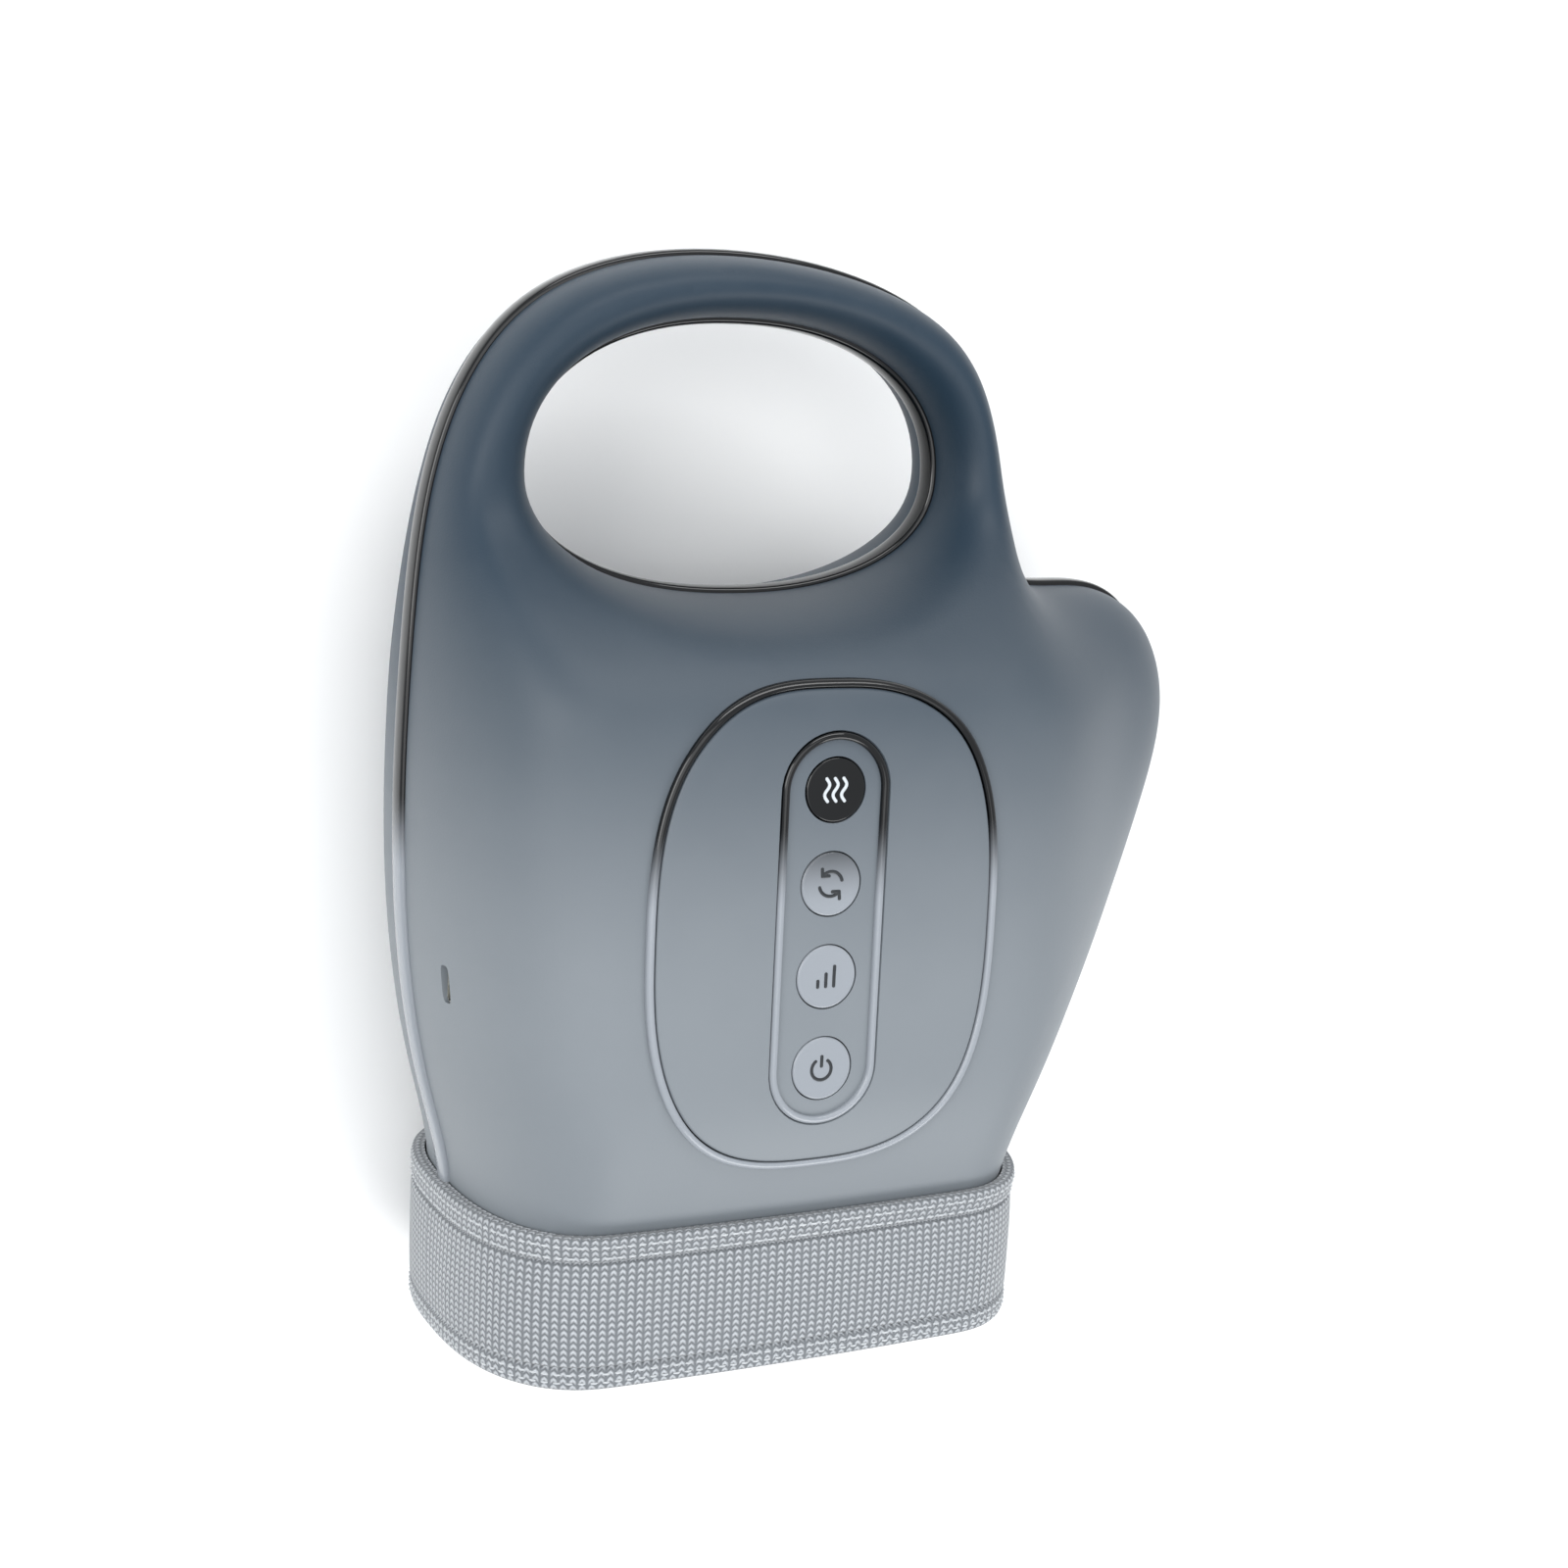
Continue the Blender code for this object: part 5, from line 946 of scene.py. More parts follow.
@dataclass(frozen=True)
class Form:
    """The casing's outline and skin, with the sizes that the model gives them.

    A zone says where a change begins and ends, as shares of half the width or half the length.
    """

    length: float = 0.280
    width: float = 0.220
    wall: float = 0.003
    parting: float = 0.050
    floor: float = 0.003
    crest: float = 0.1125
    handle_rise: float = 0.020
    wrist_drop: float = 0.018
    wrist_lift: float = 0.008
    crown: float = 0.12
    thumb_drop: float = 0.42
    handle_zone: Pair = (0.143, 0.643)
    wrist_drop_zone: Pair = (0.393, 1)
    wrist_lift_zone: Pair = (0.536, 1)
    thumb_zone: Pair = (0.273, 1)
    roll_power: float = 2.5
    palm_roll: float = 0.036
    handle_roll: float = 0.0093
    neck_roll: float = 0.028
    thumb_roll: float = 0.020
    opening_roll: float = 0.0125
    neck_roll_zone: Pair = (0.29, 0.768)
    handle_roll_zone: Pair = (0.143, 0.607)
    seam_gap: float = 0.0009
    proud: float = 0.0016
    mouth_y: float = -0.10752
    opening: tuple = (-0.021796, 0.08396, 0.057472, 0.03754, 0.0295)
    opening_power: float = 2.2
    opening_points: int = 120
    island_centre: Pair = (-0.01903, -0.02324)
    island_half: Pair = (0.0468, 0.0608)
    island_power: float = 2.75
    strip_radius: float = 0.0145
    strip_straight: float = 0.035
    steps: int = 14
    pocket_steps: int = 8
    neck_steps: int = 24

    @cached_property
    def body_line(self) -> Points:
        """The outline of the gloss band, in fine steps."""
        return closed_curve(np.array(OUTLINE_SHARES) * (self.width / 2, self.length / 2), self.steps)

    @cached_property
    def shell_line(self) -> Points:
        """The outline of the shells, inside the band."""
        return offset(self.body_line, -self.proud)

    @cached_property
    def opening_line(self) -> Points:
        """The handle opening's gloss edge."""
        x, y, half_width, up, down = self.opening
        return superellipse((x, y), half_width, up, down, self.opening_power, self.opening_points)

    @cached_property
    def shell_opening(self) -> Points:
        """The handle opening in the shells, outside its gloss edge."""
        return offset(self.opening_line, self.proud)

    @cached_property
    def pocket_line(self) -> Points:
        """The hand pocket's outline."""
        return closed_curve(np.array(POCKET_SHARES) * (self.width / 2, self.length / 2), self.pocket_steps)

    def through(self, zone: Pair, place: Array, side: float) -> Array:
        """Tell how far places have gone through a zone of a side's length, eased."""
        return ease((place / side - zone[0]) / (zone[1] - zone[0]))

    def roll_radius(self, points: Points) -> Array:
        """Find the outer edge's roll.

        Args:
            points: flat points.

        Returns:
            A radius for each point.
        """
        x, y, half_length, half_width = points[:, 0], points[:, 1], self.length / 2, self.width / 2
        neck = self.through(self.neck_roll_zone, -y, half_length)
        radius = self.palm_roll + (self.neck_roll - self.palm_roll) * neck
        radius = radius + (self.thumb_roll - radius) * self.through(self.thumb_zone, x, half_width)
        return radius + (self.handle_roll - radius) * self.through(self.handle_roll_zone, y, half_length)

    def opening_radius(self, points: Points) -> Array:
        """Find the roll of the handle opening's edge at each point, tighter on the handle's bar."""
        start, roll = self.opening[1] - self.opening[4] / 2, self.opening_roll
        return roll + (self.handle_roll - roll) * ease((points[:, 1] - start) / (self.length / 2 - start))

    def height(self, points: Points, half: Half = Half.UPPER) -> Array:
        """Find the height of a shell's skin.

        Args:
            points: flat points.
            half: which shell.

        Returns:
            A height for each point.
        """
        x, y, half_length, half_width = points[:, 0], points[:, 1], self.length / 2, self.width / 2
        handle = self.through(self.handle_zone, y, half_length)
        if half is Half.UPPER:
            palm = self.crest - self.parting
            rise = palm + (self.handle_rise - palm) * handle
            rise = rise - self.wrist_drop * self.through(self.wrist_drop_zone, -y, half_length)
            crown = self.crown * ((x - self.island_centre[0]) / half_width) ** 2
            rise = rise * (1 - self.thumb_drop * self.through(self.thumb_zone, x, half_width) - crown)
        else:
            rise = self.parting - self.floor
            rise = rise + (self.handle_rise - rise) * handle
            rise = rise - self.wrist_lift * self.through(self.wrist_lift_zone, -y, half_length)
        rolled = 1.0
        for line, radius in (
            (self.shell_line, self.roll_radius(points)), (self.shell_opening, self.opening_radius(points)),
        ):
            share = np.clip(distance_to(line, points) / radius, 0, 1)
            rolled = rolled * (1 - (1 - share) ** self.roll_power) ** (1 / self.roll_power)
        return self.parting + half.value * np.maximum(rise * rolled, self.seam_gap)

    def on_skin(self, loop: Points, lift: float) -> Points:
        """Lay a loop on the palm's skin, lifted by a distance."""
        return np.column_stack([loop, self.height(loop) + lift])

    def island_line(self, distance: float, count: int = 144) -> Points:
        """The island's outline, moved outwards by a distance."""
        half_width, half_length = self.island_half
        line = superellipse(self.island_centre, half_width, half_length, half_length, self.island_power, count)
        return offset(line, distance)

    def strip_line(self, distance: float, arc: int = 33, side: int = 24) -> Points:
        """Draw the key strip's outline.

        Args:
            distance: how far outwards it is moved.
            arc: how many points each round end has.
            side: how many points each straight side has, with its ends.

        Returns:
            The outline.
        """
        radius, straight = self.strip_radius + distance, self.strip_straight
        places = np.linspace(straight, -straight, side)[1:-1]
        top = unit(np.linspace(0, pi, arc)) * radius + (0, straight)
        left = np.column_stack([np.full(len(places), -radius), places])
        return np.concatenate([top, left, -top, -left]) + self.island_centre

    def neck(self, y: float, distance: float, count: int = 240) -> Points:
        """Draw the neck's outline across the hand.

        Args:
            y: where it is cut.
            distance: how far outwards it is moved.
            count: how many points it has.

        Returns:
            Points of x and z, evenly spaced from the parting line away from the thumb.
        """
        left, right = width_at(self.shell_line, y)
        radius = self.roll_radius(np.array([[left, y]]))[0]
        reach = radius * (1 - np.cos(np.linspace(0, pi / 2, self.neck_steps)) ** (2 / self.roll_power))
        flat_part = np.linspace(left + reach[-1], right - reach[-1], self.neck_steps)[1:-1]
        x = np.concatenate([left + reach, flat_part, right - reach[::-1]])
        plan = np.column_stack([x, np.full(len(x), y)])
        below = np.column_stack([x, self.height(plan, Half.LOWER)])
        above = np.column_stack([x, self.height(plan, Half.UPPER)])[::-1]
        return resampled(offset(resampled(np.concatenate([below, above]), count), distance), count)


# The casing


@dataclass(frozen=True)
class SkinNet:
    """The points that a shell's skin runs through: in rings where an edge rolls over, and even between them."""

    form: Form
    outer: Points
    holes: list
    pitch: float
    roll_degrees: tuple = (3, 6, 10, 14, 19, 25, 31, 38, 45, 52, 60, 68, 76, 83, 90)
    narrow_share: float = 0.94  # of half the handle bar's width, which the rings keep within
    stray_share: float = 0.93  # of its own depth, nearer than which a ring has met another edge's rings
    grid_from: float = 0.55  # of the roll, past which the even points begin
    ring_room: float = 0.00002  # between a ring's point and an edge
    grid_room: float = 0.45  # between an even point and an edge, in pitches
    ring_share: float = 0.2  # of its depth, within which a ring's point stands alone
    ring_reach: float = 0.0009  # the most that this may be
    grid_reach: float = 0.6  # within which an even point stands alone, in pitches

    def depth(self, points: Points) -> Array:
        """Measure how far points lie from the casing's outline or the handle's opening."""
        return distance_to_any([self.form.shell_line, self.form.shell_opening], points)

    def rings(self) -> Points:
        """Draw rings along both rolled edges, at even turns of the roll.

        Returns:
            The rings' points.
        """
        form, found = self.form, []
        for line, radii, inwards in (
            (form.shell_line, form.roll_radius(form.shell_line), 1),
            (form.shell_opening, form.opening_radius(form.shell_opening), -1),
        ):
            fence = np.maximum(distance_to(form.shell_line, line), distance_to(form.shell_opening, line)) / 2
            shrink = np.minimum(radii, fence * self.narrow_share) / radii
            for turn in np.radians(self.roll_degrees):
                depth = (1 - cos(turn) ** (2 / form.roll_power)) * radii * shrink
                ring = offset(line, -inwards * depth)
                found.append(ring[(self.depth(ring) > self.stray_share * depth) & (depth > 0)])
        return np.concatenate(found)

    def grid(self) -> Points:
        """Spread even points over the whole plan, every other row shifted by half a pitch."""
        sides = (self.form.width, self.form.length)
        across, along = (np.arange(-side / 2, side / 2, self.pitch) for side in sides)
        return np.array([(x + (k % 2) * self.pitch / 2, y) for k, y in enumerate(along) for x in across])

    def thinned(self, points: Points, reach: Array) -> Points:
        """Drop the later of any two points that are too near each other.

        Args:
            points: the points.
            reach: the room that each one needs.

        Returns:
            The points that are left.
        """
        tree, dropped = KDTree(len(points)), set()
        for i, point in enumerate(points):
            tree.insert((*point, 0), i)
        tree.balance()
        for i, point in enumerate(points):
            if i not in dropped:
                dropped.update(j for _, j, _ in tree.find_range((*point, 0), reach[i]) if j > i)
        return points[np.array([i not in dropped for i in range(len(points))])]

    def points(self) -> Points:
        """Put the edges, the rings and the even points together.

        Returns:
            The points, the edges' own first.
        """
        form, edges, rings, grid = self.form, [self.outer, *self.holes], self.rings(), self.grid()
        points = np.concatenate([rings, grid])
        keep = in_plan(self.outer, self.holes, points)
        for line, radii in (
            (form.shell_line, form.roll_radius(grid)), (form.shell_opening, form.opening_radius(grid)),
        ):
            keep[len(rings) :] &= distance_to(line, grid) > radii * self.grid_from
        ringed = np.arange(len(points)) < len(rings)
        keep &= distance_to_any(edges, points) > np.where(ringed, self.ring_room, self.pitch * self.grid_room)
        points, ringed = points[keep], ringed[keep]
        ring_reach = np.minimum(self.ring_share * self.depth(points), self.ring_reach)
        reach = np.where(ringed, ring_reach, self.pitch * self.grid_reach)
        return np.concatenate([*edges, self.thinned(points, reach)])


def triangles(points: Points, outer: Points, holes: list[Points]) -> list:
    """Join flat points into triangles between an outline and its holes.

    Args:
        points: the points, of which the outline's and the holes' come first.
        outer: the outline.
        holes: the holes' outlines.

    Returns:
        The triangles, as numbers of points.
    """
    runs, start = [], 0
    for loop in (outer, *holes):
        runs += [(start + i, start + (i + 1) % len(loop)) for i in range(len(loop))]
        start += len(loop)
    made = delaunay_2d_cdt([Vector(point) for point in points], runs, [], 0, 1e-8, True)
    corners, faces, origins = np.array([tuple(c) for c in made[0]]), made[2], made[3]
    keep = in_plan(outer, holes, corners[np.array(faces)].mean(1))
    return [[origins[i][0] for i in face] for face, kept in zip(faces, keep) if kept]


@dataclass
class Casing:
    """The two shells, the gloss band and edge between them, and the feet."""

    form: Form
    pitch: float = 0.0042
    shell_thickness: float = 0.0027
    crease: float = 50.0
    band_height: float = 0.007
    band_corner: float = 0.0011
    band_crown: float = 0.0002
    band_shoulder: float = 0.00015
    band_tuck: float = 0.0006
    well_radius: float = 0.0031
    well_sides: int = 28
    well_clearance: float = 0.0001
    well_lip: float = 0.0004
    well_roof: float = 0.040
    well_shares: tuple = ((-0.200, 0.929), (-0.873, 0.329), (0.850, 0.171), (-0.800, -0.607), (0.468, -0.607))
    screw_hole: float = 0.0017
    screw_depth: float = 0.008
    foot_radius: float = 0.008
    foot_top: float = 0.0027
    foot_edge: float = 0.0008
    foot_shares: tuple = ((-0.620, 0.150), (0.420, 0.120), (-0.540, -0.500), (0.260, -0.500))
    groove_radii: Pair = (0.0030, 0.0052)
    groove_half: float = 0.0004
    groove_floor: float = 0.0002
    groove_depth: float = 0.0003
    socket: Triple = (-0.10334, -0.04004, 0.0758)
    socket_half: Pair = (0.0048, 0.0019)
    socket_power: float = 4.0
    socket_points: int = 40
    socket_reach: Pair = (-0.006, 0.008)
    cuff_top: float = -0.0995

    def place(self, shares: Pair) -> Array:
        """Turn shares of half the width and half the length into a flat point."""
        return np.array(shares) * (self.form.width / 2, self.form.length / 2)

    def build(self) -> None:
        """Make and dress every piece of the casing."""
        self.shell(Half.UPPER)
        self.shell(Half.LOWER)
        self.wells()
        self.band()
        self.edge()
        self.feet()

    def shell(self, half: Half) -> None:
        """Make one shell: its skin, the thickness behind it, and its holes.

        Args:
            half: which shell.
        """
        form, name = self.form, f"{half.name.lower()}_shell"
        outer = clipped(form.shell_line, form.mouth_y)
        if half is Half.UPPER:
            holes = [form.shell_opening, form.island_line(0.0)]
        else:
            places = map(self.place, self.well_shares)
            wells = [circle(place, self.well_radius, self.well_sides) for place in places]
            holes = [form.shell_opening, *wells]
        flat = SkinNet(form, outer, holes, self.pitch).points()
        faces = triangles(flat, outer, holes)
        if half is Half.LOWER:
            faces = [face[::-1] for face in faces]
        points = np.column_stack([flat, form.height(flat, half)])
        shell = add_mesh(f"{name}_skin", points, faces, outward=False)
        thicken = shell.modifiers.new("wall", "SOLIDIFY")
        thicken.thickness, thicken.offset = self.shell_thickness, -1
        if half is Half.UPPER:
            cut = shell.modifiers.new("slot", "BOOLEAN")
            cut.solver, cut.operation, cut.object = "EXACT", "DIFFERENCE", self.socket_cutter()
        graph = bpy.context.evaluated_depsgraph_get()
        kept = bpy.data.meshes.new_from_object(shell.evaluated_get(graph), depsgraph=graph)
        if half is Half.UPPER:
            bpy.data.objects.remove(cut.object, do_unlink=True)
        shell.modifiers.clear()
        shell.data = kept
        shell.data.shade_smooth()
        shell.data.set_sharp_from_angle(angle=radians(self.crease))
        settle(shell, CASING_COAT, "shell", name)

    def socket_cutter(self) -> Piece:
        """Make a rounded slot through the flank, a little larger than the charging socket.

        Returns:
            The object that cuts it.
        """
        x, y, z = self.socket
        wide, tall = self.socket_half
        loop = superellipse((y, z), wide, tall, tall, self.socket_power, self.socket_points)
        rings = [np.column_stack([np.full(len(loop), x + shift), loop]) for shift in self.socket_reach]
        return loft("socket_cutter", rings)

    def wells(self) -> None:
        """Line the screw wells in the underside, down to the seat under each screw's head."""
        parts = []
        for centre in map(self.place, self.well_shares):
            loop = circle(centre, self.well_radius - self.well_clearance, self.well_sides)
            seat = circle(centre, self.screw_hole, self.well_sides)
            rings = [
                raised(loop, self.form.height(loop, Half.LOWER) + self.well_lip),
                raised(loop, self.well_roof),
                raised(seat, self.well_roof),
                raised(seat, self.well_roof + self.screw_depth),
            ]
            parts.append(skin_over(rings))
        settle(joined("screw_wells", parts, outward=False), CASING_COAT, "shell")

    def ribbon(self, line: Points, outwards: int) -> list[Points]:
        """Draw a gloss strip along a line, with a rounded face.

        Args:
            line: the middle of its face.
            outwards: 1 if the face looks out of the line, and -1 if it looks in.

        Returns:
            A loop for each corner of the strip's section.
        """
        half, corner, crown = self.band_height / 2, self.band_corner, self.band_crown
        profile = [(self.form.proud + self.band_tuck, half)]
        for turn in np.linspace(pi / 2, 0, CORNER_STEPS):
            profile.append((corner - corner * cos(turn), half - corner + corner * sin(turn)))
        shoulder = -self.band_shoulder
        profile += [(shoulder, half / 2), (-crown, 0.0), (shoulder, -half / 2)]
        profile += [(depth, -height) for depth, height in reversed(profile[:-3])]
        parting = self.form.parting
        return [raised(offset(line, -outwards * (depth + crown)), parting + h) for depth, h in profile]

    def band(self) -> None:
        """Make the gloss band along the parting line, which ends under the cuff's edge."""
        line = self.form.body_line
        rings = self.ribbon(line, 1)
        above = line[:, 1] > self.cuff_top
        first = int(np.flatnonzero(above & ~np.roll(above, 1))[0])
        order = [(first + k) % len(line) for k in range(int(above.sum()))]
        sections = [np.array([ring[i] for ring in rings]) for i in order]
        for end, inner in ((0, 1), (-1, -2)):
            run = sections[end] - sections[inner]
            sections[end] = sections[inner] + run * ((self.cuff_top - sections[inner][0, 1]) / run[0, 1])
        piece = loft("seam_band_gloss", sections, sharp=self.crease)
        settle(piece, LACQUER, "gloss_trim", "seam_band")

    def edge(self) -> None:
        """Make the gloss edge round the handle's opening."""
        piece = loft("handle_trim_gloss", self.ribbon(self.form.opening_line, -1), wrap=True, sharp=self.crease)
        settle(piece, LACQUER, "gloss_trim", "handle_trim")

    def feet(self) -> None:
        """Make the four rubber feet, each with two grip grooves and a rounded edge."""
        radius, top, edge, deep = self.foot_radius, self.foot_top, self.foot_edge, self.groove_depth
        lip, floor = self.groove_half, self.groove_floor
        profile = [(0, 0)]
        for groove in self.groove_radii:
            profile += [(groove - lip, 0), (groove - floor, deep), (groove + floor, deep), (groove + lip, 0)]
        for turn in np.linspace(0, pi / 2, CORNER_STEPS):
            profile.append((radius - edge + edge * sin(turn), edge - edge * cos(turn)))
        profile += [(radius, top), (0, top)]
        for name, shares in zip(("front_left", "front_right", "back_left", "back_right"), self.foot_shares):
            piece = turned(f"{name}_foot_pad", profile, self.place(shares))
            settle(piece, FOOT_RUBBER, "foot_rubber", f"{name}_foot")


# The control island


@dataclass
class Island:
    """The raised panel with its gloss ring, and the key strip with its four keys."""

    form: Form
    lift: float = 0.0010
    gap: float = 0.0013
    tuck: float = 0.003
    panel_edge: float = 0.0006
    panel_points: int = 180
    panel_rings: int = 14
    window_gap: float = 0.00015
    window_edge: Pair = (0.0004, 0.0004)
    ring_half: float = 0.0010
    ring_crown: float = 0.0008
    line_lift: float = 0.0015
    line_width: float = 0.0020
    line_crown: float = 0.0009
    line_tuck: float = 0.001
    crown_steps: int = 11
    face_lift: float = 0.0002
    face_pitch: float = 0.0016
    face_margin: float = 0.0003
    face_clear: float = 0.4  # of the face's pitch
    key_pitch: float = 0.0234
    key_radius: float = 0.0080
    key_gap: float = 0.0003
    key_hole_sides: int = 72
    key_sides: int = 96
    key_rim: float = 0.0005
    key_lift: float = 0.0004
    key_dish: float = 0.0003
    dish_rings: int = 12
    flange_reach: float = 0.0013
    flange_height: float = 0.001
    flange_gap: float = 0.0003
    strip_base: float = 0.1075
    stem_radius: float = 0.00175
    stem_tip: float = 0.1025
    mark_height: float = 0.00022
    mark_half_width: float = 0.00042
    mark_root: float = 0.0002
    mark_across: int = 7
    mark_ends: Pair = (0.02, 0.05)  # the least width and height at a stroke's ends, in shares

    def build(self) -> None:
        """Make and dress every piece of the island."""
        self.panel()
        self.ring()
        self.strip()
        for key, centre in self.places().items():
            self.key(key, centre)

    def places(self) -> dict[Key, Array]:
        """Each key's centre."""
        centre = np.array(self.form.island_centre)
        return {key: centre + (0, (1.5 - k) * self.key_pitch) for k, key in enumerate(Key)}

    def panel(self) -> None:
        """Make the panel, with a soft outer edge and a window for the strip."""
        form, centre, count = self.form, np.array(self.form.island_centre), self.panel_points
        edge, border = self.panel_edge, -self.gap - self.panel_edge
        inner = polar(form.strip_line(self.window_gap), centre, count)
        outer = polar(form.island_line(border), centre, count)
        window = polar(form.strip_line(self.window_edge[0]), centre, count)
        rings = [
            form.on_skin(inner, self.lift - self.tuck),
            form.on_skin(inner, self.lift - self.window_edge[1]),
            form.on_skin(window, self.lift),
        ]
        for share in np.linspace(0, 1, self.panel_rings)[1:]:
            rings.append(form.on_skin(inner + (outer - inner) * share, self.lift))
        for turn in np.linspace(0, pi / 2, END_STEPS)[1:]:
            loop = polar(form.island_line(border + edge * sin(turn)), centre, count)
            rings.append(form.on_skin(loop, self.lift - edge + edge * cos(turn)))
        rings.append(form.on_skin(loop, -self.tuck))
        piece = add_mesh("island_panel_face", *skin_over(rings), 50)
        settle(piece, ISLAND_COAT, "island", "island_panel")

    def ring(self) -> None:
        """Make the gloss ring round the panel, half round on top."""
        form, half, crown = self.form, self.ring_half, self.ring_crown
        rings = [form.on_skin(form.island_line(-half), -self.tuck)]
        for turn in np.linspace(pi, 0, self.crown_steps):
            loop = form.island_line(half * cos(turn))
            rings.append(form.on_skin(loop, self.line_lift - crown + crown * sin(turn)))
        rings.append(form.on_skin(form.island_line(half), -self.tuck))
        settle(loft("island_ring_gloss", rings, wrap=True), LACQUER, "gloss_trim", "island_ring")

    def strip(self) -> None:
        """Make the key strip: a satin face with four round holes, and the gloss line round it."""
        form, pitch = self.form, self.face_pitch
        outer = form.strip_line(-self.line_width + self.face_margin)
        reach, sides = self.key_radius + self.key_gap, self.key_hole_sides
        holes = [circle(centre, reach, sides) for centre in self.places().values()]
        grid = plan_grid(outer, pitch)
        keep = in_plan(outer, holes, grid) & (distance_to_any([outer, *holes], grid) > pitch * self.face_clear)
        flat = np.concatenate([outer, *holes, grid[keep]])
        faces = triangles(flat, outer, holes)
        parts = [(form.on_skin(flat, self.face_lift), faces, [(0.0, 0.0)] * sum(map(len, faces)))]
        for hole in holes:
            parts.append(skin_over([form.on_skin(hole, self.face_lift), raised(hole, self.strip_base)]))
        face = joined("key_strip_face", parts, 30, outward=False)
        settle(face, ISLAND_COAT, "island", "key_bezel")
        half, crown = self.line_width / 2, self.line_crown
        rings = [form.on_skin(form.strip_line(-self.line_width), -self.line_tuck)]
        for turn in np.linspace(pi, 0, self.crown_steps):
            loop = form.strip_line(-half + half * cos(turn))
            rings.append(form.on_skin(loop, self.line_lift - crown + crown * sin(turn)))
        rings.append(form.on_skin(form.strip_line(0), -self.line_tuck))
        settle(loft("key_strip_line", rings, wrap=True), LACQUER, "gloss_trim", "key_bezel")

    def key_top(self, centre: Array) -> float:
        """The height of a key's rim."""
        return self.form.height(centre[None])[0] + self.key_lift

    def cap_height(self, centre: Array, reach: Array) -> Array:
        """The height of a key's dished top, at distances from its centre."""
        share = np.clip(reach / (self.key_radius - self.key_rim), 0, 1)
        return self.key_top(centre) - self.key_dish * (1 - share**2)

    def key(self, key: Key, centre: Array) -> None:
        """Make one key: a dished gloss cap with a rounded rim, its flange and stem, and its mark, pale print on
        the heat key and dark painted shade on the others.

        Args:
            key: which key.
            centre: where it stands.
        """
        radius, rim, top = self.key_radius, self.key_rim, self.key_top(centre)
        profile = [(0, top - self.key_dish)]
        for reach in np.linspace(0, radius - rim, self.dish_rings)[1:]:
            profile.append((reach, float(self.cap_height(centre, np.array([reach]))[0])))
        for turn in np.linspace(0, pi / 2, CORNER_STEPS)[1:]:
            profile.append((radius - rim + rim * sin(turn), top - rim + rim * cos(turn)))
        wide, high = radius + self.flange_reach, self.strip_base - self.flange_gap
        stem, tip = self.stem_radius, self.stem_tip
        low = high - self.flange_height
        profile += [(radius, high), (wide, high), (wide, low), (stem, low), (stem, tip), (0, tip)]
        body = f"{key.value}_button"
        cap = turned(f"{key.value}_key_cap", profile, centre, self.key_sides)
        settle(cap, LACQUER, "key_cap", f"{key.value}_key", body=body)
        parts = [self.stroke(np.array(path) * MM, centre) for path in self.mark(key)]
        # The heat key's mark is pale print; the other keys' marks are dark as painted shade of their raised
        # strokes
        ink_and_shade = PALE_PRINT if key is Key.HEAT else MARK_PAINTED_SHADE
        settle(joined(f"{key.value}_key_mark", parts), ink_and_shade, "key_cap", body=body)

    def mark(self, key: Key) -> list:
        """Draw a key's mark: three waves of heat, three rising bars, the power sign, or two turning arrows.

        Args:
            key: which key.

        Returns:
            The middle line of each stroke, in millimetres round the key's centre.
        """
        if key is Key.HEAT:
            run = np.linspace(-2.8, 2.8, 33)
            wave = 0.62 * np.sin(run * 2 * pi / 5.0)
            return [np.column_stack([x + wave, run]) for x in (-2.3, 0.0, 2.3)]
        if key is Key.INTENSITY:
            bars = ((-2.2, 1.5), (0.0, 3.2), (2.2, 5.0))
            return [[(x, -2.5), (x, -2.5 + tall / 2), (x, -2.5 + tall)] for x, tall in bars]
        if key is Key.POWER:
            arc = unit(np.radians(np.linspace(128, 412, 33))) * 2.7 - (0, 0.3)
            return [arc, [(0, 0.5), (0, 1.8), (0, 3.0)]]
        strokes = []
        for start in (15, 195):
            arc = unit(np.radians(np.linspace(start, start + 125, 25))) * 3.1
            tip, way = arc[-1], (arc[-1] - arc[-2]) / np.linalg.norm(arc[-1] - arc[-2])
            side = np.array([-way[1], way[0]])
            strokes += [arc] + [[tip, tip - 1.25 * way + sign * 1.35 * side] for sign in (1, -1)]
        return strokes

    def stroke(self, path: Points, centre: Array) -> Part:
        """Raise one stroke of a mark from a key's dish, half round across and at its ends.

        Args:
            path: the stroke's middle line round the key's centre.
            centre: the key's centre.

        Returns:
            The stroke's points, faces and runs.
        """
        run, half = straight(np.gradient(path, axis=0)), self.mark_half_width
        ends = np.linspace(0, pi / 2, END_STEPS)[:-1]
        stations = [(path[0] - run[0] * half * cos(t), run[0], sin(t)) for t in ends]
        stations += [(point, way, 1.0) for point, way in zip(path, run)]
        stations += [(path[-1] + run[-1] * half * cos(t), run[-1], sin(t)) for t in ends[::-1]]
        across, rings = np.linspace(0, pi, self.mark_across), []
        narrow, low = self.mark_ends
        for point, way, width in stations:
            side = np.array([-way[1], way[0]])
            flat = point + np.outer(np.cos(across) * half * max(width, narrow), side)
            height = self.cap_height(centre, np.linalg.norm(flat, axis=1))
            top = raised(flat + centre, height + np.sin(across) ** 0.5 * self.mark_height * max(width, low))
            middle = len(across) // 2
            rings.append(np.vstack([top, [(*(flat[middle] + centre), height[middle] - self.mark_root)]]))
        return skin_over(rings)


# The wrist cuff


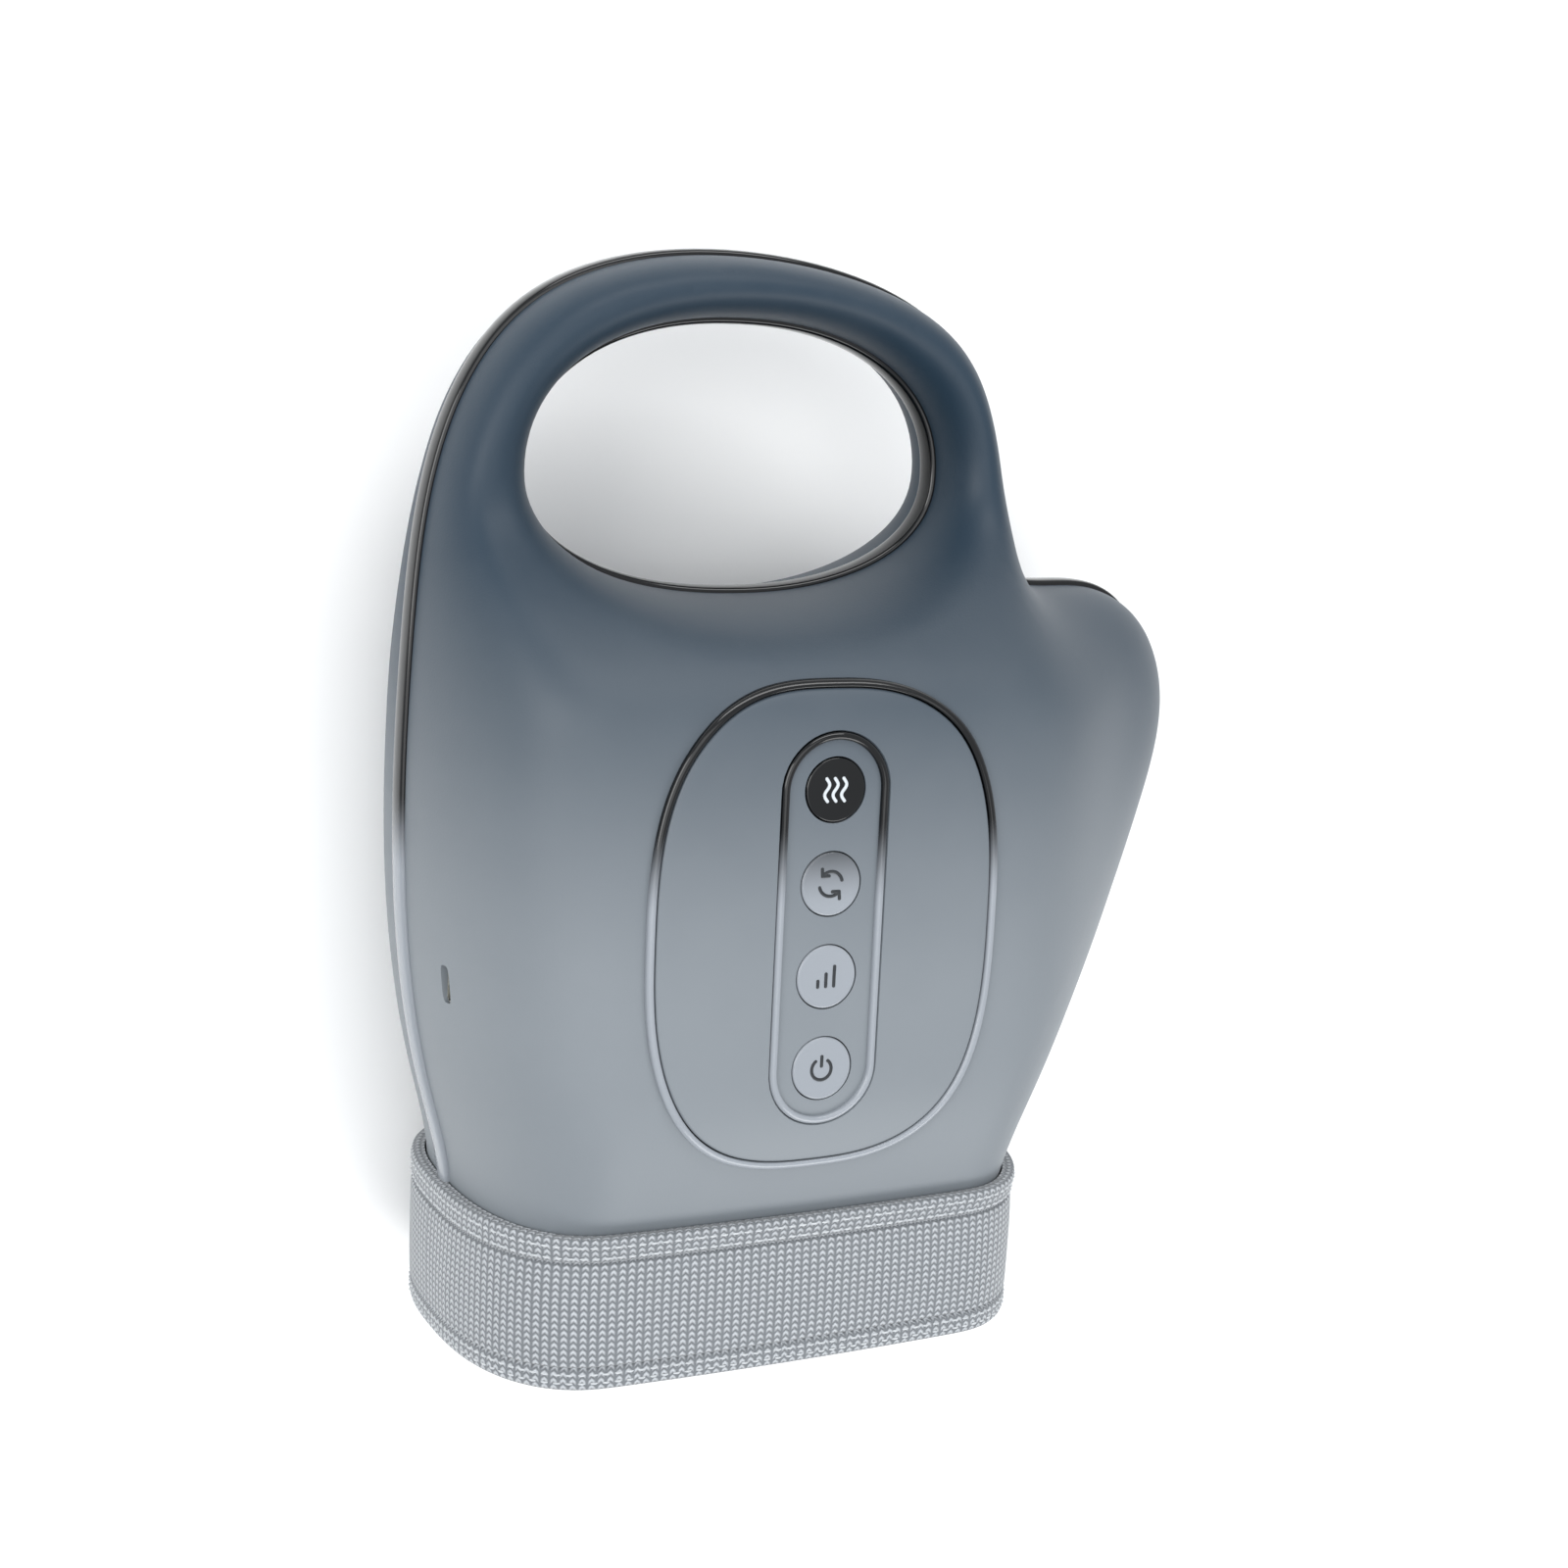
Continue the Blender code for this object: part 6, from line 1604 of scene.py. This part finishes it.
@dataclass
class Cuff:
    """The knitted cuff: foam between two faces of knit, a hem at each end and rows of stitches."""

    form: Form
    top: float = -0.09952
    length: float = 0.0405
    thickness: float = 0.0036
    fit: float = 0.0005
    top_hem: float = 0.0070
    end_hem: float = 0.0060
    top_round: float = 0.0012
    end_round: float = 0.0016
    seam_depth: float = 0.0009
    seam_width: float = 0.00045
    seam_row: float = 0.0004
    foam_margin: float = 0.0015
    hem_margin: float = 0.0010
    end_margin: float = 0.0018
    inside_start: float = 0.004
    hem_rings: int = 5
    foam_rings: int = 22
    inside_rings: int = 8
    count: int = 320
    swell: float = 0.0004
    swell_power: float = 0.6
    fold_depth: float = 0.0006
    folds: tuple = ((0.16, 9, 4, 0), (0.12, 17, -3, 1), (0.08, 31, 0, 2))  # share, number, lean and start
    edge_sewing: float = 0.0022
    hem_sewing: float = 0.0016
    stitch_pitch: float = 0.0031
    stitch_radius: float = 0.00027
    # Each step's rise and width, in radii
    stitch_form: tuple = ((-0.6, 0.35), (0.1, 0.9), (0.55, 1.0), (0.1, 0.9), (-0.6, 0.35))
    stitch_steps: int = 6
    stitch_sides: int = 8
    frame_thickness: float = 0.003
    frame_gap: float = 0.0005
    frame_edge: float = 0.0011
    frame_chamfer: float = 0.0004
    frame_draw: float = 0.008
    frame_points: int = 240
    frame_steps: int = 9
    cavity_middle: float = 0.0416
    cavity_half: float = 0.0205
    liner_wall: float = 0.0012
    way_in_corner: float = 0.012

    def section(self, y: float, distance: float) -> Points:
        """The cuff's loop at one place along the arm, moved outwards, in space."""
        return upright(self.form.neck(max(y, self.form.mouth_y), distance, self.count), y)

    def puff(self, y: float) -> Array:
        """Work out how far the foam swells between the hems, with slack folds that run across the cuff.

        Args:
            y: the place along the arm.

        Returns:
            A distance for each point of the loop.
        """
        start, end = self.top - self.top_hem, self.top - self.length + self.end_hem
        share = np.clip((start - y) / (start - end), 0, 1)
        swell = sin(pi * share) ** self.swell_power if 0 < share < 1 else 0.0
        turn = np.arange(self.count) / self.count * 2 * pi
        folds = sum(size * np.sin(many * turn + lean * share + shift) for size, many, lean, shift in self.folds)
        return swell * (self.swell + self.fold_depth * folds)

    def profile(self, seams: Pair, outer: float, end: float) -> list[Pair]:
        """Draw the cuff's section, from its top edge down the outside and up the inside.

        Args:
            seams: where the hems end.
            outer: how far the outside stands from the neck.
            end: where the cuff ends.

        Returns:
            Pairs of a place along the arm and a distance from the neck.
        """
        top, fit, turns = self.top, self.fit, (0.5, 1.0, 1.57)
        row, wide, small = self.seam_row, self.end_round, self.top_round
        profile = [(top, fit), (top, outer - small)]
        profile += [(top - small + small * cos(t), outer - small + small * sin(t)) for t in turns]
        places = [
            np.linspace(top - 5 * row, seams[0] + 2 * row, self.hem_rings),
            seams[0] + np.array([row, 0.0, -row, -2 * row]),
            np.linspace(seams[0] - self.foam_margin, seams[1] + self.foam_margin, self.foam_rings),
            seams[1] + np.array([2 * row, row, 0.0, -row]),
            np.linspace(seams[1] - self.hem_margin, end + self.end_margin, self.hem_rings),
        ]
        for y in np.concatenate(places):
            dip = sum(self.seam_depth * exp(-(((y - seam) / self.seam_width) ** 2)) for seam in seams)
            profile.append((y, outer - dip))
        profile += [(end + wide - wide * sin(t), outer - wide + wide * cos(t)) for t in turns]
        low, inner = end + small, fit + small
        profile += [(low - small * cos(t), inner - small * sin(t)) for t in (0.0, *turns)]
        inside = np.linspace(end + self.inside_start, self.form.mouth_y, self.inside_rings)
        return profile + [(y, fit) for y in inside]

    def build(self) -> None:
        """Make and dress the cuff, its stitches and the frame in the mouth."""
        outer, end = self.fit + self.thickness, self.top - self.length
        seams = (self.top - self.top_hem, end + self.end_hem)
        rings = []
        for y, distance in self.profile(seams, outer, end):
            swell = self.puff(y) if distance > outer - self.top_round else 0.0
            rings.append(self.section(y, distance + swell))
        piece = loft("cuff_knit_sleeve", rings, wrap=True, sharp=75)
        settle(piece, CUFF_KNIT, "cuff_knit", "cuff")
        edge, hem = self.edge_sewing, self.hem_sewing
        rows = [self.top - edge, seams[0] + hem, seams[1] - hem, end + edge]
        parts = [part for y in rows for part in self.stitches(y)]
        settle(joined("cuff_stitches", parts), THREAD, "cuff_knit")
        self.mouth()

    def mouth(self) -> None:
        """Make the frame in the casing's mouth, with a rounded edge round the hand's way in."""
        start, thickness = self.form.mouth_y, self.frame_thickness
        edge, count = self.frame_edge, self.frame_points
        left, right = width_at(self.form.pocket_line, start + thickness / 2)
        centre = np.array([(left + right) / 2, self.cavity_middle])
        half = np.array([(right - left) / 2 - self.liner_wall, self.cavity_half])
        rim = polar(self.form.neck(start, -self.form.wall - self.frame_gap), centre, count)
        way_in = polar(rounded_rectangle(centre, half, self.way_in_corner), centre, count)
        away = straight(way_in - centre)
        rings = [(rim, start + thickness), (rim, start + self.frame_chamfer)]
        rings.append((rim - (rim - centre) * self.frame_draw, start))
        for turn in np.linspace(pi / 2, -pi / 2, self.frame_steps):
            y = start + edge * (1 - sin(turn)) * thickness / (2 * edge)
            rings.append((way_in + away * edge * (1 - cos(turn)), y))
        piece = loft("mouth_frame_bezel", [upright(loop, y) for loop, y in rings], wrap=True, sharp=50)
        settle(piece, FILLED_NYLON, "inner_frame", "mouth_frame")

    def stitches(self, y: float) -> list[Part]:
        """Sew one row of stitches round the cuff.

        Args:
            y: where the row runs.

        Returns:
            The points, faces and runs of each stitch.
        """
        ground = self.section(y, self.fit + self.thickness)
        around = np.linalg.norm(np.roll(ground, -1, 0) - ground, axis=1).sum()
        count = int(around / self.stitch_pitch)
        fine = resampled(ground, count * self.stitch_steps)
        run = straight(np.roll(fine, -1, 0) - np.roll(fine, 1, 0))
        out = np.column_stack([run[:, 2], np.zeros(len(run)), -run[:, 0]])
        parts, turn, lean = [], steps_round(self.stitch_sides), np.array([0.0, 1.0, 0.0])
        for first in range(0, len(fine), self.stitch_steps):
            rings = []
            for i, (rise, width) in enumerate(self.stitch_form, first):
                middle = fine[i] + out[i] * self.stitch_radius * rise
                spin = np.outer(np.cos(turn), out[i]) + np.outer(np.sin(turn), lean)
                rings.append(middle + spin * self.stitch_radius * width)
            parts.append(skin_over(rings))
        return parts


# The hand pocket

# Heights of a flat piece's upper (1) or lower (-1) face, from its points and their distances from the edge
Height = Callable[[Points, Array, int], Array]


@dataclass
class Pocket:
    """What the hand lies in: the knitted liner, the air bladders round it and the heater under it."""

    form: Form
    liner_base: float = 0.0199
    liner_top: float = 0.0633
    liner_pitch: float = 0.0035
    liner_clear: Pair = (0.00008, 0.0015)  # between the rolls' points, and from them to the others
    fold_waves: Triple = (210, 130, 60)  # across, along and lean, in radians to a metre
    fold_fade: float = 0.02
    gusset_step: float = 0.002
    liner_rolls: tuple = (0.03, 0.12, 0.3, 0.6, 1.0)
    liner_flat: Pair = (0.34, 0.19)
    liner_area: float = 0.061
    liner_film: float = 0.0004
    gusset_rows: int = 8
    fold_depth: float = 0.0005
    corner: float = 0.006
    mouth_start: float = -0.10422
    pocket_back: float = -0.09604
    edge_rows: tuple = (0.2, 0.5, 1.0, 1.6)  # this and the next two in shares of a piece's pitch
    row_clear: float = 0.15
    grid_clear: float = 2.1
    bag_thickness: float = 0.007
    bag_inset: float = 0.007
    bag_pitch: float = 0.0035
    weld: float = 0.004
    weld_film: float = 0.0003
    swell_reach: float = 0.010
    swell_power: float = 0.6
    film_gap: float = 0.0001
    spot_pitch: float = 0.032
    spot_radius: float = 0.0042
    spot_pull: float = 0.75
    split: float = -0.0028
    bag_gap: float = 0.003
    upper_bag_base: float = 0.0636
    lower_bag_base: float = 0.0113
    finger_nipple: Pair = (-0.00903, 0.02350)
    palm_nipple: Pair = (-0.00903, -0.00950)
    nipple_profile: tuple = (
        (0.0022, -0.0012), (0.0022, -0.0004), (0.0010, 0.0), (0.0010, 0.0038), (0.0007, 0.0041),
        (0.0005, 0.0041), (0.0005, -0.001),
    )  # radius, and height over the bladder
    nipple_sides: int = 24
    heater_base: float = 0.0186
    heater_thickness: float = 0.0010
    heater_inset: float = 0.012
    heater_end: float = -0.07
    heater_pitch: float = 0.004
    heater_seal: float = 0.002
    heater_half: Pair = (0.0001, 0.00038)  # half its thickness at the edge, and what it gains inside

    def leaves(
        self, flat: Points, near: Array, faces: list, height: Height, inwards: bool = False
    ) -> list[Part]:
        """Make the upper and the lower face of a flat piece.

        Args:
            flat: its points in the plane.
            near: how far each one lies from the edge.
            faces: its triangles.
            height: gives each face's heights.
            inwards: whether the faces look into the piece.

        Returns:
            Both faces' points, triangles and runs.
        """
        parts = []
        for side in (1, -1):
            facing = faces if (side > 0) is not inwards else [face[::-1] for face in faces]
            run = [flat[i] for face in facing for i in face]
            parts.append((raised(flat, height(flat, near, side)), facing, run))
        return parts

    def blanket(self, name: str, loop: Points, height: Height, pitch: float) -> Piece:
        """Make a closed flat piece of one outline.

        Args:
            name: the piece's name.
            loop: its outline.
            height: gives each face's heights.
            pitch: how far apart its points are.

        Returns:
            The object.
        """
        rings = np.concatenate([offset(loop, -pitch * share) for share in self.edge_rows])
        points = np.concatenate([rings, plan_grid(loop, pitch)])
        near = distance_to(loop, points)
        keep = inside(loop, points) & (near > self.row_clear * pitch)
        keep[len(rings) :] &= near[len(rings) :] > self.grid_clear * pitch
        flat = np.concatenate([loop, points[keep]])
        near = np.concatenate([np.zeros(len(loop)), near[keep]])
        parts = self.leaves(flat, near, triangles(flat, loop, []), height)
        return welded(joined(name, parts, 60, outward=False), 1e-5)

    def build(self) -> None:
        """Make and dress the liner, the bladders and the heater."""
        self.liner()
        plan = offset(self.form.pocket_line, -self.bag_inset)
        front, whole = clipped(plan, self.split + self.bag_gap / 2), clipped(plan, self.pocket_back)
        back = -clipped(-whole, -(self.split - self.bag_gap / 2))
        self.bladder("upper_finger_airbag", front, self.upper_bag_base, self.finger_nipple)
        self.bladder("upper_palm_airbag", back, self.upper_bag_base, self.palm_nipple)
        self.bladder("lower_palm_airbag", whole, self.lower_bag_base, None)
        self.heater()

    def liner(self) -> None:
        """Make the liner: a fabric glove-bag whose mouth is open at the wrist."""
        form, corner = self.form, self.corner
        space = clipped(form.pocket_line, self.mouth_start)
        middle, half = (self.liner_base + self.liner_top) / 2, (self.liner_top - self.liner_base) / 2

        def height(flat: Points, near: Array, side: int) -> Array:
            """Shape the bag's upper or lower face, with slack folds away from its edge.

            Args:
                flat: the face's points in the plane.
                near: how far they lie from the cut outline.
                side: 1 above and -1 below.

            Returns:
                A height for each point.
            """
            edge = distance_to(form.pocket_line, flat)
            rolled = (1 - (1 - np.clip(edge / corner, 0, 1)) ** 2) ** 0.5
            x, y, (wide, long, lean) = flat[:, 0], flat[:, 1], self.fold_waves
            folds = np.sin(x * wide + np.sin(y * lean) * 2) * np.sin(y * long + 1)
            slack = self.fold_depth * folds * np.clip(edge / self.fold_fade, 0, 1)
            return middle + side * (half - corner + corner * rolled - self.liner_film - np.abs(slack))

        rolls = np.concatenate([offset(form.pocket_line, -corner * share) for share in self.liner_rolls])
        points = np.concatenate([rolls, plan_grid(space, self.liner_pitch)])
        near = distance_to(space, points)
        close, far = self.liner_clear
        keep = inside(space, points) & (near > close)
        keep[len(rolls) :] &= near[len(rolls) :] > corner + far
        flat = np.concatenate([space, points[keep]])
        parts = self.leaves(flat, near, triangles(flat, space, []), height, inwards=True)
        parts.append(self.gusset(space, *(leaf[0][: len(space), 2] for leaf in parts)))
        piece = welded(joined("hand_liner_bag", parts, 75, outward=False), 2e-5)
        settle(piece, LINER_KNIT, "lining", "hand_liner")

    def gusset(self, space: Points, upper: Array, lower: Array) -> Part:
        """Join the liner's leaves all round, apart from its mouth.

        Args:
            space: the liner's outline.
            upper: the upper leaf's height at each of its points.
            lower: the lower leaf's height.

        Returns:
            The gusset's points, faces and runs.
        """
        count, rows, past = len(space), range(self.gusset_rows), self.mouth_start + 1e-6
        ahead = [(k, (k + 1) % count) for k in range(count)]
        wall = [(k, j) for k, j in ahead if space[k, 1] > past or space[j, 1] > past]
        levels = np.linspace(0, 1, self.gusset_rows + 1)
        points = np.concatenate([raised(space, upper + (lower - upper) * level) for level in levels])
        starts = [r * count for r in rows]
        faces = [[s + k, s + j, s + count + j, s + count + k] for s in starts for k, j in wall]
        run = np.concatenate([[0], np.cumsum(np.linalg.norm(np.diff(space, axis=0), axis=1))])
        tall, step = (self.liner_top - self.liner_base) / self.gusset_rows, self.gusset_step
        uvs = [
            (run[k] + across, -(r + down) * tall)
            for r in rows
            for k, _ in wall
            for across, down in ((0, 0), (step, 0), (step, 1), (0, 1))
        ]
        return points, faces, uvs

    def bladder(self, name: str, loop: Points, base: float, nipple: Pair | None) -> None:
        """Make one bladder: two films welded round their edge and in spots, slack with no air in.

        Args:
            name: the bladder's node.
            loop: its outline.
            base: the height of its underside.
            nipple: where its hose goes on, if it is on top.
        """
        middle, half, spots = base + self.bag_thickness / 2, self.bag_thickness / 2, self.spot_pitch

        def height(flat: Points, near: Array, side: int) -> Array:
            """Shape one film: flat along the weld, swelling inside it, pulled in at each weld spot.

            Args:
                flat: the film's points in the plane.
                near: how far they lie from the edge.
                side: 1 above and -1 below.

            Returns:
                A height for each point.
            """
            swell = ease((near - self.weld) / self.swell_reach) ** self.swell_power
            x, y = (flat[:, 0] / spots + 0.5) % 1 - 0.5, (flat[:, 1] / spots + 0.5) % 1 - 0.5
            pull = 1 - self.spot_pull * np.exp(-((x**2 + y**2) * spots**2 / self.spot_radius**2))
            film = self.weld_film + (half - self.weld_film - self.film_gap) * swell * pull
            return middle + side * np.where(near <= 0, 0, film)

        piece = self.blanket(f"{name}_film", loop, height, self.bag_pitch)
        settle(piece, FILM, "bladder_film", name)
        if nipple is not None:
            top = base + self.bag_thickness
            profile = [(radius, top + rise) for radius, rise in self.nipple_profile]
            settle(turned(f"{name}_nipple", profile, nipple, self.nipple_sides), FILM, "bladder_film")

    def heater(self) -> None:
        """Make the thin heater that lies under the palm."""
        loop = clipped(offset(self.form.pocket_line, -self.heater_inset), self.heater_end)
        half = self.heater_thickness / 2
        middle = self.heater_base + half

        def height(flat: Points, near: Array, side: int) -> Array:
            """Shape one of the film's faces, with a thin sealed edge."""
            edge, gain = self.heater_half
            return middle + side * np.where(near <= 0, 0, edge + gain * ease(near / self.heater_seal))

        piece = self.blanket("heating_pad_film", loop, height, self.heater_pitch)
        settle(piece, HEATER, "heater_film", "heating_pad")


# What keeps its own shape


@dataclass
class Works:
    """The solids that are shown as they are, the valves' springs, and the small parts on the board."""

    nodes: dict = field(default_factory=lambda: frame["nodes"])
    spring_wire: float = 0.0003
    spring_turns: int = 3
    spring_steps: int = 24
    spring_sides: int = 12
    spring_stroke: float = 0.001
    moulded_edge: float = 0.00025
    one_skin: float = 0.000001
    round_above: float = 40.0
    crisp_above: float = 32.0
    chip: tuple = (-0.0060, -0.0117, 0.0070, 0.0012)  # place, side and height
    chip_edge: float = 0.0002
    leg: tuple = (0.0002, 0.0006, 0.0005)  # half its width, half its reach, and its height
    leg_gap: float = 0.0004
    legs: int = 8
    legs_half: float = 0.0027
    can_place: tuple = (0.0042, 0.030, 0.0075, 4)  # in from the board's corner, along it, pitch and number
    can_sides: int = 24
    can_profile: tuple = ((0.002, 0), (0.002, 0.0052), (0.0017, 0.0055))
    resistor_place: tuple = (0.0095, 0.012, 0.0028, 7)
    resistor_half: tuple = (0.001, 0.0006)
    resistor_height: float = 0.0006
    solder_edge: float = 0.0001

    def build(self) -> None:
        """Give each solid its finish, round the edges of those that the mould or the press leaves rounded, and
        populate the key board.
        """
        for finish, names in CARRIED.items():
            for name in names:
                self.dress(self.nodes[name], finish)
                log.info("%s is finished in %s", name, finish.name)
        self.spring("finger_valve")
        self.spring("palm_valve")
        self.board_parts()

    def spring(self, valve: str) -> None:
        """Wind a valve's spring at its length at rest, though the real one shortens as its plunger is drawn
        down.

        Args:
            valve: the valve's name.
        """
        low, high = (np.array(corner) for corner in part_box(f"{valve}_spring"))
        wire, centre = self.spring_wire, (low + high)[:2] / 2
        radius = (high - low)[:2].max() / 2 - wire
        share = np.linspace(0, 1, self.spring_turns * self.spring_steps + 1)
        # The turns lie a quarter closer at both ends
        closed_ends = np.sin(share * 2 * pi) / (8 * pi)
        climb = low[2] + wire + (high[2] - low[2] - 2 * wire) * (share - closed_ends)
        turn = share * self.spring_turns * 2 * pi
        out = raised(unit(turn), 0.0)
        line = np.column_stack([centre + out[:, :2] * radius, climb])
        across = np.cross(straight(np.gradient(line, axis=0)), out)
        spin = steps_round(self.spring_sides)
        rings = [
            middle + (np.outer(np.cos(spin), o) + np.outer(np.sin(spin), a)) * wire
            for middle, o, a in zip(line, out, across)
        ]
        piece = loft(f"{valve}_spring_coil", rings, sharp=60)
        settle(piece, SPRING, "spring_steel", f"{valve}_spring")
        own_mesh(piece)

    def dress(self, piece: Piece, finish: Finish) -> None:
        """Give one solid its finish and smooth round faces, and rounded edges if its finish is one that the
        mould or the press leaves rounded.

        Args:
            piece: the solid.
            finish: its material.
        """
        for slot in piece.material_slots:
            slot.material = finish.build()
        if not piece.material_slots:
            piece.data.materials.append(finish.build())
        piece.data.shade_smooth()
        piece.modifiers.new("one skin", "WELD").merge_threshold = self.one_skin
        if finish in ROUNDED:
            rounded = piece.modifiers.new("moulded edge", "BEVEL")
            rounded.width, rounded.segments, rounded.limit_method = self.moulded_edge, 2, "ANGLE"
            rounded.angle_limit, rounded.use_clamp_overlap = radians(self.round_above), True
        piece.modifiers.new("crisp edges", "EDGE_SPLIT").split_angle = radians(self.crisp_above)

    def block(self, low: Triple, high: Triple, edge: float) -> Part:
        """Make a box with a chamfer round its top.

        Args:
            low: its lowest corner.
            high: its highest corner.
            edge: the chamfer's width.

        Returns:
            The box's points, faces and runs.
        """
        (x0, y0, z0), (x1, y1, z1) = low, high
        corners = np.array([(x0, y0), (x1, y0), (x1, y1), (x0, y1)])
        middle = corners.mean(0)
        top = corners - np.sign(corners - middle) * edge
        rings = [raised(corners, z0), raised(corners, z1 - edge), raised(top, z1), np.array([(*middle, z1)])]
        return skin_over(rings)

    def bead(self, place: Pair, half: Pair, base: float, tall: float) -> Part:
        """Make one soldered block that stands on the board."""
        (x, y), (across, along) = place, half
        return self.block((x - across, y - along, base), (x + across, y + along, base + tall), self.solder_edge)

    def board_parts(self) -> None:
        """Solder a controller with its legs, four capacitors and a row of resistors to the key board."""
        low, high = (np.array(corner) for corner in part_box("key_board"))
        top = high[2]
        x, y, side, tall = self.chip
        half, lift, (narrow, long, high_leg) = side / 2, self.chip_edge, self.leg
        body = [self.block((x - half, y - half, top + lift), (x + half, y + half, top + tall), self.chip_edge)]
        legs = []
        for k in np.linspace(-self.legs_half, self.legs_half, self.legs):
            for sign in (-1, 1):
                out = sign * (half + self.leg_gap)
                legs.append(self.bead((x + k, y + out), (narrow, long), top, high_leg))
                legs.append(self.bead((x + out, y + k), (long, narrow), top, high_leg))
        inset, start, pitch, count = self.can_place
        for k in range(count):
            place = (low[0] + inset, low[1] + start + k * pitch)
            rings = [raised(circle(place, radius, self.can_sides), top + z) for radius, z in self.can_profile]
            body.append(skin_over([*rings, np.array([(*place, top + self.can_profile[-1][1])])]))
        inset, start, pitch, count = self.resistor_place
        for k in range(count):
            place = (low[0] + inset, low[1] + start + k * pitch)
            legs.append(self.bead(place, self.resistor_half, top, self.resistor_height))
        settle(joined("board_components", body, 30), EPOXY, "circuit_board")
        settle(joined("board_solder", legs, 30), SOLDER, "circuit_board")


# The studio


@dataclass(frozen=True)
class Softbox:
    """One soft light: where it hangs, its width and height, and its power in watts."""

    name: str
    place: Triple
    size: Pair
    power: float

    def hang(self, aim: Vector) -> None:
        """Hang the light and turn it towards a point.

        Args:
            aim: the point.
        """
        data = bpy.data.lights.new(self.name, "AREA")
        data.shape, data.size, data.size_y, data.energy = "RECTANGLE", *self.size, self.power
        lamp = bpy.data.objects.new(self.name, data)
        lamp.location = self.place
        lamp.rotation_euler = (aim - Vector(self.place)).to_track_quat("-Z", "Y").to_euler()
        bpy.context.scene.collection.objects.link(lamp)


@dataclass
class Studio:
    """A pale floor, soft lights, and a camera on the photograph's line of sight."""

    aim: Triple = (0.000, 0.000, 0.046)
    towards_camera: Triple = (-0.4366, 0.1831, 0.8808)
    image_up: Triple = (0.0245, 0.9876, -0.1550)
    distance: float = 0.66
    lens_mm: float = 56.0
    sensor_mm: float = 36.0
    clip_start: float = 0.01
    floor_half: float = 6.0
    room_colour: tuple = (0.93, 0.96, 1.0, 1.0)
    room_strength: float = 0.8
    softboxes: tuple[Softbox, ...] = (
        Softbox("wrist_softbox", (0.70, -1.40, 1.10), (1.2, 0.9), 15.0),
        Softbox("left_softbox", (-1.3, 0.35, 1.1), (0.9, 0.9), 13.0),
        Softbox("handle_strip", (0.3, 1.5, 1.0), (1.3, 0.5), 11.0),
        Softbox("overhead_softbox", (-0.35, 0.15, 1.9), (1.8, 1.8), 14.0),
    )

    def build(self) -> None:
        """Make the floor, the lights and the camera."""
        self.floor()
        self.lights()
        self.camera()

    def floor(self) -> None:
        """Lay the pale floor."""
        square = ((-1, -1), (1, -1), (1, 1), (-1, 1))
        corners = [(x * self.floor_half, y * self.floor_half, 0) for x, y in square]
        piece = add_mesh("studio_floor", corners, [(0, 1, 2, 3)], outward=False)
        piece.data.materials.append(PAINTED_BOARD.build())

    def lights(self) -> None:
        """Hang large soft lights, and fill the rest from a white room."""
        world = bpy.data.worlds.new("white_room")
        world.use_nodes = True
        background = world.node_tree.nodes["Background"]
        background.inputs["Color"].default_value = self.room_colour
        background.inputs["Strength"].default_value = self.room_strength
        bpy.context.scene.world = world
        for softbox in self.softboxes:
            softbox.hang(Vector(self.aim))
        bpy.context.scene.view_settings.view_transform = "Standard"

    def camera(self) -> None:
        """Set the camera on the photograph's line of sight, as upright as the photograph."""
        back = Vector(self.towards_camera).normalized()
        right = Vector(self.image_up).cross(back).normalized()
        turn = Matrix((right, back.cross(right), back)).transposed().to_4x4()
        data = bpy.data.cameras.new("photograph_camera")
        data.lens, data.sensor_width, data.clip_start = self.lens_mm, self.sensor_mm, self.clip_start
        camera = bpy.data.objects.new("photograph_camera", data)
        camera.matrix_world = Matrix.Translation(Vector(self.aim) + back * self.distance) @ turn
        bpy.context.scene.collection.objects.link(camera)
        bpy.context.scene.camera = camera


def main() -> None:
    logging.basicConfig(level=logging.INFO, format="%(name)s: %(message)s")
    form = Form()
    for assembly in (Casing(form), Island(form), Cuff(form), Pocket(form), Works(), Studio()):
        log.info("building %s", type(assembly).__name__)
        assembly.build()


if __name__ == "__main__":
    main()
